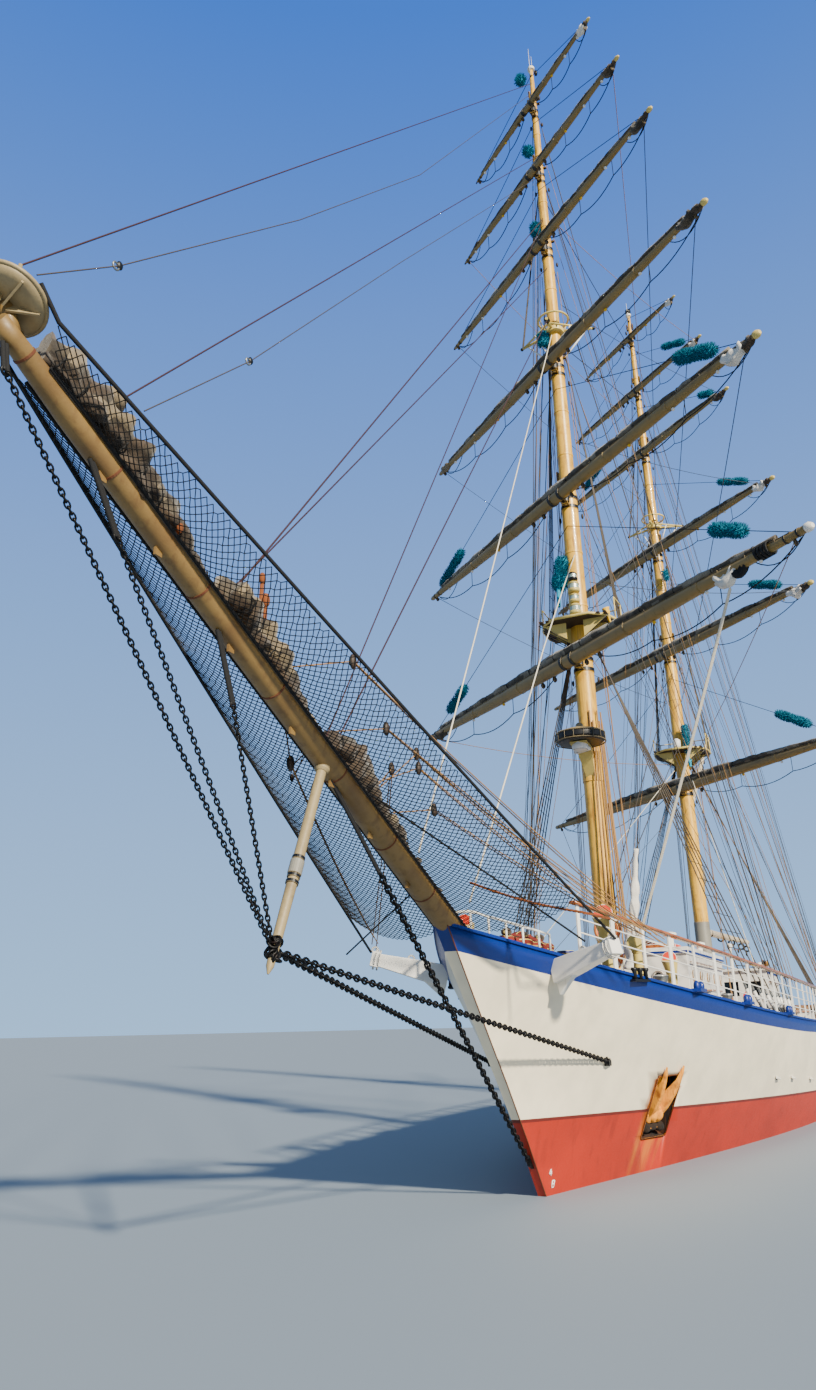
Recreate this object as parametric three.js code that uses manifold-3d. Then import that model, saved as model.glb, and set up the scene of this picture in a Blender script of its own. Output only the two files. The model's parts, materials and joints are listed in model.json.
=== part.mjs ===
// A two-masted brig afloat with every sail furled, as a 1:2 scale model.
//
// Every length below is in metres of the full-size ship. The finished group is scaled so that
// one metre of the ship is 500 mm of the model. +X points to the bow, +Y to port and +Z up, and
// the origin is on the centreline amidships, in the plane of the water.

import * as THREE from "three";
import { mergeVertices } from "three/addons/utils/BufferGeometryUtils.js";
import Module from "manifold-3d";

const wasm = await Module();
wasm.setup();

// Driving dimensions

const MODEL_MM_PER_METRE = 500;
const GAP = 0.0006; // 0.3 mm on the model, between pieces that touch
const KEEL_Z = -3.8;
const SHEER_LOW = 2.95; // top of the bulwark amidships
const SHEER_BOW = 1.7; // how much higher it is at the stem
const SHEER_STERN = 0.75;
const BULWARK_HEIGHT = 0.3;
const BULWARK_WALL = 0.1;
const ENTRY_LENGTH = 21; // from the stem back to the widest section
const RUN_LENGTH = 16; // from the stern forward to the widest section

const FOREMAST_X = 12;
const MAINMAST_X = -3.3;
const BRACE_ANGLE = THREE.MathUtils.degToRad(39.3); // port yardarms forward, as stored

const BOWSPRIT = { heelX: 21.1, tipX: 33.5, z0: 4.66, x0: 22.72, slope: 0.455, heelR: 0.235, tipR: 0.13 };
const STRIKER = { topX: 27.2, topZ: 6.67, tipX: 28.53, tipZ: 3.72, r: 0.075 };
const RUDDER_X = -17.95;
const SHAFT_Z = -2.3;

// The hull's lines, from the keel up. level is the share of the height from keel to sheer, stem and
// stern are where the line ends, half is its widest half-breadth, bow and after are its half-breadths
// at the two ends, and entry and run say how full its ends are.
const HULL_LINES = [
  { level: 0.0, stem: 12.8, stern: -17.6, half: 0.15, bow: 0.08, after: 0.1, entry: 1, run: 1 },
  { level: 0.04, stem: 13.4, stern: -17.6, half: 0.17, bow: 0.08, after: 0.1, entry: 1, run: 1 },
  { level: 0.1, stem: 14.3, stern: -17.6, half: 1.5, bow: 0.08, after: 0.11, entry: 1.25, run: 1.3 },
  { level: 0.2, stem: 15.6, stern: -17.6, half: 2.75, bow: 0.08, after: 0.12, entry: 1.25, run: 1.3 },
  { level: 0.32, stem: 17.0, stern: -17.6, half: 3.55, bow: 0.08, after: 0.14, entry: 1.25, run: 1.4 },
  { level: 0.45, stem: 18.48, stern: -17.75, half: 4.0, bow: 0.08, after: 0.18, entry: 1.25, run: 1.6 },
  { level: 0.52, stem: 19.0, stern: -18.2, half: 4.12, bow: 0.08, after: 0.45, entry: 1.35, run: 1.8 },
  { level: 0.6, stem: 19.55, stern: -20.0, half: 4.2, bow: 0.08, after: 1.2, entry: 1.5, run: 2.0 },
  { level: 0.72, stem: 20.55, stern: -21.2, half: 4.25, bow: 0.09, after: 2.0, entry: 1.7, run: 2.2 },
  { level: 0.86, stem: 21.85, stern: -21.7, half: 4.25, bow: 0.1, after: 2.5, entry: 1.95, run: 2.4 },
  { level: 1.0, stem: 23.2, stern: -22.0, half: 4.2, bow: 0.12, after: 2.7, entry: 2.2, run: 2.5 },
];
const HULL_STATIONS = 26;

// Each mast is one tapering spar: radius at heights above the water.
const MAST_TAPER = [
  { z: 2.4, r: 0.29 },
  { z: 13.9, r: 0.28 },
  { z: 18.2, r: 0.25 },
  { z: 23.1, r: 0.22 },
  { z: 28.0, r: 0.185 },
  { z: 31.3, r: 0.14 },
  { z: 34.4, r: 0.11 },
  { z: 36.6, r: 0.07 },
];

// The yards of each mast, from the deck up: z is the height, half the half-length, r the radius at
// the slings and sail the radius of the sail furled along the top.
const YARDS = {
  fore: [
    { name: "course", z: 12.85, half: 8.95, r: 0.2, sail: 0.2 },
    { name: "lower_topsail", z: 18.2, half: 8.45, r: 0.18, sail: 0.19 },
    { name: "upper_topsail", z: 23.1, half: 7.5, r: 0.16, sail: 0.18 },
    { name: "topgallant", z: 27.95, half: 6.0, r: 0.13, sail: 0.15 },
    { name: "royal", z: 31.3, half: 4.9, r: 0.11, sail: 0.12 },
    { name: "skysail", z: 34.4, half: 3.75, r: 0.09, sail: 0.1 },
  ],
  main: [
    { name: "course", z: 12.05, half: 9.0, r: 0.2, sail: 0.2 },
    { name: "lower_topsail", z: 17.95, half: 8.4, r: 0.18, sail: 0.19 },
    { name: "upper_topsail", z: 22.85, half: 7.45, r: 0.16, sail: 0.18 },
    { name: "topgallant", z: 28.05, half: 5.85, r: 0.13, sail: 0.15 },
    { name: "royal", z: 31.55, half: 4.75, r: 0.11, sail: 0.12 },
    { name: "skysail", z: 34.7, half: 3.5, r: 0.09, sail: 0.1 },
  ],
};
const TRUSS = { reach: 0.16, arm: 0.12, pinR: 0.05, eyeR: 0.12, eyeHalf: 0.115, lugT: 0.08 };

// The tops and crosstrees of each mast, at their undersides.
const MASTS = {
  fore: { x: FOREMAST_X, truck: 36.85, top: 14.05, crosstrees: 24.6 },
  main: { x: MAINMAST_X, truck: 36.6, top: 13.66, crosstrees: 24.35 },
};

// Sails furled on top of the bowsprit, each between two places along it.
const HEADSAILS = [
  { name: "furled_flying_jib", from: 33.0, to: 30.1, r: 0.2 },
  { name: "furled_jib", from: 29.55, to: 27.3, r: 0.19 },
  { name: "furled_staysail", from: 26.75, to: 24.2, r: 0.2 },
];

const FORWARD_HOUSE = { x0: 3.2, x1: 9.4, half: 1.55, top: 4.95 };
const CHART_HOUSE = { x0: -13.2, x1: -8.9, half: 1.6, top: 5.05, wall: 0.07 };
const RAIL = { height: 1.1, r: 0.05, post: 0.06, fromX: 19.8, toX: -21.6, posts: 19 };
const BOOM = { z: 6.4, length: 13, r: 0.15 };
const GAFF = { z: 11.4, length: 8.2, rise: 0.62, r: 0.12 };
const WHEEL = { x: -16.3, z: 4.35, r: 0.75 };

// Materials

const paint = (color, roughness = 0.5, metalness = 0.0) =>
  new THREE.MeshStandardMaterial({ color, roughness, metalness });
const WHITE = paint(0xefe9da, 0.45);
const SPAR = paint(0xd9b36a, 0.45);
const YARD_PAINT = paint(0xc9a877, 0.5);
const CANVAS = paint(0xb9b2a4, 0.95);
const VARNISH = paint(0xa8642c, 0.35);
const CHAIN = paint(0x1a1a1c, 0.5, 0.6);
const RUST = paint(0x7a3f1c, 0.8, 0.4);
const STEEL = paint(0x7c8086, 0.4, 0.8);
const BRONZE = paint(0xb08a3e, 0.35, 0.9);
const BOOT = paint(0xc9442b, 0.5);
const GLASS = paint(0x27343c, 0.1);

// Solids and geometry

function solidOf(geometry) {
  const bare = geometry.clone();
  bare.deleteAttribute("normal");
  bare.deleteAttribute("uv");
  const merged = mergeVertices(bare, 1e-6);
  const triVerts = new Uint32Array(merged.index.array);
  const mesh = new wasm.Mesh({ numProp: 3, vertProperties: merged.attributes.position.array, triVerts });
  return new wasm.Manifold(mesh);
}

function geometryOf(solid) {
  const mesh = solid.getMesh();
  const geometry = new THREE.BufferGeometry();
  geometry.setAttribute("position", new THREE.BufferAttribute(new Float32Array(mesh.vertProperties), 3));
  geometry.setIndex(new THREE.BufferAttribute(new Uint32Array(mesh.triVerts), 1));
  return geometry.toNonIndexed();
}

const join = (...solids) => solids.reduce((whole, piece) => whole.add(piece));

// The piece without what a neighbour fills, and without a thin gap on the neighbour's side of it.
function seated(piece, neighbour, direction) {
  const shift = direction.map((share) => share * GAP);
  return piece.subtract(neighbour).subtract(neighbour.translate(shift));
}

function block(x0, x1, y0, y1, z0, z1) {
  const geometry = new THREE.BoxGeometry(x1 - x0, y1 - y0, z1 - z0);
  return solidOf(geometry.translate((x0 + x1) / 2, (y0 + y1) / 2, (z0 + z1) / 2));
}

// A round bar between two points, which may taper.
function bar(from, to, r0, r1 = r0, sides = 6) {
  const start = new THREE.Vector3(...from);
  const along = new THREE.Vector3(...to).sub(start);
  const geometry = new THREE.CylinderGeometry(r1, r0, along.length(), sides);
  const turn = new THREE.Quaternion().setFromUnitVectors(new THREE.Vector3(0, 1, 0), along.clone().normalize());
  geometry.applyQuaternion(turn);
  return solidOf(geometry.translate(...start.addScaledVector(along, 0.5).toArray()));
}

// A body turned about the Z axis through x, from a list of heights and radii.
function turned(rows, x, sides = 12) {
  const points = rows.map(({ z, r }) => new THREE.Vector2(r, z));
  points.unshift(new THREE.Vector2(0, rows[0].z));
  points.push(new THREE.Vector2(0, rows[rows.length - 1].z));
  const geometry = new THREE.LatheGeometry(points, sides).rotateX(Math.PI / 2);
  return solidOf(geometry.translate(x, 0, 0));
}

// A body turned about the Y axis: half-length and a list of shares of that length and radii.
function spindle(half, rows, sides = 8) {
  const points = rows.map(({ share, r }) => new THREE.Vector2(r, share * half));
  return new THREE.LatheGeometry(points, sides);
}

function plate(outline, thickness, z) {
  const shape = new THREE.Shape(outline.map(([x, y]) => new THREE.Vector2(x, y)));
  return solidOf(new THREE.ExtrudeGeometry(shape, { depth: thickness, bevelEnabled: false }).translate(0, 0, z));
}

// Hull

function sheerZ(x) {
  return x > 0
    ? SHEER_LOW + SHEER_BOW * Math.pow(x / 23, 2.2)
    : SHEER_LOW + SHEER_STERN * Math.pow(x / 22, 2);
}

const deckZ = (x) => sheerZ(x) - BULWARK_HEIGHT;

function halfBreadth(line, x) {
  const ahead = Math.min(1, Math.max(0, (line.stem - x) / ENTRY_LENGTH));
  const behind = Math.min(1, Math.max(0, (x - line.stern) / RUN_LENGTH));
  const forward = line.bow + (line.half - line.bow) * (1 - Math.pow(1 - ahead, line.entry));
  const aft = line.after + (line.half - line.after) * (1 - Math.pow(1 - behind, line.run));
  return Math.min(forward, aft);
}

const SHEER_LINE = HULL_LINES[HULL_LINES.length - 1];
const railHalf = (x) => halfBreadth(SHEER_LINE, x);

// One port half-section: points from the keel up, over the bulwark and down to the deck's edge.
function halfSection(share) {
  const points = HULL_LINES.map((line) => {
    const x = line.stern + share * (line.stem - line.stern);
    return [x, halfBreadth(line, x), KEEL_Z + line.level * (sheerZ(x) - KEEL_Z)];
  });
  const [x, y, z] = points[points.length - 1];
  const inner = Math.max(y - BULWARK_WALL, 0.03);
  const atEnd = share === 0 || share === 1;
  points.push([x, inner, z], [x, inner, z - (atEnd ? 0.01 : BULWARK_HEIGHT)]);
  return points;
}

function hullShell() {
  const rings = [];
  for (let i = 0; i <= HULL_STATIONS; i++) {
    const share = 0.5 - 0.5 * Math.cos((Math.PI * i) / HULL_STATIONS);
    const port = halfSection(share);
    const starboard = port.map(([x, y, z]) => [x, -y, z]).reverse();
    rings.push([...starboard, ...port]);
  }
  const count = rings[0].length;
  const triangles = [];
  const at = (i, j) => i * count + (j % count);
  for (let i = 0; i < HULL_STATIONS; i++)
    for (let j = 0; j < count; j++)
      triangles.push(at(i, j), at(i, j + 1), at(i + 1, j), at(i, j + 1), at(i + 1, j + 1), at(i + 1, j));
  for (let j = 0; j < count / 2 - 1; j++) {
    const k = count - 1 - j;
    triangles.push(at(0, j), at(0, k), at(0, j + 1), at(0, j + 1), at(0, k), at(0, k - 1));
    const last = HULL_STATIONS;
    triangles.push(at(last, j), at(last, j + 1), at(last, k), at(last, j + 1), at(last, k - 1), at(last, k));
  }
  const geometry = new THREE.BufferGeometry();
  geometry.setAttribute("position", new THREE.Float32BufferAttribute(rings.flat(2), 3));
  geometry.setIndex(triangles);
  return solidOf(geometry);
}

const bowspritZ = (x) => BOWSPRIT.z0 + BOWSPRIT.slope * (x - BOWSPRIT.x0);

function bowspritBar(fromX, extra) {
  const from = [fromX, 0, bowspritZ(fromX)];
  const to = [BOWSPRIT.tipX, 0, bowspritZ(BOWSPRIT.tipX)];
  return bar(from, to, BOWSPRIT.heelR + extra, BOWSPRIT.tipR + extra, 16);
}

// The anchor's pocket, in a frame of its own: +Y out of the hull, +Z up, origin on the plating.
const POCKET = { x: 15.1, y: 1.645, z: 1.33, turn: 0.297, tilt: 0.445, halfX: 0.54, halfZ: 0.7, depth: 0.42 };

function inPocket(solid, side) {
  const [turn, tilt] = [POCKET.turn, POCKET.tilt].map((angle) => THREE.MathUtils.radToDeg(-angle));
  const placed = solid.rotate([tilt, 0, turn]).translate([POCKET.x, POCKET.y, POCKET.z]);
  return side > 0 ? placed : placed.mirror([0, 1, 0]);
}

const pocketHole = (side) =>
  inPocket(block(-POCKET.halfX, POCKET.halfX, -POCKET.depth, 1, -POCKET.halfZ, POCKET.halfZ), side);

function makeHull() {
  const sole = block(-18.3, -16.2, -0.1, 0.1, KEEL_Z, KEEL_Z + 0.25);
  const bossing = bar([-16, 0, SHAFT_Z], [-16.85, 0, SHAFT_Z], 0.24, 0.17, 12);
  const aperture = block(-19, -16.6, -1, 1, KEEL_Z + 0.25, SHAFT_Z + 1.15);
  const trunk = bar([RUDDER_X, 0, -1], [RUDDER_X, 0, 0.9], 0.13, 0.13, 12);
  const socket = bowspritBar(BOWSPRIT.heelX - GAP, 0.005);
  return hullShell()
    .subtract(aperture)
    .add(sole)
    .add(bossing)
    .subtract(trunk)
    .subtract(socket)
    .subtract(pocketHole(1))
    .subtract(pocketHole(-1));
}

function makeRudder() {
  const outline = [
    [RUDDER_X, KEEL_Z + 0.27],
    [RUDDER_X - 1.55, KEEL_Z + 0.45],
    [RUDDER_X - 1.65, -1.6],
    [RUDDER_X - 1.1, -0.45],
    [RUDDER_X, -0.4],
  ];
  const shape = new THREE.Shape(outline.map(([x, z]) => new THREE.Vector2(x, z)));
  const blade = new THREE.ExtrudeGeometry(shape, { depth: 0.16, bevelEnabled: false });
  blade.rotateX(Math.PI / 2).translate(0, 0.08, 0);
  const stock = bar([RUDDER_X, 0, KEEL_Z + 0.25 + GAP], [RUDDER_X, 0, 0.9 - GAP], 0.1, 0.1, 12);
  return join(solidOf(blade), stock);
}

function makePropeller() {
  const hubFrom = -16.85 - GAP;
  const hub = bar([hubFrom, 0, SHAFT_Z], [hubFrom - 0.5, 0, SHAFT_Z], 0.16, 0.09, 10);
  const blades = [0, 1, 2, 3].map((i) => {
    const leaf = new THREE.SphereGeometry(1, 8, 6).scale(0.035, 0.26, 0.4).rotateZ(0.6).translate(0, 0, 0.46);
    return solidOf(leaf.rotateX((i * Math.PI) / 2).translate(hubFrom - 0.25, 0, SHAFT_Z));
  });
  return join(hub, ...blades);
}

function makeWindlass() {
  const x = 16.8;
  const z = deckZ(x) + 0.55;
  const drum = bar([x, -0.75, z], [x, 0.75, z], 0.2, 0.2, 10);
  const gypsies = [-0.45, 0.45].map((y) => bar([x, y - 0.09, z], [x, y + 0.09, z], 0.3, 0.3, 10));
  const cheeks = [-0.66, 0, 0.66].map((y) => block(x - 0.28, x + 0.28, y - 0.06, y + 0.06, z - 0.8, z + 0.26));
  return join(drum, ...gypsies, ...cheeks);
}

function makeAnchor(side) {
  const back = -POCKET.depth + GAP;
  const shank = block(-0.07, 0.07, back, back + 0.14, -0.3, 0.66);
  const crown = block(-0.44, 0.44, back, back + 0.36, -0.42, -0.14);
  const flukes = [-1, 1].flatMap((s) => [
    block(s * 0.3 - 0.09, s * 0.3 + 0.09, back + 0.1, 0.1, -0.3, 0.64),
    block(s * 0.3 - 0.06, s * 0.3 + 0.06, 0.045, 0.1, 0.6, 0.93),
  ]);
  return inPocket(join(shank, crown, ...flukes), side);
}

function makeCathead(side) {
  const root = new THREE.Vector3(20.38, 1.1, 3.98);
  const end = new THREE.Vector3(21.06, 2.43, 4.35);
  const along = end.clone().sub(root);
  const across = new THREE.Vector3(-along.y, along.x, 0);
  const turn = new THREE.Matrix4().makeBasis(
    along.clone().normalize(),
    across.clone().normalize(),
    along.clone().cross(across).normalize(),
  );
  const beam = new THREE.BoxGeometry(along.length(), 0.2, 0.26).applyMatrix4(turn);
  // What lies outboard of the middle of the bulwark's wall, which runs at this angle here.
  const wallAngle = -19.8;
  const outboard = block(-1.5, 1.5, 0, 3, -1, 1).rotate([0, 0, wallAngle]).translate([20.38, 1.155, 4]);
  const port = solidOf(beam.translate(...root.addScaledVector(along, 0.5).toArray())).intersect(outboard);
  return side > 0 ? port : port.mirror([0, 1, 0]);
}

// Masts

function mastRadius(z) {
  for (let i = 1; i < MAST_TAPER.length; i++) {
    const [low, high] = [MAST_TAPER[i - 1], MAST_TAPER[i]];
    if (z <= high.z) return low.r + ((high.r - low.r) * (z - low.z)) / (high.z - low.z);
  }
  return MAST_TAPER[MAST_TAPER.length - 1].r;
}

const pinX = (mast, yard) => MASTS[mast].x + mastRadius(yard.z) + TRUSS.reach;

function mastSpar(mast) {
  const { x, truck, top, crosstrees } = MASTS[mast];
  const rows = MAST_TAPER.filter(({ z }) => z < truck - 0.3).map(({ z, r }) => ({ z, r }));
  for (const z of [top, crosstrees]) {
    const r = mastRadius(z);
    rows.push({ z: z - 0.3, r }, { z: z - 0.18, r: r + 0.1 }, { z: z - 0.001, r: r + 0.1 }, { z, r });
  }
  rows.sort((a, b) => a.z - b.z);
  rows.push({ z: truck - 0.12, r: 0.07 }, { z: truck - 0.1, r: 0.13 }, { z: truck, r: 0.1 });
  return turned(rows, x);
}

function makeMast(mast) {
  const trusses = YARDS[mast].map((yard) => {
    const x = pinX(mast, yard);
    const top = yard.z - TRUSS.eyeHalf - GAP;
    const low = top - TRUSS.lugT;
    const lug = join(
      block(MASTS[mast].x, x, -TRUSS.eyeR, TRUSS.eyeR, low, top),
      bar([x, 0, low], [x, 0, top], TRUSS.eyeR, TRUSS.eyeR, 8),
    );
    return join(lug, bar([x, 0, low], [x, 0, yard.z + TRUSS.eyeHalf + 0.02], TRUSS.pinR));
  });
  return join(mastSpar(mast), ...trusses);
}

// Aft lugs that carry a boom or a gaff on an upright pin.
function aftLug(z) {
  const x = MAINMAST_X - mastRadius(z) - TRUSS.reach;
  const top = z - TRUSS.eyeHalf - GAP;
  const arm = block(x, MAINMAST_X, -TRUSS.eyeR, TRUSS.eyeR, top - TRUSS.lugT, top);
  const end = bar([x, 0, top - TRUSS.lugT], [x, 0, top], TRUSS.eyeR, TRUSS.eyeR, 8);
  return join(arm, end, bar([x, 0, top - TRUSS.lugT], [x, 0, z + TRUSS.eyeHalf + 0.02], TRUSS.pinR));
}

// An eye around an upright pin at the origin.
const eye = () => bar([0, 0, -TRUSS.eyeHalf], [0, 0, TRUSS.eyeHalf], TRUSS.eyeR, TRUSS.eyeR, 8);
const eyeHole = () => bar([0, 0, -1], [0, 0, 1], TRUSS.pinR * 1.25, TRUSS.pinR * 1.25);

function makeYard(yard) {
  const offset = yard.r + TRUSS.arm;
  const spar = spindle(yard.half, [
    { share: -1, r: 0 },
    { share: -1, r: yard.r * 0.45 },
    { share: -0.55, r: yard.r * 0.85 },
    { share: -0.2, r: yard.r },
    { share: 0.2, r: yard.r },
    { share: 0.55, r: yard.r * 0.85 },
    { share: 1, r: yard.r * 0.45 },
    { share: 1, r: 0 },
  ]);
  const arm = block(0, offset, -0.08, 0.08, -0.07, 0.07);
  return join(solidOf(spar.translate(offset, 0, 0)), arm, eye()).subtract(eyeHole());
}

function makeFurledSail(yard) {
  const offset = yard.r + TRUSS.arm;
  const roll = spindle(yard.half * 0.93, [
    { share: -1, r: 0 },
    { share: -0.99, r: yard.sail * 0.35 },
    { share: -0.4, r: yard.sail * 0.93 },
    { share: 0.4, r: yard.sail * 0.93 },
    { share: 0.99, r: yard.sail * 0.35 },
    { share: 1, r: 0 },
  ]);
  // The roll lies along the top of the yard, a little ahead of its middle, and follows its taper.
  const position = roll.attributes.position;
  for (let i = 0; i < position.count; i++) {
    const share = Math.min(1, Math.abs(position.getY(i)) / yard.half);
    position.setZ(i, position.getZ(i) - yard.sail * 0.6 * Math.pow(share, 1.6));
  }
  const solid = solidOf(roll.translate(offset, 0, yard.r + yard.sail * 0.9));
  const spar = makeYard(yard);
  return seated(solid, spar, [0, 0, 1]);
}

function makeTop(mast) {
  const { x, top } = MASTS[mast];
  const outline = [
    [x - 0.95, -0.95],
    [x + 0.45, -1.12],
    [x + 0.95, -0.6],
    [x + 0.95, 0.6],
    [x + 0.45, 1.12],
    [x - 0.95, 0.95],
  ];
  const hole = bar([x, 0, top - 1], [x, 0, top + 1], mastRadius(top) + 0.01, mastRadius(top) + 0.01, 12);
  const trestles = [-0.47, 0.47].map((y) => block(x - 0.9, x + 0.9, y - 0.06, y + 0.06, top - 0.12, top + 0.02));
  return join(plate(outline, 0.07, top + GAP), ...trestles).subtract(hole);
}

function makeCrosstrees(mast) {
  const { x, crosstrees: z } = MASTS[mast];
  const r = mastRadius(z) + 0.01;
  const hub = block(x - 0.34, x + 0.34, -0.34, 0.34, z + GAP, z + 0.1);
  const spreaders = [-1, 1].map((side) =>
    bar([x - 0.1, 0, z + 0.06], [x - 0.35, side * 1.25, z + 0.12], 0.05, 0.04),
  );
  const nose = bar([x, 0, z + 0.06], [x + 0.85, 0, z + 0.06], 0.05, 0.045);
  const braces = [-1, 1].map((side) => bar([x + 0.55, 0, z + 0.06], [x - 0.33, side * 1.2, z + 0.1], 0.03));
  const hole = bar([x, 0, z - 1], [x, 0, z + 1], r, r, 12);
  return join(hub, ...spreaders, nose, ...braces).subtract(hole);
}

function makeRadarPlatform() {
  const z = 10.3;
  const x = FOREMAST_X + 1.05;
  const disc = bar([x, 0, z], [x, 0, z + 0.06], 0.68, 0.68, 16);
  const bracket = join(
    block(FOREMAST_X, x, -0.06, 0.06, z - 0.09, z + 0.03),
    bar([FOREMAST_X + 0.1, 0, z - 0.9], [x + 0.2, 0, z], 0.05),
  );
  const posts = [0, 1, 2, 3, 4, 5].map((i) => {
    const angle = (i * Math.PI) / 3;
    const at = [x + 0.64 * Math.cos(angle), 0.64 * Math.sin(angle)];
    return bar([...at, z], [...at, z + 0.45], 0.02, 0.02, 4);
  });
  const guard = solidOf(new THREE.TorusGeometry(0.64, 0.025, 4, 16).translate(x, 0, z + 0.45));
  const scanner = join(bar([x, 0, z], [x, 0, z + 0.3], 0.16, 0.12, 8), block(x - 0.07, x + 0.07, -0.5, 0.5, z + 0.26, z + 0.38));
  return join(disc, bracket, ...posts, guard, scanner);
}

// Spanker gear behind the mainmast

const aftPinX = (z) => MAINMAST_X - mastRadius(z) - TRUSS.reach;

function makeBoom() {
  const spar = bar([-0.22, 0, 0], [-BOOM.length, 0, 0.35], BOOM.r, BOOM.r * 0.7, 12);
  return join(spar, block(-0.4, 0, -0.08, 0.08, -0.08, 0.08), eye())
    .subtract(eyeHole())
    .translate([aftPinX(BOOM.z), 0, BOOM.z]);
}

function makeGaff() {
  const rise = GAFF.length * GAFF.rise;
  const spar = bar([-0.2, 0, 0.08], [-GAFF.length, 0, rise], GAFF.r, GAFF.r * 0.6, 12);
  return join(spar, block(-0.35, 0, -0.08, 0.08, -0.08, 0.1), eye())
    .subtract(eyeHole())
    .translate([aftPinX(GAFF.z), 0, GAFF.z]);
}

function makeFurledSpanker(mainmast) {
  const x = MAINMAST_X - 0.42;
  const rows = [
    { z: 7.1, r: 0.12 },
    { z: 7.6, r: 0.22 },
    { z: 9.0, r: 0.25 },
    { z: 10.5, r: 0.2 },
    { z: 10.9, r: 0.1 },
  ];
  return seated(turned(rows, x, 12), mainmast, [-1, 0, 0]);
}

function makeHeadsail({ from, to, r }) {
  const middle = (from + to) / 2;
  const half = (from - to) / 2 / Math.cos(Math.atan(BOWSPRIT.slope));
  const roll = spindle(half, [
    { share: -1, r: 0 },
    { share: -0.97, r: r * 0.5 },
    { share: -0.5, r },
    { share: 0.4, r: r * 0.9 },
    { share: 0.97, r: r * 0.45 },
    { share: 1, r: 0 },
  ]);
  roll.rotateZ(-Math.PI / 2).rotateY(-Math.atan(BOWSPRIT.slope));
  return solidOf(roll.translate(middle, 0, bowspritZ(middle) + 0.33));
}

// Deck

function makeForwardHouse() {
  const { x0, x1, half, top } = FORWARD_HOUSE;
  const body = block(x0, x1, -half, half, 2, top);
  const roof = block(x0 - 0.12, x1 + 0.12, -half - 0.12, half + 0.12, top - 0.01, top + 0.09);
  return join(body, roof);
}

const DOOR = { half: 0.4, sill: 0.15, height: 1.85, hingeR: 0.017 };

function makeChartHouse() {
  const { x0, x1, half, top, wall } = CHART_HOUSE;
  const body = block(x0, x1, -half, half, 2, top);
  const inside = block(x0 + wall, x1 - wall, -half + wall, half - wall, 1.9, top - wall);
  const roof = block(x0 - 0.15, x1 + 0.15, -half - 0.15, half + 0.15, top - 0.01, top + 0.08);
  const floor = deckZ(x0);
  const doorway = block(x0 - 0.3, x0 + 0.3, -DOOR.half, DOOR.half, floor + DOOR.sill, floor + DOOR.height);
  const windows = [];
  for (let i = 0; i < 4; i++) {
    const x = x0 + 0.75 + i * 0.95;
    windows.push(block(x - 0.28, x + 0.28, -half - 1, half + 1, top - 1.05, top - 0.45));
  }
  for (const y of [-0.95, 0, 0.95])
    windows.push(block(x1 - 0.3, x1 + 0.3, y - 0.35, y + 0.35, top - 1.05, top - 0.45));
  return join(body.subtract(inside), roof).subtract(doorway).subtract(join(...windows));
}

// One U of glass just inside the front and side windows.
function makeChartHouseGlass() {
  const { x0, x1, half, top, wall } = CHART_HOUSE;
  const x = x1 - wall - GAP;
  const y = half - wall - GAP;
  const aft = x0 + wall + 0.12;
  const low = top - 1.15;
  const high = top - 0.35;
  const sheet = 0.02;
  const outline = [
    [aft, y],
    [aft, y - sheet],
    [x - sheet, y - sheet],
    [x - sheet, -y + sheet],
    [aft, -y + sheet],
    [aft, -y],
    [x, -y],
    [x, y],
  ];
  return plate(outline, high - low, low);
}

function makeDoor() {
  const floor = deckZ(CHART_HOUSE.x0);
  const z0 = floor + DOOR.sill + 0.012;
  const z1 = floor + DOOR.height - 0.012;
  const x = CHART_HOUSE.x0;
  const leaf = block(x + 0.005, x + 0.05, -DOOR.half + 0.012, DOOR.half - 0.014, z0, z1);
  const grip = block(x - 0.05, x + 0.02, -DOOR.half + 0.08, -DOOR.half + 0.12, z0 + 0.75, z0 + 0.95);
  const hingeX = x - DOOR.hingeR - GAP / 2;
  const hinges = [0.25, 1.3].map((up) => {
    const low = [hingeX, DOOR.half, z0 + up];
    return bar(low, [hingeX, DOOR.half, z0 + up + 0.14], DOOR.hingeR, DOOR.hingeR, 8);
  });
  const straps = [0.25, 1.3].map((up) =>
    block(x - 0.012, x + 0.02, DOOR.half - 0.16, DOOR.half - 0.004, z0 + up, z0 + up + 0.14),
  );
  return join(leaf, grip, ...hinges, ...straps);
}

function makePedestal() {
  const { x, z } = WHEEL;
  const box = block(x + 0.35, x + 0.95, -0.22, 0.22, deckZ(x) - 0.4, z + 0.15);
  return join(box, bar([x + 0.1, 0, z], [x + 0.4, 0, z], 0.06, 0.06, 10));
}

function makeWheel() {
  const { x, z, r } = WHEEL;
  const rim = solidOf(new THREE.TorusGeometry(r * 0.8, 0.045, 5, 18).rotateY(Math.PI / 2));
  const hub = bar([-0.1, 0, 0], [0.1 - GAP, 0, 0], 0.11, 0.11, 8);
  const spokes = [0, 1, 2, 3].map((i) => {
    const tip = [0, r * Math.cos((i * Math.PI) / 4), r * Math.sin((i * Math.PI) / 4)];
    return bar(tip.map((v) => -v), tip, 0.028, 0.028, 5);
  });
  return join(rim, hub, ...spokes).translate([x, 0, z]);
}

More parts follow.
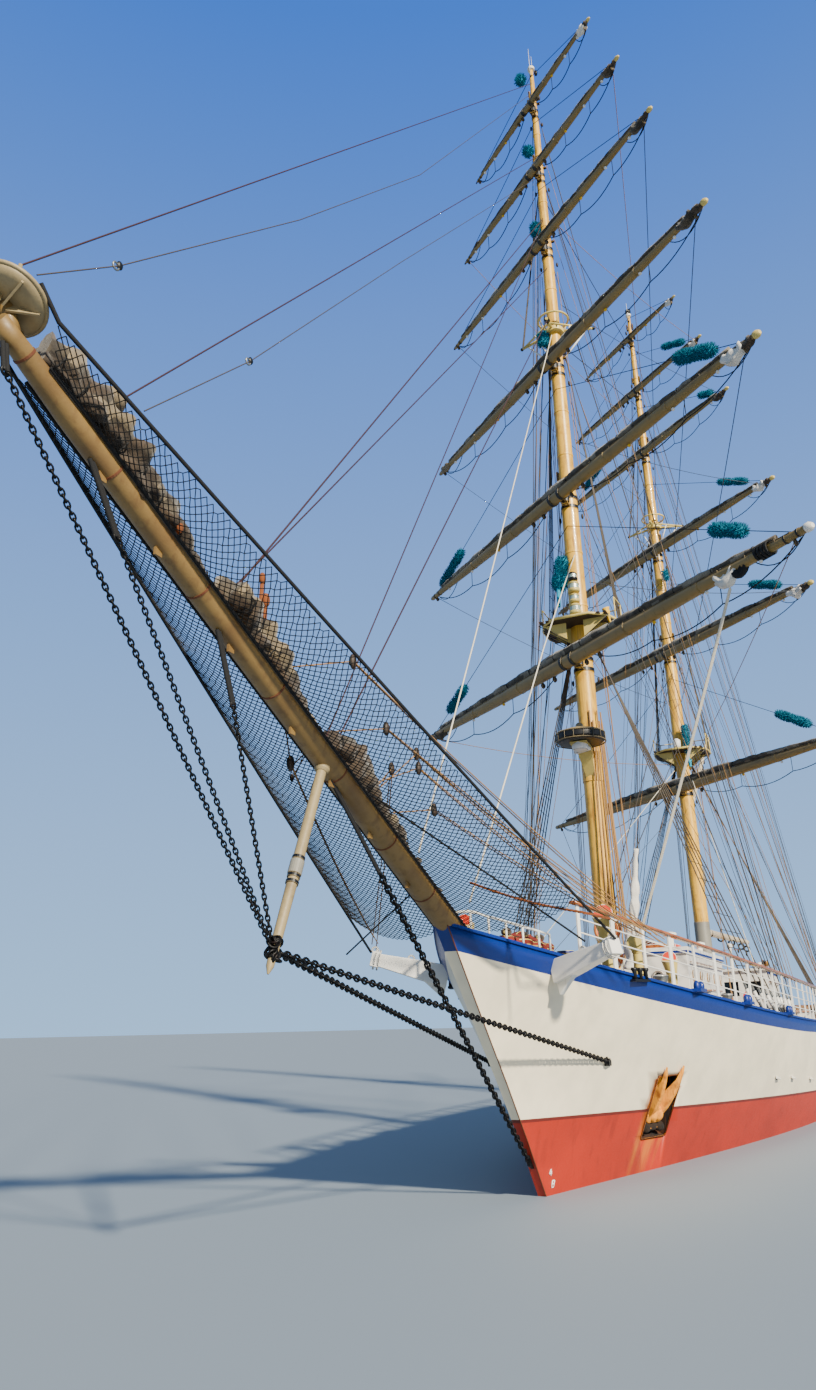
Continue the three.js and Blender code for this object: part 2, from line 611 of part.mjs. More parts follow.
function makeRail(side, hull) {
  const xs = [];
  for (let i = 0; i <= RAIL.posts; i++) xs.push(RAIL.fromX + ((RAIL.toX - RAIL.fromX) * i) / RAIL.posts);
  const inboard = (x) => side * Math.max(railHalf(x) - BULWARK_WALL * 0.7, 0.08);
  const path = xs.map((x) => new THREE.Vector3(x, inboard(x), sheerZ(x) + RAIL.height));
  const round = new THREE.Shape(
    [0, 1, 2, 3, 4, 5].map((i) => {
      const angle = (i * Math.PI) / 3;
      return new THREE.Vector2(RAIL.r * Math.cos(angle), RAIL.r * Math.sin(angle));
    }),
  );
  const handrail = new THREE.ExtrudeGeometry(round, {
    steps: RAIL.posts,
    extrudePath: new THREE.CatmullRomCurve3(path),
    bevelEnabled: false,
  });
  const posts = xs.map((x) => {
    const y = inboard(x);
    const z = sheerZ(x);
    return block(x - RAIL.post / 2, x + RAIL.post / 2, y - RAIL.post / 2, y + RAIL.post / 2, z - 0.01, z + RAIL.height);
  });
  return seated(join(solidOf(handrail), ...posts), hull, [0, 0, 1]);
}

// Stays and chains, as plain round rods

const onBowsprit = (x) => [x, 0, bowspritZ(x)];

function makeMartingaleChains(bowsprit, striker, hull) {
  const knot = [28.43, 0, 4.0];
  const along = [STRIKER.tipX - STRIKER.topX, 0, STRIKER.tipZ - STRIKER.topZ];
  const collar = bar(
    knot.map((v, i) => v - along[i] * 0.03),
    knot.map((v, i) => v + along[i] * 0.03),
    0.16,
    0.16,
    12,
  );
  const forward = [33.4, 32.25, 29.85].map((x) => bar(onBowsprit(x), knot, 0.035, 0.035, 6));
  const guys = [-1, 1].map((side) => bar([18.05, side * 1.1, 2.35], knot, 0.035, 0.035, 6));
  const whole = join(collar, ...forward, ...guys);
  const start = [STRIKER.topX, 0, STRIKER.topZ];
  const hole = bar(start, [STRIKER.tipX + 0.1, 0, STRIKER.tipZ - 0.23], STRIKER.r + 0.001, STRIKER.r + 0.001, 10);
  const clear = seated(whole.subtract(hole).subtract(striker), bowsprit, [0, 0, -1]);
  return seated(seated(clear, hull, [0, 1, 0]), hull, [0, -1, 0]);
}

// The ship

const ship = new THREE.Group();
ship.name = "brig";

function addPiece(name, solid, material, parent = ship) {
  const mesh = new THREE.Mesh(geometryOf(solid), material);
  mesh.name = name;
  parent.add(mesh);
  return solid;
}

const hull = addPiece("hull", makeHull(), WHITE);
addPiece("rudder", makeRudder(), BOOT);
addPiece("propeller", makePropeller(), BRONZE);
addPiece("windlass", seated(makeWindlass(), hull, [0, 0, 1]), STEEL);

const plateLow = [33.631, 0, 9.873];
const plateDisc = bar(plateLow, [33.609, 0, 9.927], 0.4, 0.4, 16);
const endPlate = join(plateDisc, bar(onBowsprit(33.4), plateLow, 0.09, 0.09, 8));
const bowsprit = addPiece("bowsprit", join(bowspritBar(BOWSPRIT.heelX, 0), endPlate), SPAR);
const strikerTop = [STRIKER.topX, 0, STRIKER.topZ];
const strikerTip = [STRIKER.tipX, 0, STRIKER.tipZ];
const striker = seated(bar(strikerTop, strikerTip, STRIKER.r, STRIKER.r * 0.9, 10), bowsprit, [0, 0, -1]);
addPiece("dolphin_striker", striker, SPAR);
addPiece("martingale_chains", makeMartingaleChains(bowsprit, striker, hull), CHAIN);
const bobstay = seated(bar(onBowsprit(27.0), [18.75, 0, 0.45], 0.04, 0.04, 6), bowsprit, [0, 0, -1]);
addPiece("bobstay", seated(bobstay, hull, [1, 0, 0]), CHAIN);

for (const [label, side] of [
  ["port", 1],
  ["starboard", -1],
]) {
  addPiece(`cathead_${label}`, seated(seated(makeCathead(side), hull, [0, side, 0]), hull, [0, 0, 1]), WHITE);
  addPiece(`anchor_${label}`, makeAnchor(side), RUST);
  addPiece(`rail_${label}`, makeRail(side, hull), VARNISH);
}

const mastSolids = {};
for (const mast of ["fore", "main"]) {
  const lugs = mast === "main" ? [aftLug(BOOM.z), aftLug(GAFF.z)] : [];
  const stepped = seated(join(makeMast(mast), ...lugs), hull, [0, 0, 1]);
  mastSolids[mast] = addPiece(`${mast}mast`, stepped, SPAR);
  addPiece(`${mast}_top`, makeTop(mast), WHITE);
  addPiece(`${mast}_crosstrees`, makeCrosstrees(mast), WHITE);
  for (const yard of YARDS[mast]) {
    const swing = new THREE.Group();
    swing.position.set(pinX(mast, yard), 0, yard.z);
    swing.rotation.z = -BRACE_ANGLE;
    ship.add(swing);
    addPiece(`${mast}_${yard.name}_yard`, makeYard(yard), YARD_PAINT, swing);
    addPiece(`${mast}_${yard.name}_furled`, makeFurledSail(yard), CANVAS, swing);
  }
}
addPiece("radar_platform", seated(makeRadarPlatform(), mastSolids.fore, [1, 0, 0]), WHITE);
addPiece("spanker_boom", makeBoom(), YARD_PAINT);
addPiece("spanker_gaff", makeGaff(), YARD_PAINT);
addPiece("furled_spanker", makeFurledSpanker(mastSolids.main), CANVAS);
for (const sail of HEADSAILS) addPiece(sail.name, seated(makeHeadsail(sail), bowsprit, [0, 0, 1]), CANVAS);

addPiece("forward_deckhouse", seated(makeForwardHouse(), hull, [0, 0, 1]), WHITE);
addPiece("chart_house", seated(makeChartHouse(), hull, [0, 0, 1]), WHITE);
addPiece("chart_house_glass", makeChartHouseGlass(), GLASS);
addPiece("chart_house_door", makeDoor(), VARNISH);
addPiece("wheel_pedestal", seated(makePedestal(), hull, [0, 0, 1]), WHITE);
addPiece("steering_wheel", makeWheel(), VARNISH);

// The topmast stay ends in an eye around the nose of the crosstrees.
function makeTopmastStay() {
  const [x, z] = [FOREMAST_X + 0.76, MASTS.fore.crosstrees + 0.06];
  const rod = bar([x, 0, z], onBowsprit(27.07), 0.03);
  const sleeve = bar([x - 0.06, 0, z], [x + 0.06, 0, z], 0.085, 0.085, 8);
  return join(rod, sleeve).subtract(bar([x - 0.5, 0, z], [x + 0.5, 0, z], 0.0475));
}

const topgallantStay = seated(bar([12.1, 0, 29.5], onBowsprit(29.86), 0.03), mastSolids.fore, [1, 0, 0]);
addPiece("topgallant_stay", seated(topgallantStay, bowsprit, [0, 0, 1]), CHAIN);
addPiece("topmast_stay", seated(makeTopmastStay(), bowsprit, [0, 0, 1]), CHAIN);
const mainStay = seated(bar([-2.4, 0, 13.7], [12, 0, 5.6], 0.03), makeTop("main"), [1, 0, -1]);
addPiece("main_stay", seated(mainStay, mastSolids.fore, [-1, 0, 0]), CHAIN);

ship.scale.setScalar(MODEL_MM_PER_METRE);

export default ship;
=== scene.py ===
"""The looks of a two-masted brig afloat with every sail furled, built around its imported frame.

Every size and place below is in metres of the full-size ship. The model is half that size, and
MeshMaker turns ship metres into model metres when it makes a piece. +X is to the bow, +Y to port
and +Z up, and the water is at z = 0.
"""

from __future__ import annotations

import json
import logging
import math
import random
from collections.abc import Callable, Iterable, Sequence
from dataclasses import dataclass, field
from enum import Enum
from functools import cache
from typing import ClassVar

import bmesh
import bpy
from mathutils import Matrix, Vector, noise

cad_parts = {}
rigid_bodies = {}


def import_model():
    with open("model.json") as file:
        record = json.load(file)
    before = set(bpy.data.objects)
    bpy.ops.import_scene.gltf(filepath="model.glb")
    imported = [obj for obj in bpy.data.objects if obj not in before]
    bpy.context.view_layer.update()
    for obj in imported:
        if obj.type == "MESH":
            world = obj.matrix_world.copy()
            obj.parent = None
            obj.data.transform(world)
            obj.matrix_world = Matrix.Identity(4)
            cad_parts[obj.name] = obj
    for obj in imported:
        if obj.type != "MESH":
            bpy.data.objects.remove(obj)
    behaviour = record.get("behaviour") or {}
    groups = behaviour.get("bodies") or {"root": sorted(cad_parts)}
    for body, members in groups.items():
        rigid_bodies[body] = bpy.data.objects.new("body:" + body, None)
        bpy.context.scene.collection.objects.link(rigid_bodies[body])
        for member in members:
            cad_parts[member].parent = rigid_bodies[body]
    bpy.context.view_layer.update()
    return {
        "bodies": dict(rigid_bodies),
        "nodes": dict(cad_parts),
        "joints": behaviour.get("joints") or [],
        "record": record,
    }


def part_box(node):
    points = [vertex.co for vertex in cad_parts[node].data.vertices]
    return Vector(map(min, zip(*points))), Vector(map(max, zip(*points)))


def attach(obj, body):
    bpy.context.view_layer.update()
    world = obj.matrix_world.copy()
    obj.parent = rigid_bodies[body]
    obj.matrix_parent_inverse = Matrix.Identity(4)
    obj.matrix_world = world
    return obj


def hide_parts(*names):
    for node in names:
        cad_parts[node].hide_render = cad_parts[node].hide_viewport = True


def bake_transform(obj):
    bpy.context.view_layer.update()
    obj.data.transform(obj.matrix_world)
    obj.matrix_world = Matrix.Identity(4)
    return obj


LOG = logging.getLogger("brig")
MODEL_SCALE = 0.5

Triple = tuple[float, float, float]
Point = Vector | Triple
Path = Sequence[Point]
Table = tuple[tuple[float, float], ...]
Piece = bpy.types.Object
Material = bpy.types.Material
Tree = bpy.types.NodeTree
Node = bpy.types.Node
Socket = bpy.types.NodeSocket
UP = Vector((0, 0, 1))


class Side(Enum):
    """A side of the ship, as the sign of its y."""

    PORT = 1
    STARBOARD = -1


SIDES = tuple(side.value for side in Side)


@dataclass(frozen=True)
class Lines:
    """The hull's lines and the places of the spars, in metres of the ship."""

    keel: float = -3.8
    sheer_low: float = 2.95
    sheer_bow: float = 1.7
    sheer_stern: float = 0.75
    bulwark: float = 0.3
    wall: float = 0.1
    entry_length: float = 21.0
    run_length: float = 16.0
    band: float = 0.34
    # level, stem, stern, half, bow, after, entry, run
    rows: tuple[tuple[float, ...], ...] = (
        (0.0, 12.8, -17.6, 0.15, 0.08, 0.1, 1, 1),
        (0.04, 13.4, -17.6, 0.17, 0.08, 0.1, 1, 1),
        (0.1, 14.3, -17.6, 1.5, 0.08, 0.11, 1.25, 1.3),
        (0.2, 15.6, -17.6, 2.75, 0.08, 0.12, 1.25, 1.3),
        (0.32, 17.0, -17.6, 3.55, 0.08, 0.14, 1.25, 1.4),
        (0.45, 18.48, -17.75, 4.0, 0.08, 0.18, 1.25, 1.6),
        (0.52, 19.0, -18.2, 4.12, 0.08, 0.45, 1.35, 1.8),
        (0.6, 19.55, -20.0, 4.2, 0.08, 1.2, 1.5, 2.0),
        (0.72, 20.55, -21.2, 4.25, 0.09, 2.0, 1.7, 2.2),
        (0.86, 21.85, -21.7, 4.25, 0.1, 2.5, 1.95, 2.4),
        (1.0, 23.2, -22.0, 4.2, 0.12, 2.7, 2.2, 2.5),
    )

    def sheer(self, x: float) -> float:
        """The height of the top of the bulwark at x.

        Args:
            x: Where along the ship.

        Returns:
            The height.
        """
        if x > 0:
            return self.sheer_low + self.sheer_bow * (x / 23) ** 2.2
        return self.sheer_low + self.sheer_stern * (x / 22) ** 2

    def deck(self, x: float) -> float:
        """The height of the deck at x."""
        return self.sheer(x) - self.bulwark

    def boot(self, x: float) -> float:
        """The height of the top of the red boot paint at x."""
        return 0.89 + x * (0.027 if x > 0 else 0.006)

    def row(self, level: float) -> list[float]:
        """The row of the lines at a level between keel and sheer, worked out between its neighbours.

        Args:
            level: A share of the height from keel to sheer.

        Returns:
            The row.
        """
        level = max(0.0, min(1.0, level))
        for low, high in zip(self.rows, self.rows[1:]):
            if level <= high[0]:
                share = (level - low[0]) / (high[0] - low[0])
                return [a + (b - a) * share for a, b in zip(low, high)]
        return list(self.rows[-1])

    def half_at(self, row: Sequence[float], x: float) -> float:
        """The half-breadth of one row of the lines at x.

        Args:
            row: A row of the lines.
            x: Where along the ship.

        Returns:
            The half-breadth.
        """
        _, stem, stern, half, bow, after, entry, run = row
        ahead = min(1.0, max(0.0, (stem - x) / self.entry_length))
        behind = min(1.0, max(0.0, (x - stern) / self.run_length))
        forward = bow + (half - bow) * (1 - (1 - ahead) ** entry)
        aft = after + (half - after) * (1 - (1 - behind) ** run)
        return min(forward, aft)

    def half(self, x: float, z: float) -> float:
        """The half-breadth of the hull at x and z."""
        level = (z - self.keel) / (self.sheer(x) - self.keel)
        return self.half_at(self.row(level), x)

    def rail_half(self, x: float) -> float:
        """The half-breadth of the top of the bulwark at x."""
        return self.half_at(self.rows[-1], x)


LINES = Lines()
BRACE_ANGLE = math.radians(39.3)
MAST_X = {"fore": 12.0, "main": -3.3}
TRUCK_Z = {"fore": 36.85, "main": 36.6}
TOP_Z = {"fore": 14.05, "main": 13.66}
CROSSTREES_Z = {"fore": 24.6, "main": 24.35}
TAPER = (
    (2.4, 0.29), (13.9, 0.28), (18.2, 0.25), (23.1, 0.22), (28, 0.185), (31.3, 0.14), (34.4, 0.11),
    (36.6, 0.07),
)
TRUSS_REACH = 0.16
TRUSS_ARM = 0.12
EYE_HALF = 0.115
BOWSPRIT_WAY = Vector((1, 0, 0.455)).normalized()


def xyz(x: float, y: float, z: float) -> Vector:
    """A point or a direction of three numbers."""
    return Vector((x, y, z))


def between(low: float, high: float, share: float) -> float:
    """The number at a share of the way from low to high."""
    return low + (high - low) * share


def graded(table: Sequence[tuple[float, float]], place: float) -> float:
    """The number at a place in a table of places and numbers, worked out between its rows.

    Args:
        table: Rows of a place and its number.
        place: The place.

    Returns:
        The number.
    """
    for (a0, b0), (a1, b1) in zip(table, table[1:]):
        if place <= a1:
            return between(b0, b1, max(0.0, (place - a0) / (a1 - a0)))
    return table[-1][1]


def mast_radius(z: float) -> float:
    """The radius of a mast at a height."""
    return graded(TAPER, z)


def bowsprit_z(x: float) -> float:
    """The height of the bowsprit's axis at x."""
    return 4.66 + 0.455 * (x - 22.72)


def on_bowsprit(x: float, above: float = 0.0, out: float = 0.0) -> Vector:
    """A point at x along the bowsprit, a distance above and to the side of its axis."""
    return xyz(x, out, bowsprit_z(x) + above)


def placed_in_scene(name: str, data: bpy.types.ID) -> Piece:
    """Makes an object of a mesh, a light or a camera and links it to the scene.

    Args:
        name: The object's name.
        data: What it holds.

    Returns:
        The object.
    """
    made = bpy.data.objects.new(name, data)
    bpy.context.scene.collection.objects.link(made)
    return made


def sagging(start: Point, end: Point, sag: float, steps: int = 10) -> list[Vector]:
    """A line of points from start to end that hangs by sag at its middle.

    Args:
        start: Where it starts.
        end: Where it ends.
        sag: How far it hangs.
        steps: How many steps it has.

    Returns:
        The points.
    """
    a, b = Vector(start), Vector(end)
    return [
        a.lerp(b, i / steps) - xyz(0, 0, 4 * sag * (i / steps) * (1 - i / steps))
        for i in range(steps + 1)
    ]


def ring_points(centre: Point, across: Vector, up: Vector, radius: float, count: int) -> list[Vector]:
    """Points of a circle around centre in the plane of two unit vectors."""
    turns = [2 * math.pi * i / count for i in range(count)]
    return [Vector(centre) + across * (radius * math.cos(t)) + up * (radius * math.sin(t)) for t in turns]


def spokes(count: int, start: float = 0.0) -> list[Vector]:
    """Level directions at equal turns from a first one."""
    return [
        xyz(math.cos(t), math.sin(t), 0) for t in (start + 2 * math.pi * i / count for i in range(count))
    ]


def ship_box(node: str) -> tuple[Vector, Vector]:
    """The low and high corners of a CAD node, in metres of the ship."""
    low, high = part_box(node)
    return Vector(low) / MODEL_SCALE, Vector(high) / MODEL_SCALE


def basis(along: Vector) -> tuple[Vector, Vector]:
    """Two unit vectors at right angles to a direction and to each other.

    Args:
        along: The direction.

    Returns:
        The two unit vectors.
    """
    along = along.normalized()
    helper = UP if abs(along.z) < 0.9 else xyz(1, 0, 0)
    across = along.cross(helper).normalized()
    return across, across.cross(along).normalized()


# Materials


class Graph:
    """Builds the nodes of one tree."""

    def __init__(self, tree: Tree) -> None:
        """Starts on a tree."""
        self.tree = tree

    def link(self, source: Socket, target: Socket) -> None:
        """Joins two sockets."""
        self.tree.links.new(source, target)

    def place(self) -> Socket:
        """The piece's own coordinates."""
        return self.node("ShaderNodeTexCoord").outputs["Object"]

    def node(self, kind: str, values: dict | None = None, **settings: object) -> Node:
        """Adds a node.

        Args:
            kind: The node's type name.
            values: A number, colour or socket for each input by name or index.
            **settings: The node's own settings.

        Returns:
            The node.
        """
        made = self.tree.nodes.new(kind)
        for name, value in settings.items():
            setattr(made, name, value)
        for name, value in (values or {}).items():
            if isinstance(value, Socket):
                self.tree.links.new(value, made.inputs[name])
            else:
                made.inputs[name].default_value = value
        return made

    def geo(self, kind: str, **values: object) -> Socket:
        """The first output of a Geometry Nodes node."""
        return self.node("GeometryNode" + kind, values).outputs[0]

    def math(self, operation: str, a: object, b: object = 0.0) -> Socket:
        """The result of a Math node."""
        return self.node("ShaderNodeMath", {0: a, 1: b}, operation=operation).outputs[0]

    def mix(self, factor: object, a: object, b: object) -> Socket:
        """A colour between two colours.

        Args:
            factor: The share of the second colour, or its socket.
            a: The first colour.
            b: The second colour.

        Returns:
            The colour.
        """
        made = self.node("ShaderNodeMix", data_type="RGBA")
        for index, value in ((0, factor), (6, a), (7, b)):
            if isinstance(value, Socket):
                self.tree.links.new(value, made.inputs[index])
            else:
                made.inputs[index].default_value = value
        return made.outputs[2]

    def fade(
        self, value: object, low: float, high: float, to_low: float = 0.0, to_high: float = 1.0
    ) -> Socket:
        """A number moved from one range to another, and held inside it."""
        values = {"Value": value, "From Min": low, "From Max": high, "To Min": to_low, "To Max": to_high}
        return self.node("ShaderNodeMapRange", values).outputs["Result"]

    def stretched(self, scale: Sequence[float]) -> Socket:
        """Object coordinates, stretched along each axis."""
        return self.node(
            "ShaderNodeMapping", {"Vector": self.place(), "Scale": tuple(scale)}
        ).outputs["Vector"]

    def noise(self, vector: object, scale: float, detail: float = 4.0, rough: float = 0.6) -> Socket:
        """The number of a Noise Texture."""
        values = {"Vector": vector, "Scale": scale, "Detail": detail, "Roughness": rough}
        return self.node("ShaderNodeTexNoise", values).outputs["Fac"]

    def bump(self, height: object, strength: float, distance: float) -> Socket:
        """A normal bent by a height."""
        values = {"Height": height, "Strength": strength, "Distance": distance}
        return self.node("ShaderNodeBump", values).outputs["Normal"]


def colour(r: float, g: float, b: float) -> tuple[float, float, float, float]:
    """A colour, from shares of full brightness as the eye sees them.

    Args:
        r: Red.
        g: Green.
        b: Blue.

    Returns:
        The colour in linear light, with its alpha.
    """
    def linear(v: float) -> float:
        """One channel in linear light."""
        return v / 12.92 if v <= 0.04045 else ((v + 0.055) / 1.055) ** 2.4

    return linear(r), linear(g), linear(b), 1.0


def new_group(
    name: str, kind: str, inputs: dict[str, tuple[str, object]], outputs: dict[str, str]
) -> tuple[Graph, dict[str, Socket], Node]:
    """Starts a node group with named inputs and outputs.

    Args:
        name: The group's name.
        kind: Shader or Geometry.
        inputs: The socket type's ending and usual value of each input by name.
        outputs: The socket type's ending of each output by name.

    Returns:
        The graph to build in, the input sockets by name, and the output node.
    """
    tree = bpy.data.node_groups.new(name, kind + "NodeTree")
    for label, (ending, value) in inputs.items():
        socket = tree.interface.new_socket(label, in_out="INPUT", socket_type="NodeSocket" + ending)
        if value is not None:
            socket.default_value = value
    for label, ending in outputs.items():
        tree.interface.new_socket(label, in_out="OUTPUT", socket_type="NodeSocket" + ending)
    graph = Graph(tree)
    entry = graph.node("NodeGroupInput")
    given = {socket.name: socket for socket in entry.outputs if socket.name}
    return graph, given, graph.node("NodeGroupOutput")


class Groups:
    """The effects that several finishes share, each a node group that is built once."""

    @staticmethod
    @cache
    def weathering() -> Tree:
        """Blotches, and streaks that run down, as two masks.

        Returns:
            The node group.
        """
        inputs = {"Vector": ("Vector", None), "Size": ("Float", 3.0), "Cover": ("Float", 0.5)}
        graph, given, result = new_group(
            "weathering", "Shader", inputs, {"Blotches": "Float", "Streaks": "Float"}
        )
        low = graph.math("SUBTRACT", 0.78, graph.math("MULTIPLY", given["Cover"], 0.35))
        down = graph.node(
            "ShaderNodeMapping", {"Vector": given["Vector"], "Scale": (6, 6, 0.35)}
        ).outputs["Vector"]
        for label, place, detail in (("Blotches", given["Vector"], 5.0), ("Streaks", down, 4.0)):
            source = graph.node(
                "ShaderNodeTexNoise", {"Vector": place, "Scale": given["Size"], "Detail": detail}
            )
            amount = graph.math("SUBTRACT", source.outputs["Fac"], low)
            held = graph.node("ShaderNodeClamp", {"Value": graph.math("MULTIPLY", amount, 5.0)})
            graph.link(held.outputs[0], result.inputs[label])
        return graph.tree

    @staticmethod
    @cache
    def weave() -> Tree:
        """The over and under of woven cloth, as a height.

        Returns:
            The node group.
        """
        inputs = {"Vector": ("Vector", None), "Threads": ("Float", 300.0)}
        graph, given, result = new_group("weave", "Shader", inputs, {"Height": "Float"})
        values = {"Vector": given["Vector"], "Scale": given["Threads"], "Distortion": 0.6}
        axes = [graph.node("ShaderNodeTexWave", values, bands_direction=way).outputs["Fac"] for way in "XZ"]
        graph.link(graph.math("MULTIPLY", *axes), result.inputs["Height"])
        return graph.tree

    @staticmethod
    @cache
    def grain() -> Tree:
        """Long fibres of wood along X, as a mask.

        Returns:
            The node group.
        """
        inputs = {"Vector": ("Vector", None), "Size": ("Float", 20.0)}
        graph, given, result = new_group("grain", "Shader", inputs, {"Mask": "Float"})
        along = graph.node(
            "ShaderNodeMapping", {"Vector": given["Vector"], "Scale": (0.12, 1, 1)}
        ).outputs["Vector"]
        fibres = graph.node("ShaderNodeTexNoise", {"Vector": along, "Scale": given["Size"], "Detail": 6.0})
        graph.link(fibres.outputs["Fac"], result.inputs["Mask"])
        return graph.tree


@dataclass(frozen=True)
class Finish:
    """A painted or bare surface with blotches, streaks and a fine unevenness.

    Sizes of patterns are in cycles a model metre.
    """

    name: str
    tone: Triple
    soil: Triple = (0.35, 0.25, 0.16)
    roughness: float = 0.45
    metallic: float = 0.0
    cover: float = 0.5
    size: float = 3.0
    patches: float = 0.35
    streaks: float = 0.35
    bump: float = 0.15
    bump_size: float = 60.0
    coat: float = 0.0

    def shader(self) -> tuple[Material, Graph, Node]:
        """A new material, its graph and its Principled BSDF with the fixed values set.

        Returns:
            The material, its graph and its shader.
        """
        material = bpy.data.materials.new(self.name)
        material.use_nodes = True
        graph = Graph(material.node_tree)
        shader = material.node_tree.nodes["Principled BSDF"]
        shader.inputs["Metallic"].default_value = self.metallic
        shader.inputs["Coat Weight"].default_value = self.coat
        material.diffuse_color = colour(*self.tone)
        return material, graph, shader

    def base(self, graph: Graph) -> Socket:
        """The clean colour of the surface, with a slight unevenness.

        Args:
            graph: The material's graph.

        Returns:
            The colour.
        """
        uneven = graph.noise(graph.stretched((1, 1, 1)), 2.2, 3.0)
        darker = tuple(0.93 * v for v in self.tone)
        return graph.mix(graph.fade(uneven, 0.35, 0.65), colour(*self.tone), colour(*darker))

    def make(self) -> Material:
        """The finished material.

        Returns:
            The material.
        """
        material, graph, shader = self.shader()
        place = graph.place()
        values = {"Vector": place, "Size": self.size, "Cover": self.cover}
        worn = graph.node("ShaderNodeGroup", values, node_tree=Groups.weathering()).outputs
        blotched = graph.math("MULTIPLY", worn["Blotches"], self.patches)
        streaked = graph.math("MULTIPLY", worn["Streaks"], self.streaks)
        soiled = graph.mix(graph.math("MAXIMUM", blotched, streaked), self.base(graph), colour(*self.soil))
        fine = graph.noise(place, self.bump_size, 3.0)
        uneven = graph.fade(fine, 0.3, 0.7, self.roughness - 0.07, self.roughness + 0.1)
        normal = graph.bump(fine, self.bump, 0.004)
        for name, source in (("Base Color", soiled), ("Roughness", uneven), ("Normal", normal)):
            graph.link(source, shader.inputs[name])
        return material


@dataclass(frozen=True)
class HullFinish(Finish):
    """Hull paint, with rust that runs down from chosen places on both sides."""

    rust: Triple = (0.72, 0.36, 0.06)
    # x, top z, width and length of each run, in metres of the ship
    runs: tuple[tuple[float, float, float, float], ...] = ()

    def base(self, graph: Graph) -> Socket:
        """Paint with plates that show faintly, and the runs of rust.

        Args:
            graph: The material's graph.

        Returns:
            The colour.
        """
        shade = super().base(graph)
        place = graph.place()
        parts = graph.node("ShaderNodeSeparateXYZ", {"Vector": place}).outputs
        ragged = graph.noise(graph.stretched((9, 1, 1.2)), 3.0, 5.0)
        for x, z, width, length in self.runs:
            centre, top = x * MODEL_SCALE, z * MODEL_SCALE
            off = graph.math("ABSOLUTE", graph.math("SUBTRACT", parts["X"], centre))
            near = graph.fade(off, 0.0, width * MODEL_SCALE, 1.0, 0.0)
            below = graph.fade(parts["Z"], top - length * MODEL_SCALE, top, 0.0, 1.0)
            under = graph.fade(parts["Z"], top, top + 0.02, 1.0, 0.0)
            strength = graph.math("MULTIPLY", graph.math("MULTIPLY", near, below), under)
            shown = graph.fade(graph.math("MULTIPLY", strength, ragged), 0.1, 0.32)
            shade = graph.mix(shown, shade, colour(*self.rust))
        return shade


@dataclass(frozen=True)
class ClothFinish(Finish):
    """Woven canvas, with folds that hold dirt."""

    threads: float = 260.0
    sheen: float = 0.25

    def make(self) -> Material:
        """The finished material, with its weave and folds in the bump.

        Returns:
            The material.
        """
        material = super().make()
        graph = Graph(material.node_tree)
        shader = material.node_tree.nodes["Principled BSDF"]
        shader.inputs["Sheen Weight"].default_value = self.sheen
        values = {"Vector": graph.place(), "Threads": self.threads}
        weave = graph.node("ShaderNodeGroup", values, node_tree=Groups.weave())
        values = {
            "Strength": 0.5, "Distance": 0.01, "Normal": graph.bump(weave.outputs["Height"], 0.3, 0.002)
        }
        folded = graph.node(
            "ShaderNodeBump", {**values, "Height": graph.noise(graph.stretched((14, 14, 3)), 3.0, 4.0)}
        )
        graph.link(folded.outputs["Normal"], shader.inputs["Normal"])
        return material


@dataclass(frozen=True)
class WoodFinish(Finish):
    """Wood with grain along X, and planks across y where a width is given."""

    dark: Triple = (0.3, 0.14, 0.05)
    grain_size: float = 24.0
    plank: float = 0.0

    def base(self, graph: Graph) -> Socket:
        """The grain between two shades, and the dark seams between planks.

        Args:
            graph: The material's graph.

        Returns:
            The colour.
        """
        place = graph.place()
        grain = graph.node(
            "ShaderNodeGroup", {"Vector": place, "Size": self.grain_size}, node_tree=Groups.grain()
        )
        shade = graph.mix(
            graph.fade(grain.outputs["Mask"], 0.3, 0.7), colour(*self.tone), colour(*self.dark)
        )
        if self.plank:
            parts = graph.node("ShaderNodeSeparateXYZ", {"Vector": place}).outputs
            across = graph.math("DIVIDE", parts["Y"], self.plank * MODEL_SCALE)
            seam = graph.fade(graph.math("PINGPONG", across, 0.5), 0.03, 0.0)
            shade = graph.mix(graph.math("MULTIPLY", seam, 0.85), shade, colour(0.06, 0.05, 0.05))
        return shade


@dataclass(frozen=True)
class GlassFinish(Finish):
    """Dark window glass."""

    def make(self) -> Material:
        """The finished material, with a slight unevenness in its reflections.

        Returns:
            The material.
        """
        material, graph, shader = self.shader()
        shader.inputs["Transmission Weight"].default_value = 0.25
        uneven = graph.noise(graph.stretched((1, 1, 1)), 6.0, 2.0)
        dusty = graph.fade(uneven, 0.3, 0.7, 0.04, 0.12)
        tinted = graph.mix(graph.fade(uneven, 0.4, 0.7), colour(*self.tone), colour(*self.soil))
        graph.link(tinted, shader.inputs["Base Color"])
        graph.link(dusty, shader.inputs["Roughness"])
        return material


RUST_BROWN = (0.36, 0.17, 0.07)
HULL_RUNS = (
    (15.6, 1.9, 0.3, 3.0),
    (14.65, 1.7, 0.2, 2.2),
    (15.1, 0.9, 0.42, 1.5),
)


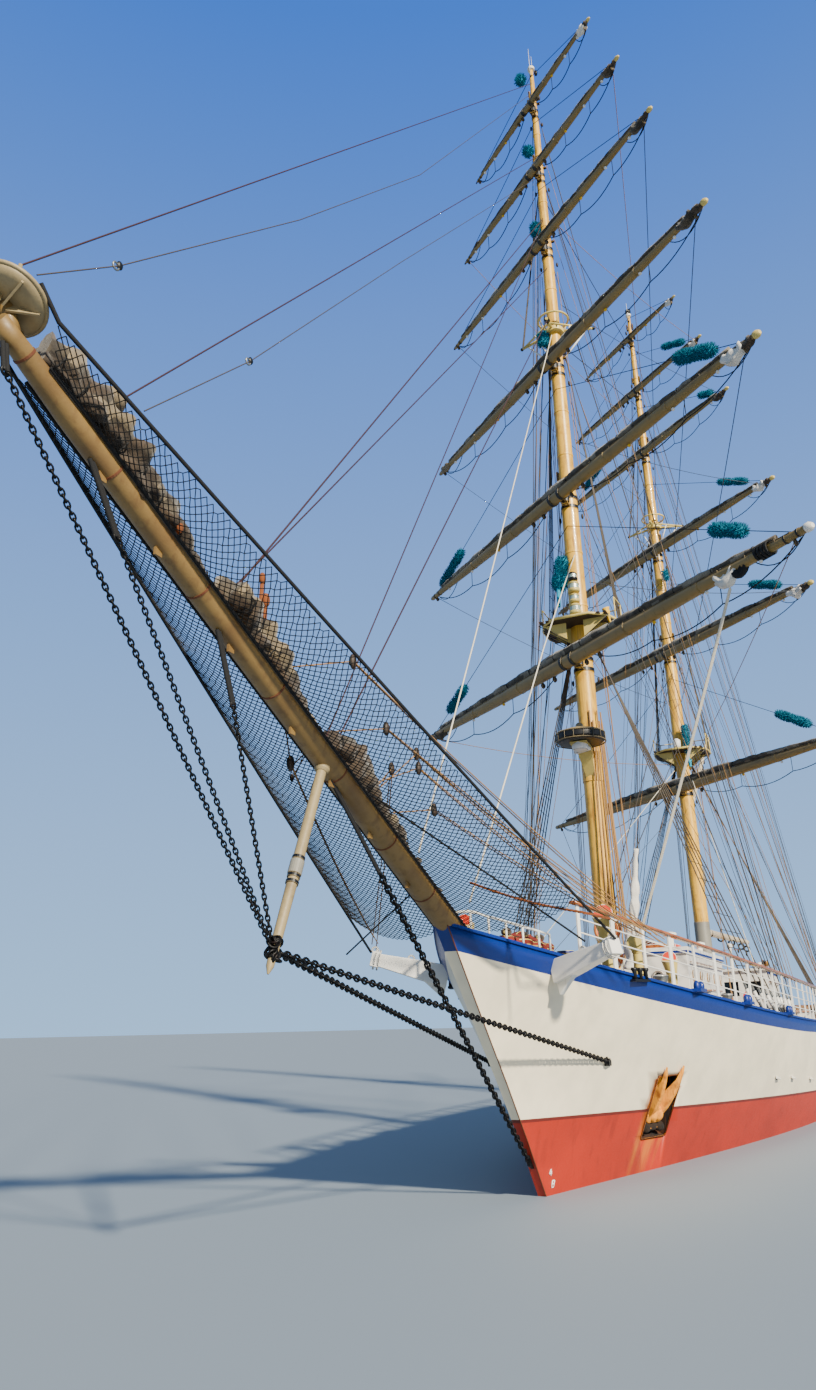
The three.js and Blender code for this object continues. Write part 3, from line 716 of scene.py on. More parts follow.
class Finishes:
    """Every finish of the ship by a plain name, made when it is first asked for."""

    TABLE: tuple[Finish, ...] = (
        HullFinish("hull_white", (0.99, 0.94, 0.82), (0.82, 0.7, 0.5), 0.34, cover=0.3, size=1.3,
                   patches=0.12, streaks=0.2, bump=0.05, coat=0.15, runs=HULL_RUNS),
        HullFinish(
            "hull_blue", (0.005, 0.15, 0.48), (0.1, 0.2, 0.36), 0.4, cover=0.3, streaks=0.3, coat=0.1
        ),
        HullFinish("hull_boot", (0.68, 0.15, 0.03), (0.4, 0.11, 0.05), 0.5, cover=0.65, size=1.6,
                   patches=0.4, streaks=0.45, runs=HULL_RUNS),
        Finish("boot_edge", (0.42, 0.1, 0.045), (0.28, 0.1, 0.05), 0.5, cover=0.7, size=5, patches=0.5),
        Finish("weld_rust", (0.42, 0.24, 0.13), RUST_BROWN, 0.8, cover=1.0, size=14, patches=0.8),
        WoodFinish("deck_planks", (0.62, 0.47, 0.32), (0.3, 0.22, 0.16), 0.7, cover=0.6, plank=0.16,
                   dark=(0.5, 0.36, 0.24)),
        Finish("mast_paint", (0.93, 0.72, 0.24), (0.5, 0.26, 0.08), 0.35, cover=0.8, size=7,
               patches=0.45, streaks=0.7, coat=0.15),
        Finish("bowsprit_paint", (0.52, 0.41, 0.22), (0.34, 0.22, 0.11), 0.5, cover=0.8, size=3,
               patches=0.6, streaks=0.5, coat=0.05),
        Finish("plate_paint", (0.6, 0.53, 0.38), (0.36, 0.29, 0.2), 0.5, cover=0.7, size=8, patches=0.5),
        Finish("yard_paint", (0.56, 0.46, 0.25), (0.28, 0.21, 0.12), 0.42, cover=0.6, size=4,
               patches=0.4, streaks=0.45, coat=0.1),
        ClothFinish("cream_canvas", (0.52, 0.46, 0.36), (0.3, 0.25, 0.19), 0.95, cover=0.8, size=12,
                    patches=0.5, streaks=0.4),
        ClothFinish("furled_canvas", (0.56, 0.52, 0.45), (0.2, 0.17, 0.14), 0.95, cover=0.9, size=8,
                    patches=0.6, streaks=0.5),
        ClothFinish("brown_canvas", (0.32, 0.26, 0.2), (0.1, 0.08, 0.06), 0.95, cover=1.0, size=10,
                    patches=0.75, streaks=0.6),
        ClothFinish("white_canvas", (0.9, 0.88, 0.84), (0.55, 0.5, 0.43), 0.9, cover=0.5, size=6),
        ClothFinish("dirty_canvas", (0.34, 0.3, 0.24), (0.12, 0.1, 0.08), 0.95, cover=1.0, size=9,
                    patches=0.75, streaks=0.5),
        Finish("net_cord", (0.09, 0.08, 0.07), (0.2, 0.15, 0.1), 0.9, cover=0.6, size=14),
        Finish("rust_rope", (0.5, 0.27, 0.12), (0.24, 0.14, 0.08), 0.95, cover=0.8, size=14, bump=0.6),
        Finish("dark_wire", (0.27, 0.23, 0.18), (0.3, 0.22, 0.15), 0.6, cover=0.5, size=14),
        Finish("black_rope", (0.06, 0.06, 0.07), (0.14, 0.12, 0.1), 0.85, cover=0.6, size=20, bump=0.6,
               bump_size=300),
        Finish("blue_rope", (0.25, 0.26, 0.28), (0.08, 0.08, 0.09), 0.8, cover=0.6, size=20, bump=0.5),
        Finish("tan_rope", (0.62, 0.47, 0.29), (0.36, 0.25, 0.14), 0.9, cover=0.6, size=20, bump=0.6,
               bump_size=300),
        Finish("white_rope", (0.86, 0.83, 0.76), (0.6, 0.52, 0.4), 0.85, cover=0.4, size=20, bump=0.6),
        Finish("red_wire", (0.22, 0.1, 0.09), (0.12, 0.07, 0.07), 0.6, cover=0.5, size=14),
        Finish("black_chain", (0.07, 0.07, 0.075), (0.25, 0.13, 0.07), 0.45, 0.6, cover=0.5, size=16,
               patches=0.5),
        Finish("galvanised", (0.6, 0.61, 0.6), (0.36, 0.26, 0.17), 0.42, 0.85, cover=0.5, size=12),
        Finish("white_paint", (0.93, 0.92, 0.89), (0.6, 0.45, 0.28), 0.35, cover=0.4, size=4,
               patches=0.2, streaks=0.4, coat=0.2),
        Finish("cream_paint", (0.84, 0.75, 0.42), (0.5, 0.33, 0.14), 0.4, cover=0.5, size=5),
        WoodFinish("varnished_wood", (0.74, 0.42, 0.16), (0.2, 0.1, 0.05), 0.22, cover=0.4, coat=0.5,
                   dark=(0.5, 0.24, 0.08)),
        Finish("rusty_iron", (0.95, 0.62, 0.14), (0.5, 0.22, 0.05), 0.9, 0.05, cover=0.75, size=9,
               patches=0.8, streaks=0.7, bump=0.9),
        # Near-black lumps in the bottom of each anchor's pocket, under the crown and flukes: painted shade.
        Finish(
            "anchor_pocket_shade", (0.16, 0.1, 0.05), (0.05, 0.035, 0.03), 0.95, cover=1.0, size=14, patches=0.8,
            bump=1.0,
        ),
        # Near-black lining of the anchors' pockets and the screw's well: painted shade in the recesses,
        # with real rust streaks.
        Finish("recess_shade_and_rust", (0.07, 0.05, 0.04), (0.35, 0.18, 0.06), 0.95, cover=0.75, size=6,
               patches=0.7, streaks=0.8, bump=0.8),
        Finish("dark_wood", (0.2, 0.14, 0.09), (0.09, 0.06, 0.04), 0.6, cover=0.6, size=14),
        Finish("teal_fibre", (0.03, 0.45, 0.55), (0.02, 0.24, 0.34), 1.0, cover=0.8, size=26,
               patches=0.6),
        Finish("cyan_cloth", (0.1, 0.62, 0.75), (0.05, 0.35, 0.45), 0.9, cover=0.6, size=12),
        Finish("life_orange", (0.9, 0.23, 0.09), (0.6, 0.15, 0.07), 0.5, cover=0.4, size=9),
        Finish("red_cover", (0.5, 0.15, 0.09), (0.25, 0.1, 0.07), 0.85, cover=0.7, size=8),
        Finish("signal_yellow", (0.92, 0.72, 0.1), (0.6, 0.42, 0.1), 0.6, cover=0.4, size=9),
        Finish("black_paint", (0.05, 0.05, 0.055), (0.2, 0.18, 0.16), 0.4, cover=0.4, size=9),
        Finish("grey_paint", (0.52, 0.51, 0.47), (0.36, 0.26, 0.16), 0.5, cover=0.6, size=5),
        Finish("bronze", (0.72, 0.52, 0.24), (0.2, 0.26, 0.18), 0.35, 1.0, cover=0.6, size=8),
        GlassFinish("window_glass", (0.05, 0.08, 0.1), (0.12, 0.16, 0.18)),
        Finish("lantern_glass", (0.6, 0.68, 0.64), (0.3, 0.3, 0.26), 0.15, cover=0.4, size=20),
    )

    def __init__(self) -> None:
        """Lists the finishes by name."""
        self.by_name = {finish.name: finish for finish in self.TABLE}
        self.made: dict[str, Material] = {}

    def get(self, name: str) -> Material:
        """The material of that name.

        Args:
            name: The name of the finish.

        Returns:
            The material.
        """
        if name not in self.made:
            self.made[name] = self.by_name[name].make()
        return self.made[name]


FINISHES = Finishes()


# Shapes


class MeshMaker:
    """Gathers the points and faces of one mesh, in metres of the ship."""

    def __init__(self, *finishes: str) -> None:
        """Starts an empty mesh that uses the named finishes.

        Args:
            *finishes: The finishes that it lists first.
        """
        self.finishes = list(finishes)
        self.points: list[Vector] = []
        self.faces: list[tuple[int, ...]] = []
        self.marks: list[int] = []
        self.smooth: list[bool] = []
        self.turn = Matrix.Identity(4)

    def add(
        self, points: Iterable[Point], faces: Iterable[Sequence[int]], finish: str, smooth: bool = False
    ) -> None:
        """Adds a shape.

        Args:
            points: Its points.
            faces: Its faces, counted from its own first point.
            finish: The finish of all its faces.
            smooth: Whether its faces are shaded smoothly.
        """
        if finish not in self.finishes:
            self.finishes.append(finish)
        first = len(self.points)
        self.points.extend(self.turn @ Vector(p) for p in points)
        for face in faces:
            self.faces.append(tuple(first + i for i in face))
            self.marks.append(self.finishes.index(finish))
            self.smooth.append(smooth)

    def loft(
        self, rings: Sequence[Sequence[Point]], finish: str, smooth: bool = True, looped: bool = False
    ) -> None:
        """Adds a closed shell through rings of equal length, with flat ends unless it is looped.

        Args:
            rings: The rings, each a row of points.
            finish: The finish.
            smooth: Whether its faces are shaded smoothly.
            looped: Whether its end joins its start.
        """
        count = len(rings[0])
        points = [p for ring in rings for p in ring]
        spans = len(rings) if looped else len(rings) - 1
        faces = []
        for i in range(spans):
            a, b = i * count, ((i + 1) % len(rings)) * count
            for j in range(count):
                k = (j + 1) % count
                faces.append((a + j, a + k, b + k, b + j))
        self.add(points, faces, finish, smooth)
        if not looped:
            last = (len(rings) - 1) * count
            first = len(self.points) - len(points)
            low, high = first, first + last
            for ends in (range(low + count - 1, low - 1, -1), range(high, high + count)):
                self.faces.append(tuple(ends))
                self.marks.append(self.finishes.index(finish))
                self.smooth.append(False)

    def tube(
        self, path: Path, radius: float | Sequence[float], finish: str, sides: int = 8, looped: bool = False
    ) -> None:
        """Adds a tube along a path, of one radius or one for each point.

        Args:
            path: The points that it follows.
            radius: One radius, or one for each point.
            finish: The finish.
            sides: How many flats it has around.
            looped: Whether its end joins its start.
        """
        points = [Vector(p) for p in path]
        radii = [radius] * len(points) if isinstance(radius, (int, float)) else list(radius)
        rings = []
        across = None
        for i, point in enumerate(points):
            before = points[i - 1] if i or looped else point
            after = points[(i + 1) % len(points)] if i + 1 < len(points) or looped else point
            along = (after - before).normalized()
            if across is None:
                across = basis(along)[0]
            across = (across - along * across.dot(along)).normalized()
            rings.append(ring_points(point, across, along.cross(across), radii[i], sides))
        self.loft(rings, finish, looped=looped)

    def rod(
        self, start: Point, end: Point, radius: float, finish: str, sides: int = 8, tip: float | None = None
    ) -> None:
        """Adds a straight round bar, which may taper to another radius."""
        self.tube((start, end), (radius, radius if tip is None else tip), finish, sides)

    def lathe(
        self, start: Point, direction: Point, rows: Sequence[tuple[float, float]], finish: str,
        sides: int = 16,
    ) -> None:
        """Adds a body turned about an axis, from rows of distance along it and radius.

        Args:
            start: Where it starts.
            direction: The direction of its axis.
            rows: Distances along the axis, each with a radius.
            finish: The finish.
            sides: How many flats it has around.
        """
        along = Vector(direction).normalized()
        across, up = basis(along)
        rings = [ring_points(Vector(start) + along * d, across, up, max(r, 0.001), sides) for d, r in rows]
        self.loft(rings, finish)

    def box(self, centre: Point, size: Point, finish: str, turn: Matrix | None = None) -> None:
        """Adds a box, turned about its centre.

        Args:
            centre: Its middle.
            size: Its width, depth and height.
            finish: The finish.
            turn: How it is turned.
        """
        turn = turn or Matrix.Identity(3)
        half = Vector(size) / 2
        corners = [
            Vector(centre) + turn @ xyz(x * half.x, y * half.y, z * half.z)
            for x in (-1, 1) for y in (-1, 1) for z in (-1, 1)
        ]
        faces = ((0, 1, 3, 2), (4, 6, 7, 5), (0, 4, 5, 1), (2, 3, 7, 6), (0, 2, 6, 4), (1, 5, 7, 3))
        self.add(corners, faces, finish)

    def ball(self, centre: Point, size: Point, finish: str, rings: int = 8, sides: int = 12) -> None:
        """Adds a rounded body as wide, deep and high as size.

        Args:
            centre: Its middle.
            size: Its width, depth and height.
            finish: The finish.
            rings: How many rings it has.
            sides: How many flats it has around.
        """
        half = Vector(size) / 2
        rows = []
        for i in range(rings + 1):
            angle = math.pi * (i + 0.02) / (rings + 0.04)
            ring = ring_points((0, 0, 0), xyz(1, 0, 0), xyz(0, 1, 0), math.sin(angle), sides)
            rows.append(
                [Vector(centre) + xyz(p.x * half.x, p.y * half.y, -math.cos(angle) * half.z) for p in ring]
            )
        self.loft(rows, finish)

    def torus(
        self, centre: Point, normal: Point, radius: float, thickness: float, finish: str, count: int = 24,
        sides: int = 8,
    ) -> None:
        """Adds a ring."""
        across, up = basis(Vector(normal))
        self.tube(ring_points(centre, across, up, radius, count), thickness, finish, sides, looped=True)

    def collar(
        self, centre: Point, axis: Point, inner: float, outer: float, half: float, finish: str,
        count: int = 20,
    ) -> None:
        """Adds a flat band around an axis.

        Args:
            centre: Its middle.
            axis: The direction of its axis.
            inner: Its inner radius.
            outer: Its outer radius.
            half: Half its width along the axis.
            finish: Its finish.
            count: How many flats it has.
        """
        along = Vector(axis).normalized() * half
        across, up = basis(along)
        rings = []
        for i in range(count):
            turn = 2 * math.pi * i / count
            out = across * math.cos(turn) + up * math.sin(turn)
            middle = Vector(centre)
            rings.append([
                middle + out * inner - along, middle + out * outer - along,
                middle + out * outer + along, middle + out * inner + along,
            ])
        self.loft(rings, finish, smooth=False, looped=True)

    def block(self, centre: Point, length: float, finish: str = "dark_wood") -> None:
        """Adds a pulley block of that length, with its sheave and strop."""
        self.ball(centre, (length * 0.62, length * 0.45, length), finish, 6, 8)
        self.torus(centre, (0, 1, 0), length * 0.36, length * 0.07, "black_rope", 12, 5)

    def build(self, name: str, bevel: float = 0.0) -> Piece:
        """Makes the object, in model metres.

        Args:
            name: The piece's name.
            bevel: The width of a bevel on its sharp edges, in metres of the ship.

        Returns:
            The object, with its faces pointing out.
        """
        mesh = bpy.data.meshes.new(name)
        mesh.from_pydata([p * MODEL_SCALE for p in self.points], [], self.faces)
        mesh.polygons.foreach_set("material_index", self.marks)
        mesh.polygons.foreach_set("use_smooth", self.smooth)
        for finish in self.finishes:
            mesh.materials.append(FINISHES.get(finish))
        shell = bmesh.new()
        shell.from_mesh(mesh)
        bmesh.ops.recalc_face_normals(shell, faces=shell.faces)
        if bevel:
            sharp = [e for e in shell.edges if e.is_manifold and e.calc_face_angle(0) > math.radians(35)]
            bmesh.ops.bevel(
                shell, geom=sharp, offset=bevel * MODEL_SCALE, segments=2, affect="EDGES", profile=0.6
            )
        shell.to_mesh(mesh)
        shell.free()
        return placed_in_scene(name, mesh)


class NodesKit:
    """Geometry Nodes trees that turn lines into ropes and chains and faces into tufts."""

    @staticmethod
    def start(name: str, **sizes: tuple[str, object]) -> tuple[Graph, dict[str, Socket], Node]:
        """Starts a tree with a Geometry input and output, named sizes and a finish."""
        inputs = {"Geometry": ("Geometry", None), **sizes, "Finish": ("Material", None)}
        return new_group(name, "Geometry", inputs, {"Geometry": "Geometry"})

    @staticmethod
    def end(
        graph: Graph, shape: Socket, given: dict[str, Socket], result: Node, smooth: bool = True
    ) -> Tree:
        """Makes a shape real, dresses it and puts it out.

        Args:
            graph: The tree's graph.
            shape: The shape.
            given: The tree's inputs.
            result: The tree's output node.
            smooth: Whether its faces are shaded smoothly.

        Returns:
            The tree.
        """
        shape = graph.geo("RealizeInstances", Geometry=shape)
        if smooth:
            shape = graph.geo("SetShadeSmooth", Geometry=shape)
        graph.link(graph.geo("SetMaterial", Geometry=shape, Material=given["Finish"]), result.inputs[0])
        return graph.tree

    @staticmethod
    @cache
    def rope_tree() -> Tree:
        """Edges become round ropes as thick as each point's girth.

        Returns:
            The tree.
        """
        graph, given, result = NodesKit.start("ropes", Sides=("Int", 5))
        lines = graph.geo("MeshToCurve", Mesh=given["Geometry"])
        girth = graph.node(
            "GeometryNodeInputNamedAttribute", {"Name": "girth"}, data_type="FLOAT"
        ).outputs["Attribute"]
        sized = graph.geo("SetCurveRadius", Curve=lines, Radius=girth)
        ring = graph.geo("CurvePrimitiveCircle", Resolution=given["Sides"], Radius=1.0)
        values = {"Curve": sized, "Profile Curve": ring, "Fill Caps": True}
        swept = graph.node("GeometryNodeCurveToMesh", values)
        if "Scale" in swept.inputs:
            graph.link(girth, swept.inputs["Scale"])
        return NodesKit.end(graph, swept.outputs[0], given, result)

    @staticmethod
    @cache
    def chain_tree() -> Tree:
        """Edges become chains of oval links, each turned a quarter from the one before.

        Returns:
            The tree.
        """
        sizes = {"Pitch": ("Float", 0.1), "Width": ("Float", 0.07), "Wire": ("Float", 0.012)}
        graph, given, result = NodesKit.start("chain", **sizes)
        lines = graph.geo("MeshToCurve", Mesh=given["Geometry"])
        spaced = graph.node(
            "GeometryNodeCurveToPoints", {"Curve": lines, "Length": given["Pitch"]}, mode="LENGTH"
        ).outputs
        length = graph.math("MULTIPLY", given["Pitch"], 1.5)
        shape = graph.node("ShaderNodeCombineXYZ", {"X": given["Width"], "Y": length, "Z": 1.0}).outputs[0]
        oval = graph.geo(
            "Transform", Geometry=graph.geo("CurvePrimitiveCircle", Resolution=10, Radius=0.5), Scale=shape
        )
        wire = graph.geo("CurvePrimitiveCircle", Resolution=5, Radius=given["Wire"])
        link = graph.node("GeometryNodeCurveToMesh", {"Curve": oval, "Profile Curve": wire}).outputs[0]
        quarter = graph.math("MULTIPLY", graph.math("MODULO", graph.geo("InputIndex"), 2.0), math.pi / 2)
        twist = graph.node(
            "FunctionNodeAxisAngleToRotation", {"Axis": (0, 1, 0), "Angle": quarter}
        ).outputs[0]
        aim = graph.node(
            "FunctionNodeAlignRotationToVector", {"Vector": spaced["Tangent"]}, axis="Y"
        ).outputs[0]
        values = {"Rotation": aim, "Rotate By": twist}
        both = graph.node("FunctionNodeRotateRotation", values, rotation_space="LOCAL").outputs[0]
        placed = graph.geo("InstanceOnPoints", Points=spaced[0], Instance=link, Rotation=both)
        return NodesKit.end(graph, placed, given, result)

    @staticmethod
    @cache
    def tuft_tree() -> Tree:
        """Faces grow short strands of yarn that stand out from them.

        Returns:
            The tree.
        """
        sizes = {"Density": ("Float", 4000.0), "Length": ("Float", 0.06), "Seed": ("Int", 1)}
        graph, given, result = NodesKit.start("tufts", **sizes)
        values = {"Mesh": given["Geometry"], "Density": given["Density"], "Seed": given["Seed"]}
        roots = graph.node("GeometryNodeDistributePointsOnFaces", values).outputs
        values = {"Vertices": 4, "Radius Top": 0.002, "Radius Bottom": 0.007, "Depth": given["Length"]}
        yarn = graph.node("GeometryNodeMeshCone", values).outputs[0]
        values = {"Min": (-0.5, -0.5, 0), "Max": (0.5, 0.5, 0), "Seed": given["Seed"]}
        uneven = graph.node("FunctionNodeRandomValue", values, data_type="FLOAT_VECTOR").outputs[0]
        values = {"Rotation": roots["Rotation"], "Rotate By": uneven}
        lean = graph.node("FunctionNodeRotateRotation", values, rotation_space="LOCAL").outputs[0]
        placed = graph.geo("InstanceOnPoints", Points=roots["Points"], Instance=yarn, Rotation=lean)
        both = graph.node("GeometryNodeJoinGeometry")
        for source in (given["Geometry"], placed):
            graph.link(source, both.inputs[0])
        return NodesKit.end(graph, both.outputs[0], given, result, smooth=False)

    @staticmethod
    def run(source: Piece, tree: Tree, values: dict[str, object], name: str) -> Piece:
        """Runs a tree on an object and keeps the result as a plain mesh.

        Args:
            source: The object with the lines or faces, which is removed.
            tree: The tree.
            values: The value of each named input.
            name: The new piece's name.

        Returns:
            The new piece.
        """
        modifier = source.modifiers.new("make", "NODES")
        modifier.node_group = tree
        sockets = {
            item.name: item.identifier for item in tree.interface.items_tree if item.in_out == "INPUT"
        }
        for label, value in values.items():
            modifier[sockets[label]] = value
        depsgraph = bpy.context.evaluated_depsgraph_get()
        mesh = bpy.data.meshes.new_from_object(source.evaluated_get(depsgraph), depsgraph=depsgraph)
        source.modifiers.remove(modifier)
        bpy.data.objects.remove(source)
        mesh.name = name
        return placed_in_scene(name, mesh)


class Ropes:
    """Gathers lines of one finish and makes them round ropes, or a chain."""

    def __init__(self, finish: str, sides: int = 5) -> None:
        """Starts an empty bundle.

        Args:
            finish: The finish.
            sides: How many flats it has around.
        """
        self.finish = finish
        self.sides = sides
        self.points: list[Vector] = []
        self.edges: list[tuple[int, int]] = []
        self.girths: list[float] = []

    def line(self, path: Path, radius: float, looped: bool = False, turn: Matrix | None = None) -> None:
        """Adds a line of rope of that radius through the points of a path.

        Args:
            path: The points that it follows.
            radius: The radius.
            looped: Whether its end joins its start.
            turn: How it is turned.
        """
        first = len(self.points)
        self.points.extend((turn @ Vector(p)) if turn else Vector(p) for p in path)
        count = len(self.points) - first
        self.girths.extend([radius * MODEL_SCALE] * count)
        self.edges.extend((first + i, first + i + 1) for i in range(count - 1))
        if looped:
            self.edges.append((first + count - 1, first))

    def lines(self, name: str) -> Piece:
        """The lines as an object of bare edges.

        Args:
            name: The name of the piece that they become.

        Returns:
            The object.
        """
        mesh = bpy.data.meshes.new(name)
        mesh.from_pydata([p * MODEL_SCALE for p in self.points], self.edges, [])
        mesh.attributes.new("girth", "FLOAT", "POINT").data.foreach_set("value", self.girths)
        return placed_in_scene(name + "_lines", mesh)

    def build(self, name: str) -> Piece:
        """The ropes as one piece."""
        values = {"Sides": self.sides, "Finish": FINISHES.get(self.finish)}
        return NodesKit.run(self.lines(name), NodesKit.rope_tree(), values, name)

    def build_chain(self, name: str, pitch: float, width: float, wire: float) -> Piece:
        """The lines as chains of links.

        Args:
            name: The piece's name.
            pitch: The distance from link to link, in metres of the ship.
            width: How wide a link is.
            wire: The radius of its bar.

        Returns:
            The chains as one piece.
        """
        sizes = {"Pitch": pitch * MODEL_SCALE, "Width": width * MODEL_SCALE, "Wire": wire * MODEL_SCALE}
        values = {**sizes, "Finish": FINISHES.get(self.finish)}
        return NodesKit.run(self.lines(name), NodesKit.chain_tree(), values, name)


def fit(piece: Piece, slot: str, *nodes: str, body: str = "ship") -> Piece:
    """Makes a piece ride on a body and stand for the nodes that it replaces, which are hidden.

    Args:
        piece: The piece.
        slot: Not used.
        *nodes: The CAD nodes that it stands for.
        body: The body that it rides on.

    Returns:
        The piece.
    """
    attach(piece, body)
    if nodes:
        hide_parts(*nodes)
    LOG.info("%s rides on %s, %d faces", piece.name, body, len(piece.data.polygons))
    return piece


# The ship


@dataclass
class Hull:
    """The plating, its paint, the deck and the anchors' pockets."""

    stations: int = 96

    def section(self, share: float) -> list[tuple[Vector, str]]:
        """The port half of one section from the keel up, each point with the finish above it.

        Args:
            share: A share of the way from stern to stem.

        Returns:
            The points, each with the finish above it.
        """
        heights: list[tuple[Callable[[float], float], str]] = []
        for level in (0, 0.02, 0.04, 0.07, 0.1, 0.15, 0.2, 0.26, 0.32, 0.38, 0.45):
            heights.append((lambda x, v=level: between(LINES.keel, LINES.sheer(x), v), "hull_boot"))
        for part in (0.0, 0.35, 0.7):
            heights.append((lambda x, v=part: between(0.45, LINES.boot(x), 0.4 + 0.6 * v), "hull_boot"))
        heights.append((lambda x: LINES.boot(x) - 0.06, "boot_edge"))
        for part in (0.0, 0.12, 0.25, 0.38, 0.5, 0.62, 0.75, 0.88):
            heights.append(
                (lambda x, v=part: between(LINES.boot(x), LINES.sheer(x) - LINES.band, v), "hull_white")
            )
        for part in (0.0, 0.5, 1.0):
            heights.append((lambda x, v=part: LINES.sheer(x) - LINES.band * (1 - v), "hull_blue"))
        points = []
        for height, finish in heights:
            x = between(-22, 23, share)
            for _ in range(5):
                row = LINES.row((height(x) - LINES.keel) / (LINES.sheer(x) - LINES.keel))
                x = between(row[2], row[1], share)
            points.append((xyz(x, LINES.half_at(row, x), height(x)), finish))
        top = points[-1][0]
        inner = max(top.y - LINES.wall, 0.03)
        drop = max(0.01, min(LINES.bulwark, (22.9 - top.x) * 0.8, (top.x + 22) * 2.5))
        deck_half = max(0.03, min(inner, LINES.half(top.x, top.z - drop) - 0.06))
        points.append((xyz(top.x, inner, top.z), "white_paint"))
        points.append((xyz(top.x, deck_half, top.z - drop), "deck_planks"))
        return points

    def shell(self) -> Piece:
        """The plating and the deck as one closed shell.

        Returns:
            The piece.
        """
        maker = MeshMaker(
            "hull_white", "hull_blue", "hull_boot", "boot_edge", "deck_planks", "white_paint", "recess_shade_and_rust"
        )
        rings, names = [], []
        for i in range(self.stations + 1):
            share = 0.5 - 0.5 * math.cos(math.pi * i / self.stations)
            port = self.section(share)
            names = [finish for _, finish in port]
            points = [p for p, _ in port]
            starboard = [xyz(p.x, -p.y, p.z) for p in reversed(points)]
            rings.append(starboard + points)
        count, half = len(rings[0]), len(rings[0]) // 2
        around = names[-2::-1] + ["hull_boot"] + names[:-1] + ["deck_planks"]
        around[0], around[1] = "white_paint", "hull_blue"
        around[half - 2 + half] = "white_paint"
        maker.points = [p for ring in rings for p in ring]
        for i in range(self.stations):
            for j in range(count):
                k = (j + 1) % count
                a, b = i * count, (i + 1) * count
                maker.faces.append((a + j, a + k, b + k, b + j))
                maker.marks.append(maker.finishes.index(around[j]))
                maker.smooth.append(around[j] != "deck_planks")
        for ring in (0, self.stations):
            for j in range(half - 1):
                k = count - 1 - j
                a = ring * count
                maker.faces.append((a + j, a + k, a + k - 1, a + j + 1))
                blue = j in (0, 1, 2, 3)
                maker.marks.append(maker.finishes.index("hull_blue" if blue else around[j]))
                maker.smooth.append(False)
        return maker.build("hull_shell")

    def cut_pockets(self, shell: Piece) -> None:
        """Cuts the anchors' pockets and the well of the screw out of the shell.

        Args:
            shell: The shell that is cut.
        """
        maker = MeshMaker()
        # The cutter's near-black finish passes to the faces that it cuts: painted shade lining the pockets
        # and the well, with rust streaks.
        for side in SIDES:
            maker.turn = Anchors.frame(side)
            wide, high, deep = Anchors.wide, Anchors.high, Anchors.depth
            maker.box((0, side * (1 - deep) / 2, 0), (2 * wide, 1 + deep, 2 * high), "recess_shade_and_rust")
        maker.turn = Matrix.Identity(4)
        maker.box((-17.8, 0, -2.35), (2.4, 2, 2.4), "recess_shade_and_rust")
        cutter = maker.build("pocket_cutter")
        modifier = shell.modifiers.new("pockets", "BOOLEAN")
        modifier.object = cutter
        modifier.operation = "DIFFERENCE"
        modifier.solver = "EXACT"
        modifier.material_mode = "TRANSFER"
        depsgraph = bpy.context.evaluated_depsgraph_get()
        mesh = bpy.data.meshes.new_from_object(shell.evaluated_get(depsgraph), depsgraph=depsgraph)
        shell.modifiers.remove(modifier)
        bpy.data.objects.remove(cutter)
        shell.data = mesh

    def trim(self) -> Piece:
        """The cap of the bulwark, scuppers, chocks, the stem's rusty edge and the shoe under the rudder.

        Returns:
            The piece.
        """
        maker = MeshMaker()
        for side in SIDES:
            rings = []
            for i in range(90):
                x = between(23.12, -21.95, i / 89)
                y = side * (LINES.rail_half(x) - LINES.wall / 2)
                z = LINES.sheer(x)
                rings.append([
                    (x, y - 0.08, z - 0.01), (x, y + 0.08, z - 0.01),
                    (x, y + 0.07, z + 0.045), (x, y - 0.07, z + 0.045),
                ])
            maker.loft(rings, "hull_blue", smooth=False)
            for x, z in (
                (8.7, 1.6), (7.18, 1.53), (4.89, 1.39), (2.0, 1.3), (-2.5, 1.3), (-6.8, 1.3), (-11.2, 1.3),
                (-15.5, 1.4),
            ):
                y = side * LINES.half(x, z)
                lip = [
                    (x + 0.1, y, z + 0.05), (x + 0.1, y + side * 0.09, z + 0.0),
                    (x + 0.1, y + side * 0.1, z - 0.04), (x + 0.1, y, z - 0.03),
                ]
                maker.loft(
                    [lip, [(px - 0.26, py, pz - 0.03) for px, py, pz in lip]], "white_paint", smooth=False
                )
                # A thin black slab under each lip: painted shade in the scupper's opening.
                maker.box((x - 0.03, y + side * 0.004, z - 0.05), (0.2, 0.02, 0.03), "black_paint")
            for x in (15.2, 12.2, 8.2, -12.0, -19.0):
                y = side * LINES.rail_half(x)
                maker.box((x, y, LINES.sheer(x) + 0.07), (0.8, 0.2, 0.07), "hull_blue")
                for end in (-0.28, 0.28):
                    maker.ball((x + end, y, LINES.sheer(x) + 0.15), (0.16, 0.15, 0.24), "hull_blue", 8, 10)
            x = 17.84
            y, z = side * (LINES.rail_half(x) + 0.02), LINES.sheer(x)
            maker.box(
                (x, y, z - 0.06), (0.62, 0.12, 0.05), "black_paint", Matrix.Rotation(-side * 0.3, 3, "Z")
            )
            for end in (-0.22, 0.0, 0.22):
                maker.lathe(
                    (x + end, y - side * end * 0.3, z - 0.05), UP,
                    ((0, 0.05), (0.16, 0.045), (0.2, 0.07), (0.24, 0.06)), "black_paint", 12,
                )
        stem = [p for p, _ in self.section(1.0)[:-2]]
        maker.tube([p + xyz(0.004, 0.004, 0) for p in stem], 0.012, "weld_rust", 6)
        maker.box((-17.25, 0, LINES.keel + 0.125), (2.1, 0.2, 0.25), "hull_boot")
        maker.lathe((-15.9, 0, -2.3), (-1, 0, 0), ((0, 0.24), (0.6, 0.22), (0.95, 0.17)), "hull_boot", 24)
        return maker.build("hull_trim")

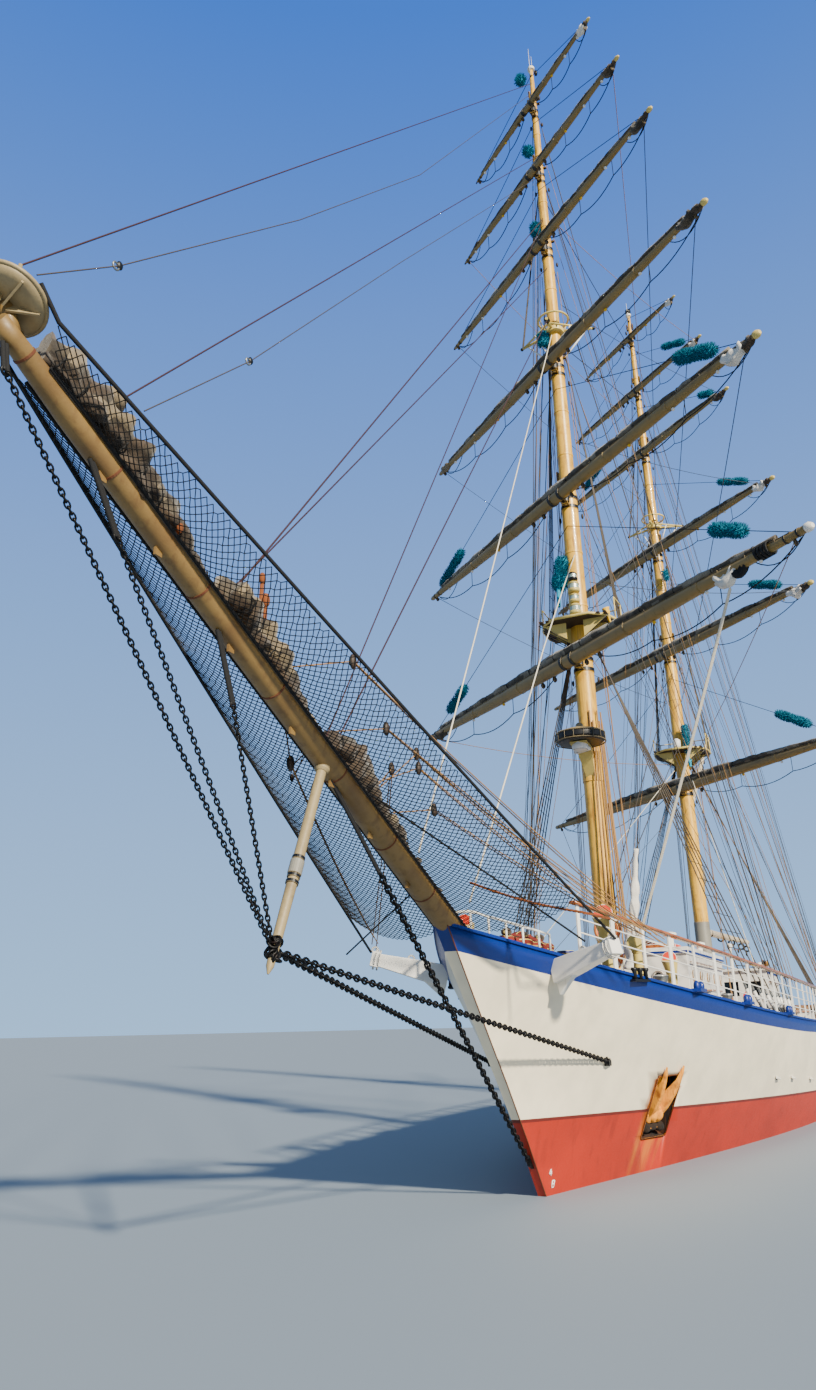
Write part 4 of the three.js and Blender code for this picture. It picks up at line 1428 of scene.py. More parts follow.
    def marks(self) -> Piece:
        """The draught marks at the stem, as plain raised strokes of the numbers 4 and 8.

        Returns:
            The piece.
        """
        maker = MeshMaker()
        strokes = {
            "4": (((0.3, 1.0), (0.0, 0.35)), ((0.0, 0.35), (0.6, 0.35)), ((0.45, 0.75), (0.45, 0.0))),
            "8": (
                ((0, 0), (0.5, 0)), ((0, 0.5), (0.5, 0.5)), ((0, 1), (0.5, 1)), ((0, 0), (0, 1)),
                ((0.5, 0), (0.5, 1)),
            ),
        }
        for number, x0, height in (("4", 18.71, 0.35), ("8", 18.56, 0.14)):
            for side in SIDES:
                for start, end in strokes[number]:
                    ends = []
                    for across, up in (start, end):
                        x, z = x0 - side * (across - 0.3) * 0.14, height + up * 0.12
                        ends.append(xyz(x, side * (LINES.half(x, z) + 0.004), z))
                    maker.rod(ends[0], ends[1], 0.011, "white_paint", 5)
        return maker.build("draught_marks")

    def build(self) -> None:
        """Makes the hull's pieces."""
        shell = self.shell()
        self.cut_pockets(shell)
        fit(shell, "hull_paint", "hull")
        fit(self.trim(), "hull_paint")
        fit(self.marks(), "white_paint")


@dataclass(frozen=True)
class Roll:
    """A sail rolled up along a path, and pinched by its gaskets."""

    centre: Callable[[float], Vector]
    radius: Callable[[float], float]
    length: float
    gap: float = 1.0
    sides: int = 14
    step: float = 0.17
    fold: float = 0.34
    seed: float = 0.0

    def pinch(self, share: float) -> float:
        """How much the canvas is drawn in at a share of the length.

        Args:
            share: A share of the length, from 0 to 1.

        Returns:
            The share of the full radius that is left.
        """
        count = max(1, round(self.length / self.gap))
        off = share * count
        near = abs(off - math.floor(off) - 0.5) * self.length / count
        return 1 - 0.26 * math.exp(-((near / 0.1) ** 2))

    def gaskets(self) -> list[float]:
        """The shares of the length where the gaskets are."""
        count = max(1, round(self.length / self.gap))
        return [(i + 0.5) / count for i in range(count)]

    def add_to(self, maker: MeshMaker, finish: str) -> None:
        """Adds the canvas to a mesh.

        Args:
            maker: The mesh to add to.
            finish: The finish.
        """
        steps = max(8, round(self.length / self.step))
        rings = []
        for i in range(steps + 1):
            share = i / steps
            along = self.centre(min(1, share + 0.01)) - self.centre(max(0, share - 0.01))
            across, up = basis(along)
            ring = []
            for j in range(self.sides):
                turn = 2 * math.pi * j / self.sides
                out = across * math.cos(turn) + up * math.sin(turn)
                place = xyz(
                    math.cos(turn) * 1.5, math.sin(turn) * 1.5, share * self.length * 1.6 + self.seed
                )
                bulge = 1 + self.fold * (noise.noise(place) + 0.6 * noise.noise(place * 2.7))
                ring.append(self.centre(share) + out * (self.radius(share) * self.pinch(share) * bulge))
            rings.append(ring)
        maker.loft(rings, finish)


@dataclass
class Bow:
    """The bowsprit with its sails, net and chains, the striker and the catheads."""

    heel: float = 21.1
    tip: float = 33.68
    # x and radius along the tube
    girths: tuple[tuple[float, float], ...] = (
        (21.1, 0.235), (30.6, 0.168), (32.6, 0.15), (33.2, 0.125), (33.68, 0.1)
    )
    plate: Triple = (33.62, 0, 9.88)
    cathead_root: Triple = (20.38, 1.1, 3.98)
    cathead_end: Triple = (21.06, 2.43, 4.35)
    striker: tuple[Triple, ...] = ((27.2, 0, 6.67), (28.53, 0, 3.72))
    knot: Triple = (28.43, 0, 4.0)
    guy: Triple = (17.9, 1.26, 2.35)
    mesh_size: float = 0.108
    # top and lower end of the lashing of each forward chain, in the centre plane
    lashings: tuple[tuple[tuple[float, float], tuple[float, float]], ...] = (
        ((33.56, 9.45), (33.5, 9.16)), ((32.26, 8.84), (31.76, 8.14)), ((29.86, 7.72), (29.48, 6.86)),
    )
    # name, start x, end x, radius, seed and girths along the length of each furled headsail
    sails: tuple[tuple[str, float, float, float, float, Table], ...] = (
        (
            "furled_flying_jib", 33.1, 30.05, 0.21, 0.0,
            ((0, 0.85), (0.08, 1.05), (0.3, 1.15), (0.5, 1.05), (0.75, 0.7), (1, 0.3)),
        ),
        (
            "furled_jib", 29.7, 27.25, 0.18, 9.0,
            ((0, 0.5), (0.03, 1.5), (0.1, 1.7), (0.3, 1.3), (0.6, 0.8), (0.8, 0.5), (1, 0.4)),
        ),
        (
            "furled_staysail", 27.1, 24.5, 0.2, 17.0,
            ((0, 0.8), (0.15, 1.35), (0.35, 1.2), (0.5, 0.85), (0.9, 0.75), (1, 0.4)),
        ),
    )

    def radius(self, x: float) -> float:
        """The bowsprit's radius at x."""
        return graded(self.girths, x)

    def spar(self) -> Piece:
        """The steel tube with its weld seams and lugs, and the dished plate on its end.

        Returns:
            The piece.
        """
        maker = MeshMaker()
        reach = (self.tip - self.heel) / BOWSPRIT_WAY.x
        rows = [(reach * i / 60, self.radius(between(self.heel, self.tip, i / 60))) for i in range(61)]
        maker.lathe(on_bowsprit(self.heel), BOWSPRIT_WAY, rows, "bowsprit_paint", 28)
        up = basis(BOWSPRIT_WAY)[1]
        for x in (33.3, 31.95, 30.3, 28.6, 26.9, 25.3, 23.9):
            maker.collar(
                on_bowsprit(x), BOWSPRIT_WAY, self.radius(x) - 0.01, self.radius(x) + 0.007, 0.014,
                "weld_rust", 28,
            )
        for x in (32.2, 31.2, 29.7, 28.2, 27.1, 25.9, 24.6):
            maker.box(on_bowsprit(x) + up * (self.radius(x) + 0.03), (0.12, 0.03, 0.12), "bowsprit_paint")
            maker.box(
                on_bowsprit(x - 0.2) - up * (self.radius(x) + 0.025), (0.12, 0.03, 0.1), "bowsprit_paint"
            )
        out = xyz(-0.435, 0, 0.9).normalized()
        dish = ((0, 0.12), (0.0, 0.3), (0.02, 0.36), (0.07, 0.4), (0.085, 0.39), (0.05, 0.33), (0.04, 0.1))
        maker.lathe(self.plate, out, dish, "plate_paint", 40)
        maker.torus(Vector(self.plate) + out * 0.075, out, 0.395, 0.024, "plate_paint", 40, 8)
        side, ahead = basis(out)
        for i in range(6):
            ray = side * math.cos(math.pi * i / 3 + 0.35) + ahead * math.sin(math.pi * i / 3 + 0.35)
            flat = out.cross(ray) * 0.012
            corners = [
                Vector(self.plate) + ray * r + out * d
                for r, d in ((0.06, 0.02), (0.35, 0.02), (0.35, -0.01), (0.06, -0.12))
            ]
            faces = [[corner + way * flat for corner in corners] for way in (-1, 1)]
            maker.loft(faces, "plate_paint", smooth=False)
        maker.rod(on_bowsprit(33.44), Vector(self.plate) + out * 0.02, 0.09, "bowsprit_paint", 16, 0.07)
        maker.rod(Vector(self.plate) - ahead * 0.1, (33.5, 0, 10.45), 0.022, "plate_paint", 8)
        return maker.build("bowsprit_spar")

    def furled(self) -> None:
        """The furled headsails under their lashings."""
        lashing = Ropes("black_rope", 4)
        across, up = basis(BOWSPRIT_WAY)
        for name, x0, x1, radius, seed, shape in self.sails:
            def size(share: float, r: float = radius, table: tuple = shape) -> float:
                return r * graded(table, share)

            def middle(share: float, a: float = x0, b: float = x1, girth: Callable = size) -> Vector:
                x = between(a, b, share)
                return on_bowsprit(x, self.radius(x) + 0.85 * girth(share), 0.03 * math.sin(5 * share))

            roll = Roll(middle, size, (x0 - x1) * 1.1, gap=0.38, sides=22, step=0.045, fold=0.95, seed=seed)
            maker = MeshMaker("dirty_canvas", "brown_canvas", "cream_canvas", "white_canvas")
            roll.add_to(maker, "dirty_canvas")
            dark = 0.4 if name == "furled_staysail" else 0.0
            for i, face in enumerate(maker.faces):
                place = maker.points[face[0]]
                patch = noise.noise(xyz(place.x * 1.2, place.y * 4, place.z * 4)) + dark
                # Faces low on the roll, next to the tube, take the darker brown canvas: painted shade on
                # the roll's underside and in the gap to the tube. Other faces take brown or cream canvas in
                # random patches.
                low = (place - on_bowsprit(place.x)).z < self.radius(place.x) + 0.1
                maker.marks[i] = 1 if patch > 0.12 or low else 2 if patch < -0.12 else 0
            if name == "furled_flying_jib":
                clump = Roll(
                    centre=lambda s: xyz(32.28 - 0.3 * s, 0.05, 9.72 - 0.12 * s),
                    radius=lambda s: 0.13 * (0.4 + math.sin(3 * s)),
                    length=0.34, gap=0.4, sides=14, step=0.04, fold=0.9, seed=4,
                )
                clump.add_to(maker, "cream_canvas")
            piece = maker.build(name + "_canvas")
            fit(piece, "furled_canvas", name)
            for share in roll.gaskets():
                x = between(x0, x1, share)
                centre = on_bowsprit(x, self.radius(x) + 0.85 * roll.radius(share))
                ring = ring_points(centre, across, up, roll.radius(share) * 0.8, 16)
                lashing.line(ring, 0.012, looped=True)
            tail = roll.centre(1.0)
            lashing.line([tail, tail + xyz(-0.25, 0, -0.08), on_bowsprit(x1 - 0.6, self.radius(x1))], 0.014)
        fit(lashing.build("headsail_lashings"), "black_chain")
        scraps = MeshMaker()
        for place, size in (
            ((29.1, 0.12, 8.7), 0.11), ((28.97, 0.1, 8.44), 0.13), ((30.9, 0.15, 8.62), 0.1)
        ):
            scraps.ball(place, (size, size * 0.8, size * 1.6), "rust_rope", 6, 8)
            scraps.rod(place, on_bowsprit(place[0] - 0.1, self.radius(place[0])), 0.03, "rust_rope", 6)
        for x, side in ((24.3, 0.1), (23.9, -0.05), (23.45, 0.08), (23.0, 0.0)):
            scraps.ball(on_bowsprit(x, 0.24, side), (0.22, 0.12, 0.1), "brown_canvas", 6, 8)
        fit(scraps.build("headsail_tack_lashings"), "wire_rope")

    def net_edge(self, x: float, side: int) -> Vector:
        """The point of the net's outer rope at x."""
        share = (33.4 - x) / (33.4 - self.cathead_end[0])
        return xyz(
            x, side * (0.4 + 0.1645 * (33.4 - x)),
            between(9.77, self.cathead_end[2] + 0.12, share) - 0.2 * share * (1 - share),
        )

    def net_point(self, share: float, across: float, side: int) -> Vector:
        """A point of the hanging net, from the bowsprit at 0 to the outer rope at 1.

        Args:
            share: A share of the way from the plate to the stem.
            across: A share of the width, from 0 to 1.
            side: 1 for port, -1 for starboard.

        Returns:
            The point.
        """
        x = between(33.1, 22.7, share)
        low = 0.02 if side > 0 else -0.05
        inner = on_bowsprit(x, low, side * (self.radius(x) + 0.03))
        outer = self.net_edge(between(33.35, 22.4, share), side)
        hang = 0.13 * (outer - inner).length
        return inner.lerp(outer, across) - xyz(0, 0, hang * 4 * across * (1 - across))

    def net(self) -> None:
        """The safety net on both sides, of crossing lines inside thick edge ropes."""
        mesh, edges, twist = Ropes("net_cord", 3), Ropes("black_rope", 6), Ropes("rust_rope", 5)
        reach = 10.4 / BOWSPRIT_WAY.x
        for side in SIDES:
            spans = [self.net_point(i / 40, 1, side) - self.net_point(i / 40, 0, side) for i in range(41)]
            widths = [span.length * 1.04 for span in spans]
            for slope in SIDES:
                start = -2.6
                while start < reach + 2.6:
                    run: list[Vector] = []
                    for step in range(0, 400):
                        across = step * self.mesh_size / 2
                        share = (start + slope * across) / reach
                        inside = 0 <= share <= 1
                        width = widths[min(40, max(0, round(share * 40)))] if inside else 0
                        if inside and across <= width:
                            run.append(self.net_point(share, across / width, side))
                        elif run:
                            break
                    if len(run) > 1:
                        mesh.line(run, 0.0075)
                    start += self.mesh_size
            end = Vector(self.cathead_end)
            outer = [
                xyz(33.55, side * 0.38, 10.03),
                *(self.net_edge(between(33.3, 21.4, i / 30), side) for i in range(31))
            ]
            edges.line(outer + [xyz(end.x, side * end.y, end.z + 0.12)], 0.025)
            edges.line([self.net_point(i / 24, 0, side) for i in range(25)], 0.022)
            edges.line(
                [(26.2, side * 0.2, 6.35), (22.4, side * 0.881, 5.372), (22.4, side * 2.25, 4.35)], 0.017
            )
            if side < 0:
                continue
            base = []
            for s in (i / 44 for i in range(45)):
                z = 5.44 - 0.62 * s - 0.06 * math.sin(math.pi * s)
                base.append(xyz(between(22.55, 22.35, s), side * between(0.3, 2.25, s), z))
            for s in (0.3, 0.6, 1.0):
                base.append(xyz(between(22.35, 21.6, s), side * between(2.25, 2.5, s), 4.82 - 0.06 * s))
            for phase in (0, 2.1, 4.2):
                turns = [i * 1.2 + phase for i in range(len(base))]
                shifts = [xyz(0.015 * math.cos(turn), 0, 0.015 * math.sin(turn)) for turn in turns]
                twist.line([point + shift for point, shift in zip(base, shifts)], 0.012)
        fit(mesh.build("bow_net"), "black_chain")
        fit(edges.build("bow_net_edge_ropes"), "black_chain")
        fit(twist.build("bow_net_aft_rope"), "wire_rope")

    def chains(self) -> None:
        """The martingale chains with the knot at the striker's end, and the bobstay."""
        forward, knot = Ropes("black_chain"), Vector(self.knot)
        maker = MeshMaker()
        straps = Ropes("black_rope", 6)
        for (x, z), (x1, z1) in self.lashings:
            top, low = xyz(x, 0, z), xyz(x1, 0, z1)
            forward.line([low, knot], 0.03)
            for shift in (-0.022, 0.022):
                straps.line([top + xyz(shift, 0, 0), low + xyz(shift, 0, 0)], 0.028)
            maker.torus(low, (0, 1, 0), 0.05, 0.016, "black_chain", 14, 6)
        guys = Ropes("black_chain")
        for side in SIDES:
            end = xyz(self.guy[0], side * self.guy[1], self.guy[2])
            guys.line([knot, end], 0.03)
            maker.torus(end, (0, 1, 0), 0.07, 0.022, "black_chain", 14, 6)
            maker.box(end + xyz(-0.1, -side * 0.01, -0.02), (0.2, 0.1, 0.14), "black_chain")
        links = [
            forward.build_chain("martingale_links", 0.066, 0.052, 0.0115),
            guys.build_chain("martingale_guys", 0.095, 0.08, 0.0165),
        ]
        for piece in links:
            fit(piece, "black_chain", "martingale_chains")
        bob, stem = Ropes("black_chain"), xyz(19.34, 0, 0.66)
        head = on_bowsprit(27.0, -self.radius(27))
        low = head.lerp(stem, 0.2)
        bob.line([low, stem + xyz(0.1, 0, 0.06)], 0.03)
        fit(bob.build_chain("bobstay_links", 0.108, 0.092, 0.019), "black_chain", "bobstay")
        for shift in (-0.03, 0.03):
            straps.line([head + xyz(shift, 0, 0), low + xyz(shift, 0, 0)], 0.026)
        fit(straps.build("chain_lashings"), "black_chain")
        wrap = random.Random(4)
        for _ in range(14):
            normal = xyz(wrap.uniform(-1, 1), wrap.uniform(-1, 1), wrap.uniform(-1, 1))
            shift = xyz(wrap.uniform(-0.05, 0.05), wrap.uniform(-0.05, 0.05), wrap.uniform(-0.12, 0.14))
            maker.torus(knot + shift, normal, 0.07, 0.017, "black_chain", 14, 6)
        maker.loft(
            [[(18.9, w, 0.42), (19.4, w, 0.6), (19.4, w, 0.74), (19.0, w, 0.95)] for w in (-0.03, 0.03)],
            "black_chain", smooth=False
        )
        fit(maker.build("chain_fittings"), "black_chain")

    def pole(self) -> None:
        """The dolphin striker, with its collar and pointed end."""
        maker = MeshMaker()
        top, end = Vector(self.striker[0]), Vector(self.striker[1])
        along = (end - top).normalized()
        length = (end - top).length
        rows = [
            (0, 0.06), (0.25, 0.072), (length * 0.5, 0.076), (length - 0.5, 0.066), (length - 0.1, 0.05),
            (length, 0.012),
        ]
        maker.lathe(top, along, rows, "plate_paint", 20)
        middle = top + along * (length * 0.545)
        maker.collar(middle, along, 0.06, 0.095, 0.1, "grey_paint", 20)
        for shift in (-0.14, 0.13, 0.22):
            maker.collar(middle + along * shift, along, 0.06, 0.088, 0.025, "black_paint", 20)
        maker.lathe(
            top + along * 0.02, along, ((0, 0.09), (0.03, 0.11), (0.16, 0.11), (0.2, 0.08)), "plate_paint",
            20,
        )
        fit(maker.build("striker_pole", 0.004), "mast_paint", "dolphin_striker")

    def catheads(self) -> None:
        """The white beams that carry the net's aft corners."""
        for side, name in ((1, "cathead_port"), (-1, "cathead_starboard")):
            maker = MeshMaker()
            a, b = (xyz(x, side * y, z) for x, y, z in (self.cathead_root, self.cathead_end))
            along = (b - a).normalized()
            across = along.cross(UP).normalized()
            up = across.cross(along)
            rings = []
            for share, wide, high in (
                (0, 0.3, 0.42), (0.35, 0.28, 0.36), (0.88, 0.24, 0.24), (0.9, 0.29, 0.28), (1.0, 0.29, 0.28)
            ):
                here = a.lerp(b, share)
                w, h = across * wide / 2, up * high / 2
                rings.append([here - w - h, here + w - h, here + w + h, here - w + h])
            maker.loft(rings, "white_paint", smooth=False)
            for share in (0.5, 0.97):
                maker.torus(a.lerp(b, share) + up * 0.17, across, 0.06, 0.02, "galvanised", 14, 6)
            knee = [a - up * 0.2, a - up * 0.42, a.lerp(b, 0.3) - up * 0.17]
            maker.loft([[k - across * w for k in knee] for w in (-0.06, 0.06)], "white_paint", smooth=False)
            for share in (0.9, 0.95):
                maker.collar(a.lerp(b, share), along, 0.17, 0.195, 0.02, "black_rope", 12)
            fit(maker.build(name + "_beam", 0.014), "white_paint", name)

    def deck_gear(self) -> None:
        """The heel of the bowsprit on deck, covered gear, bitts, vent and lifebuoys."""
        maker = MeshMaker()
        maker.box((20.5, 0, 4.26), (1.9, 0.34, 0.3), "cream_paint")
        for side in SIDES:
            deck = LINES.deck(19)
            for x in (19.2, 18.7):
                rows = ((0, 0.12), (0.62, 0.12), (0.62, 0.17), (0.68, 0.17))
                maker.lathe((x, side * 0.95, deck - 0.02), UP, rows, "hull_blue", 18)
            maker.box((18.95, side * 0.95, deck + 0.04), (0.95, 0.36, 0.1), "hull_blue")

            def middle(share: float, way: int = side) -> Vector:
                """The middle of the covered gear at a share of its length."""
                y = way * between(0.42, 0.85, share)
                return xyz(between(21.4, 19.9, share), y, between(4.5, 4.4, share))

            cover = Roll(
                centre=middle,
                radius=lambda s: 0.2 * (0.5 + 0.5 * math.sin(math.pi * (0.06 + 0.88 * s))),
                length=1.6, gap=0.5, sides=16, step=0.06, fold=0.6, seed=side,
            )
            cover.add_to(maker, "red_cover")
            for x, y, z in ((21.2, 0.45, 4.68), (20.7, 0.6, 4.64), (20.2, 0.75, 4.62)):
                maker.ball((x, side * y, z), (0.26, 0.2, 0.16), "brown_canvas", 8, 12)
            rows = ((0, 0.1), (0.95, 0.1), (1.0, 0.12))
            maker.lathe((17, side * 1.88, 3.5), UP, rows, "cream_paint", 18)
            turns = [i * math.pi / 12 for i in range(7)]
            cowl = [xyz(17 + 0.2 * (1 - math.cos(t)), side * 1.88, 4.45 + 0.2 * math.sin(t)) for t in turns]
            maker.tube(cowl, (0.11, 0.12, 0.13, 0.145, 0.155, 0.165, 0.17), "cream_paint", 18)
        for z in (4.66, 5.33):
            centre, normal = xyz(12.75, 0.2, z), xyz(0.95, 0.3, 0)
            maker.torus(centre, normal, 0.28, 0.075, "life_orange", 28, 10)
            maker.rod(centre - normal * 0.5, centre - normal * 0.05, 0.03, "white_paint", 8)
            ahead, up = basis(normal)
            for i in range(4):
                turn = math.pi * (0.25 + i / 2)
                out = ahead * math.cos(turn) + up * math.sin(turn)
                maker.collar(centre + out * 0.28, out.cross(normal), 0.07, 0.084, 0.05, "white_paint", 14)
        fit(maker.build("bow_deck_gear", 0.01), "deck_gear_paint")

    def sheets(self) -> None:
        """The sheets of the headsails, from their blocks to the foredeck, and the blocks in the net."""
        blocks = MeshMaker()
        sheets = Ropes("tan_rope", 5)
        for clew, lead in (
            ((24.25, 0.1, 7.41), (20.3, 2.75, 4.62)),
            ((24.4, 0.2, 7.12), (20.6, 2.6, 4.66)),
            ((23.69, 0.15, 6.55), (19.9, 2.85, 4.55)),
            ((26.9, 0.3, 8.2), (19.4, 2.85, 4.55)),
            ((25.6, 0.2, 7.5), (19.0, 2.9, 4.5)),
            ((24.3, -0.35, 7.2), (20.3, -2.75, 4.62)),
            ((27.3, -0.5, 6.66), (20.9, -2.4, 4.7)),
        ):
            top, low = Vector(clew), Vector(lead)
            blocks.block(top, 0.24)
            for shift in (-0.03, 0.03):
                step = xyz(shift, 0, shift * 0.6)
                sheets.line(sagging(top + step, low + step * 3, 0.12), 0.011)
            sheets.line([top, on_bowsprit(top.x + 1.3, 0.6)], 0.011)
        for z in (6.59, 6.77):
            blocks.block((26.77, -0.8, z), 0.13)
            sheets.line([(26.77, -0.8, z), on_bowsprit(27.3, 0.1, -0.18)], 0.01)
        fit(blocks.build("sheet_blocks"), "deck_gear_paint")
        fit(sheets.build("headsail_sheets"), "wire_rope")

    def build(self) -> None:
        """Makes the bow's pieces."""
        fit(self.spar(), "mast_paint", "bowsprit")
        for make in (
            self.furled, self.net, self.chains, self.pole, self.catheads, self.deck_gear, self.sheets
        ):
            make()


@dataclass
class Mast:
    """One mast with its top, crosstrees, bands and ironwork."""

    name: str
    yards: tuple[float, ...]
    taper_sides: int = 32

    @property
    def x(self) -> float:
        """Where the mast stands."""
        return MAST_X[self.name]

    def at(self, x: float, y: float, z: float) -> Vector:
        """A point given from the mast's axis."""
        return xyz(self.x + x, y, z)

    def stick(self) -> None:
        """The tube with its bands, the lugs of each yard, and the truck."""
        maker = MeshMaker()
        truck = TRUCK_Z[self.name]
        heights = sorted(
            {2.4, truck - 0.2, *(z for z, _ in TAPER[1:-1]), *(2.4 + 0.8 * i for i in range(42))}
        )
        rows = [(z - 2.4, mast_radius(z)) for z in heights if z <= truck - 0.2]
        maker.lathe(self.at(0, 0, 2.4), UP, rows, "mast_paint", self.taper_sides)
        cap = ((0, 0.075), (0.02, 0.13), (0.12, 0.13), (0.17, 0.1), (0.2, 0.03))
        maker.lathe(self.at(0, 0, truck - 0.2), UP, cap, "white_paint", 20)
        for z in self.yards:
            r = mast_radius(z)
            pin = r + TRUSS_REACH
            for way in SIDES:
                height = z + way * (EYE_HALF + 0.045)
                maker.box(
                    self.at((r + pin + 0.06) / 2, 0, height), (pin + 0.06 - r + 0.06, 0.17, 0.07),
                    "black_paint",
                )
                maker.collar(self.at(0, 0, height), UP, r - 0.02, r + 0.02, 0.06, "black_paint", 28)
            maker.rod(self.at(pin, 0, z - 0.2), self.at(pin, 0, z + 0.2), 0.045, "galvanised", 14)
            for way in SIDES:
                maker.box(self.at(0, way * (r + 0.05), z + 0.5), (0.1, 0.1, 0.05), "black_paint")
                maker.box(self.at(0, way * (r + 0.03), z + 1.05), (0.16, 0.06, 0.3), "black_paint")
        for low, high in zip(self.yards, self.yards[1:]):
            for share in (0.35, 0.68):
                z = between(low, high, share)
                r = mast_radius(z)
                maker.collar(self.at(0, 0, z), UP, r - 0.02, r + 0.014, 0.035, "mast_paint", 28)
        foot = LINES.deck(self.x)
        coat = ((0, 0.46), (0.06, 0.45), (0.2, 0.34), (0.36, 0.305), (0.4, 0.295))
        maker.lathe(self.at(0, 0, foot - 0.01), UP, coat, "white_canvas", 24)
        maker.collar(self.at(0, 0, foot + 0.36), UP, 0.28, 0.325, 0.03, "galvanised", 24)
        if self.name == "main":
            maker.lathe(
                self.at(0, 0, 6.75), (0, 0, -1), ((0, 0.28), (0.02, 0.305), (6.4 - foot, 0.31)),
                "grey_paint", 28,
            )
        fit(maker.build(self.name + "mast_stick", 0.006), "mast_paint", self.name + "mast")

    def top(self) -> None:
        """The lower top: a rimmed platform with slats, knees and a rail."""
        z = TOP_Z[self.name]
        maker = MeshMaker()
        outline = [
            (0.95, -0.5), (0.95, 0.5), (0.6, 0.92), (0.1, 1.1), (-0.6, 1.12), (-0.95, 1.0), (-0.95, -1.0),
            (-0.6, -1.12), (0.1, -1.1), (0.6, -0.92),
        ]
        rim = [self.at(px, py, z + 0.05) for px, py in outline]
        maker.tube(rim, 0.045, "cream_paint", 8, looped=True)
        floor = [[self.at(px * 0.985, py * 0.985, z + h) for px, py in outline] for h in (0, 0.035)]
        maker.loft(floor, "dark_wood", smooth=False)
        for i in range(11):
            y = between(-0.95, 0.95, i / 10)
            maker.box(self.at(0, y, z + 0.055), (1.74, 0.09, 0.04), "dark_wood")
        for way in SIDES:
            for px in (-0.5, 0.1, 0.6):
                knee = [
                    self.at(px, way * 0.26, z - 0.5), self.at(px, way * 0.26, z), self.at(px, way * 0.95, z)
                ]
                maker.loft(
                    [[k + xyz(d, 0, 0) for k in knee] for d in (-0.015, 0.015)], "cream_paint", smooth=False
                )
            for j in range(5):
                a = self.at(-0.8 + 0.35 * j, way * 0.24, z - 0.55)
                maker.rod(a, self.at(-0.85 + 0.4 * j, way * 1.05, z), 0.012, "black_paint", 5)
        for px, py in outline:
            if px < 0.2:
                maker.rod(self.at(px, py, z + 0.05), self.at(px, py, z + 0.75), 0.02, "cream_paint", 6)
        back = [self.at(px, py, z + 0.75) for px, py in outline if px < 0.2]
        order = sorted(back, key=lambda p: math.atan2(p.y, -(p.x - self.x - 0.2)))
        maker.tube(order, 0.02, "cream_paint", 6)
        if self.name == "fore":
            for i, (r, h) in enumerate(((0.18, 0.34), (0.15, 0.28), (0.18, 0.34), (0.14, 0.26))):
                base = z + 0.1 + sum((0.38, 0.32, 0.38, 0.3)[:i])
                rows = (
                    (0, r * 0.8), (0.03, r), (h * 0.3, r), (h * 0.32, r * 0.8), (h * 0.75, r * 0.8),
                    (h * 0.78, r), (h, r * 0.6),
                )
                maker.lathe(
                    self.at(0.84, 0.12, base), UP, rows, "black_paint" if i == 3 else "cream_paint", 16
                )
                maker.collar(
                    self.at(0.84, 0.12, base + h * 0.53), UP, r * 0.7, r * 0.86, h * 0.2, "lantern_glass",
                    16,
                )
            maker.rod(self.at(0.72, 0.12, z + 0.06), self.at(0.72, 0.12, z + 1.25), 0.025, "cream_paint", 8)
        else:
            maker.lathe(
                self.at(0.8, 0, z + 0.08), UP, ((0, 0.1), (0.1, 0.16), (0.34, 0.16), (0.42, 0.06)),
                "white_paint", 18,
            )
        fit(maker.build(self.name + "_top_platform"), "mast_paint", self.name + "_top")

    def crosstrees(self) -> None:
        """The upper spreaders with their struts and the ring around the mast."""
        z = CROSSTREES_Z[self.name]
        maker = MeshMaker()
        r = mast_radius(z)
        maker.collar(self.at(0, 0, z + 0.08), UP, r - 0.01, r + 0.12, 0.08, "cream_paint", 24)
        for way in SIDES:
            tip = self.at(-0.35, way * 1.25, z + 0.08)
            maker.rod(self.at(0, way * r, z + 0.08), tip, 0.055, "cream_paint", 10, 0.04)
            maker.rod(
                self.at(0.55, way * 0.05, z + 0.08), self.at(-0.33, way * 1.2, z + 0.08), 0.035,
                "cream_paint", 8,
            )
            maker.rod(
                self.at(-0.12, way * (r + 0.02), z - 0.95), self.at(-0.28, way * 1.0, z + 0.04), 0.028,
                "white_paint", 8,
            )
            maker.rod(
                self.at(0.04, way * (r + 0.02), z - 0.8), self.at(0.2, way * 0.6, z + 0.04), 0.022,
                "white_paint", 8,
            )
            maker.ball(tip, (0.12, 0.12, 0.12), "black_paint", 6, 10)
        maker.rod(self.at(r, 0, z + 0.08), self.at(0.85, 0, z + 0.08), 0.05, "cream_paint", 10)
        ring = z + 0.56
        maker.torus(self.at(0.02, 0, ring), UP, 0.5, 0.035, "cream_paint", 32, 8)
        for turn in (0.6, 2.2, 3.8, 5.4):
            out = xyz(math.cos(turn), math.sin(turn), 0)
            foot = self.at(0.02, 0, z + 0.08) + out * (r + 0.1)
            maker.rod(foot, self.at(0.02, 0, ring) + out * 0.5, 0.02, "cream_paint", 6)
        fit(maker.build(self.name + "_crosstrees_frame"), "mast_paint", self.name + "_crosstrees")

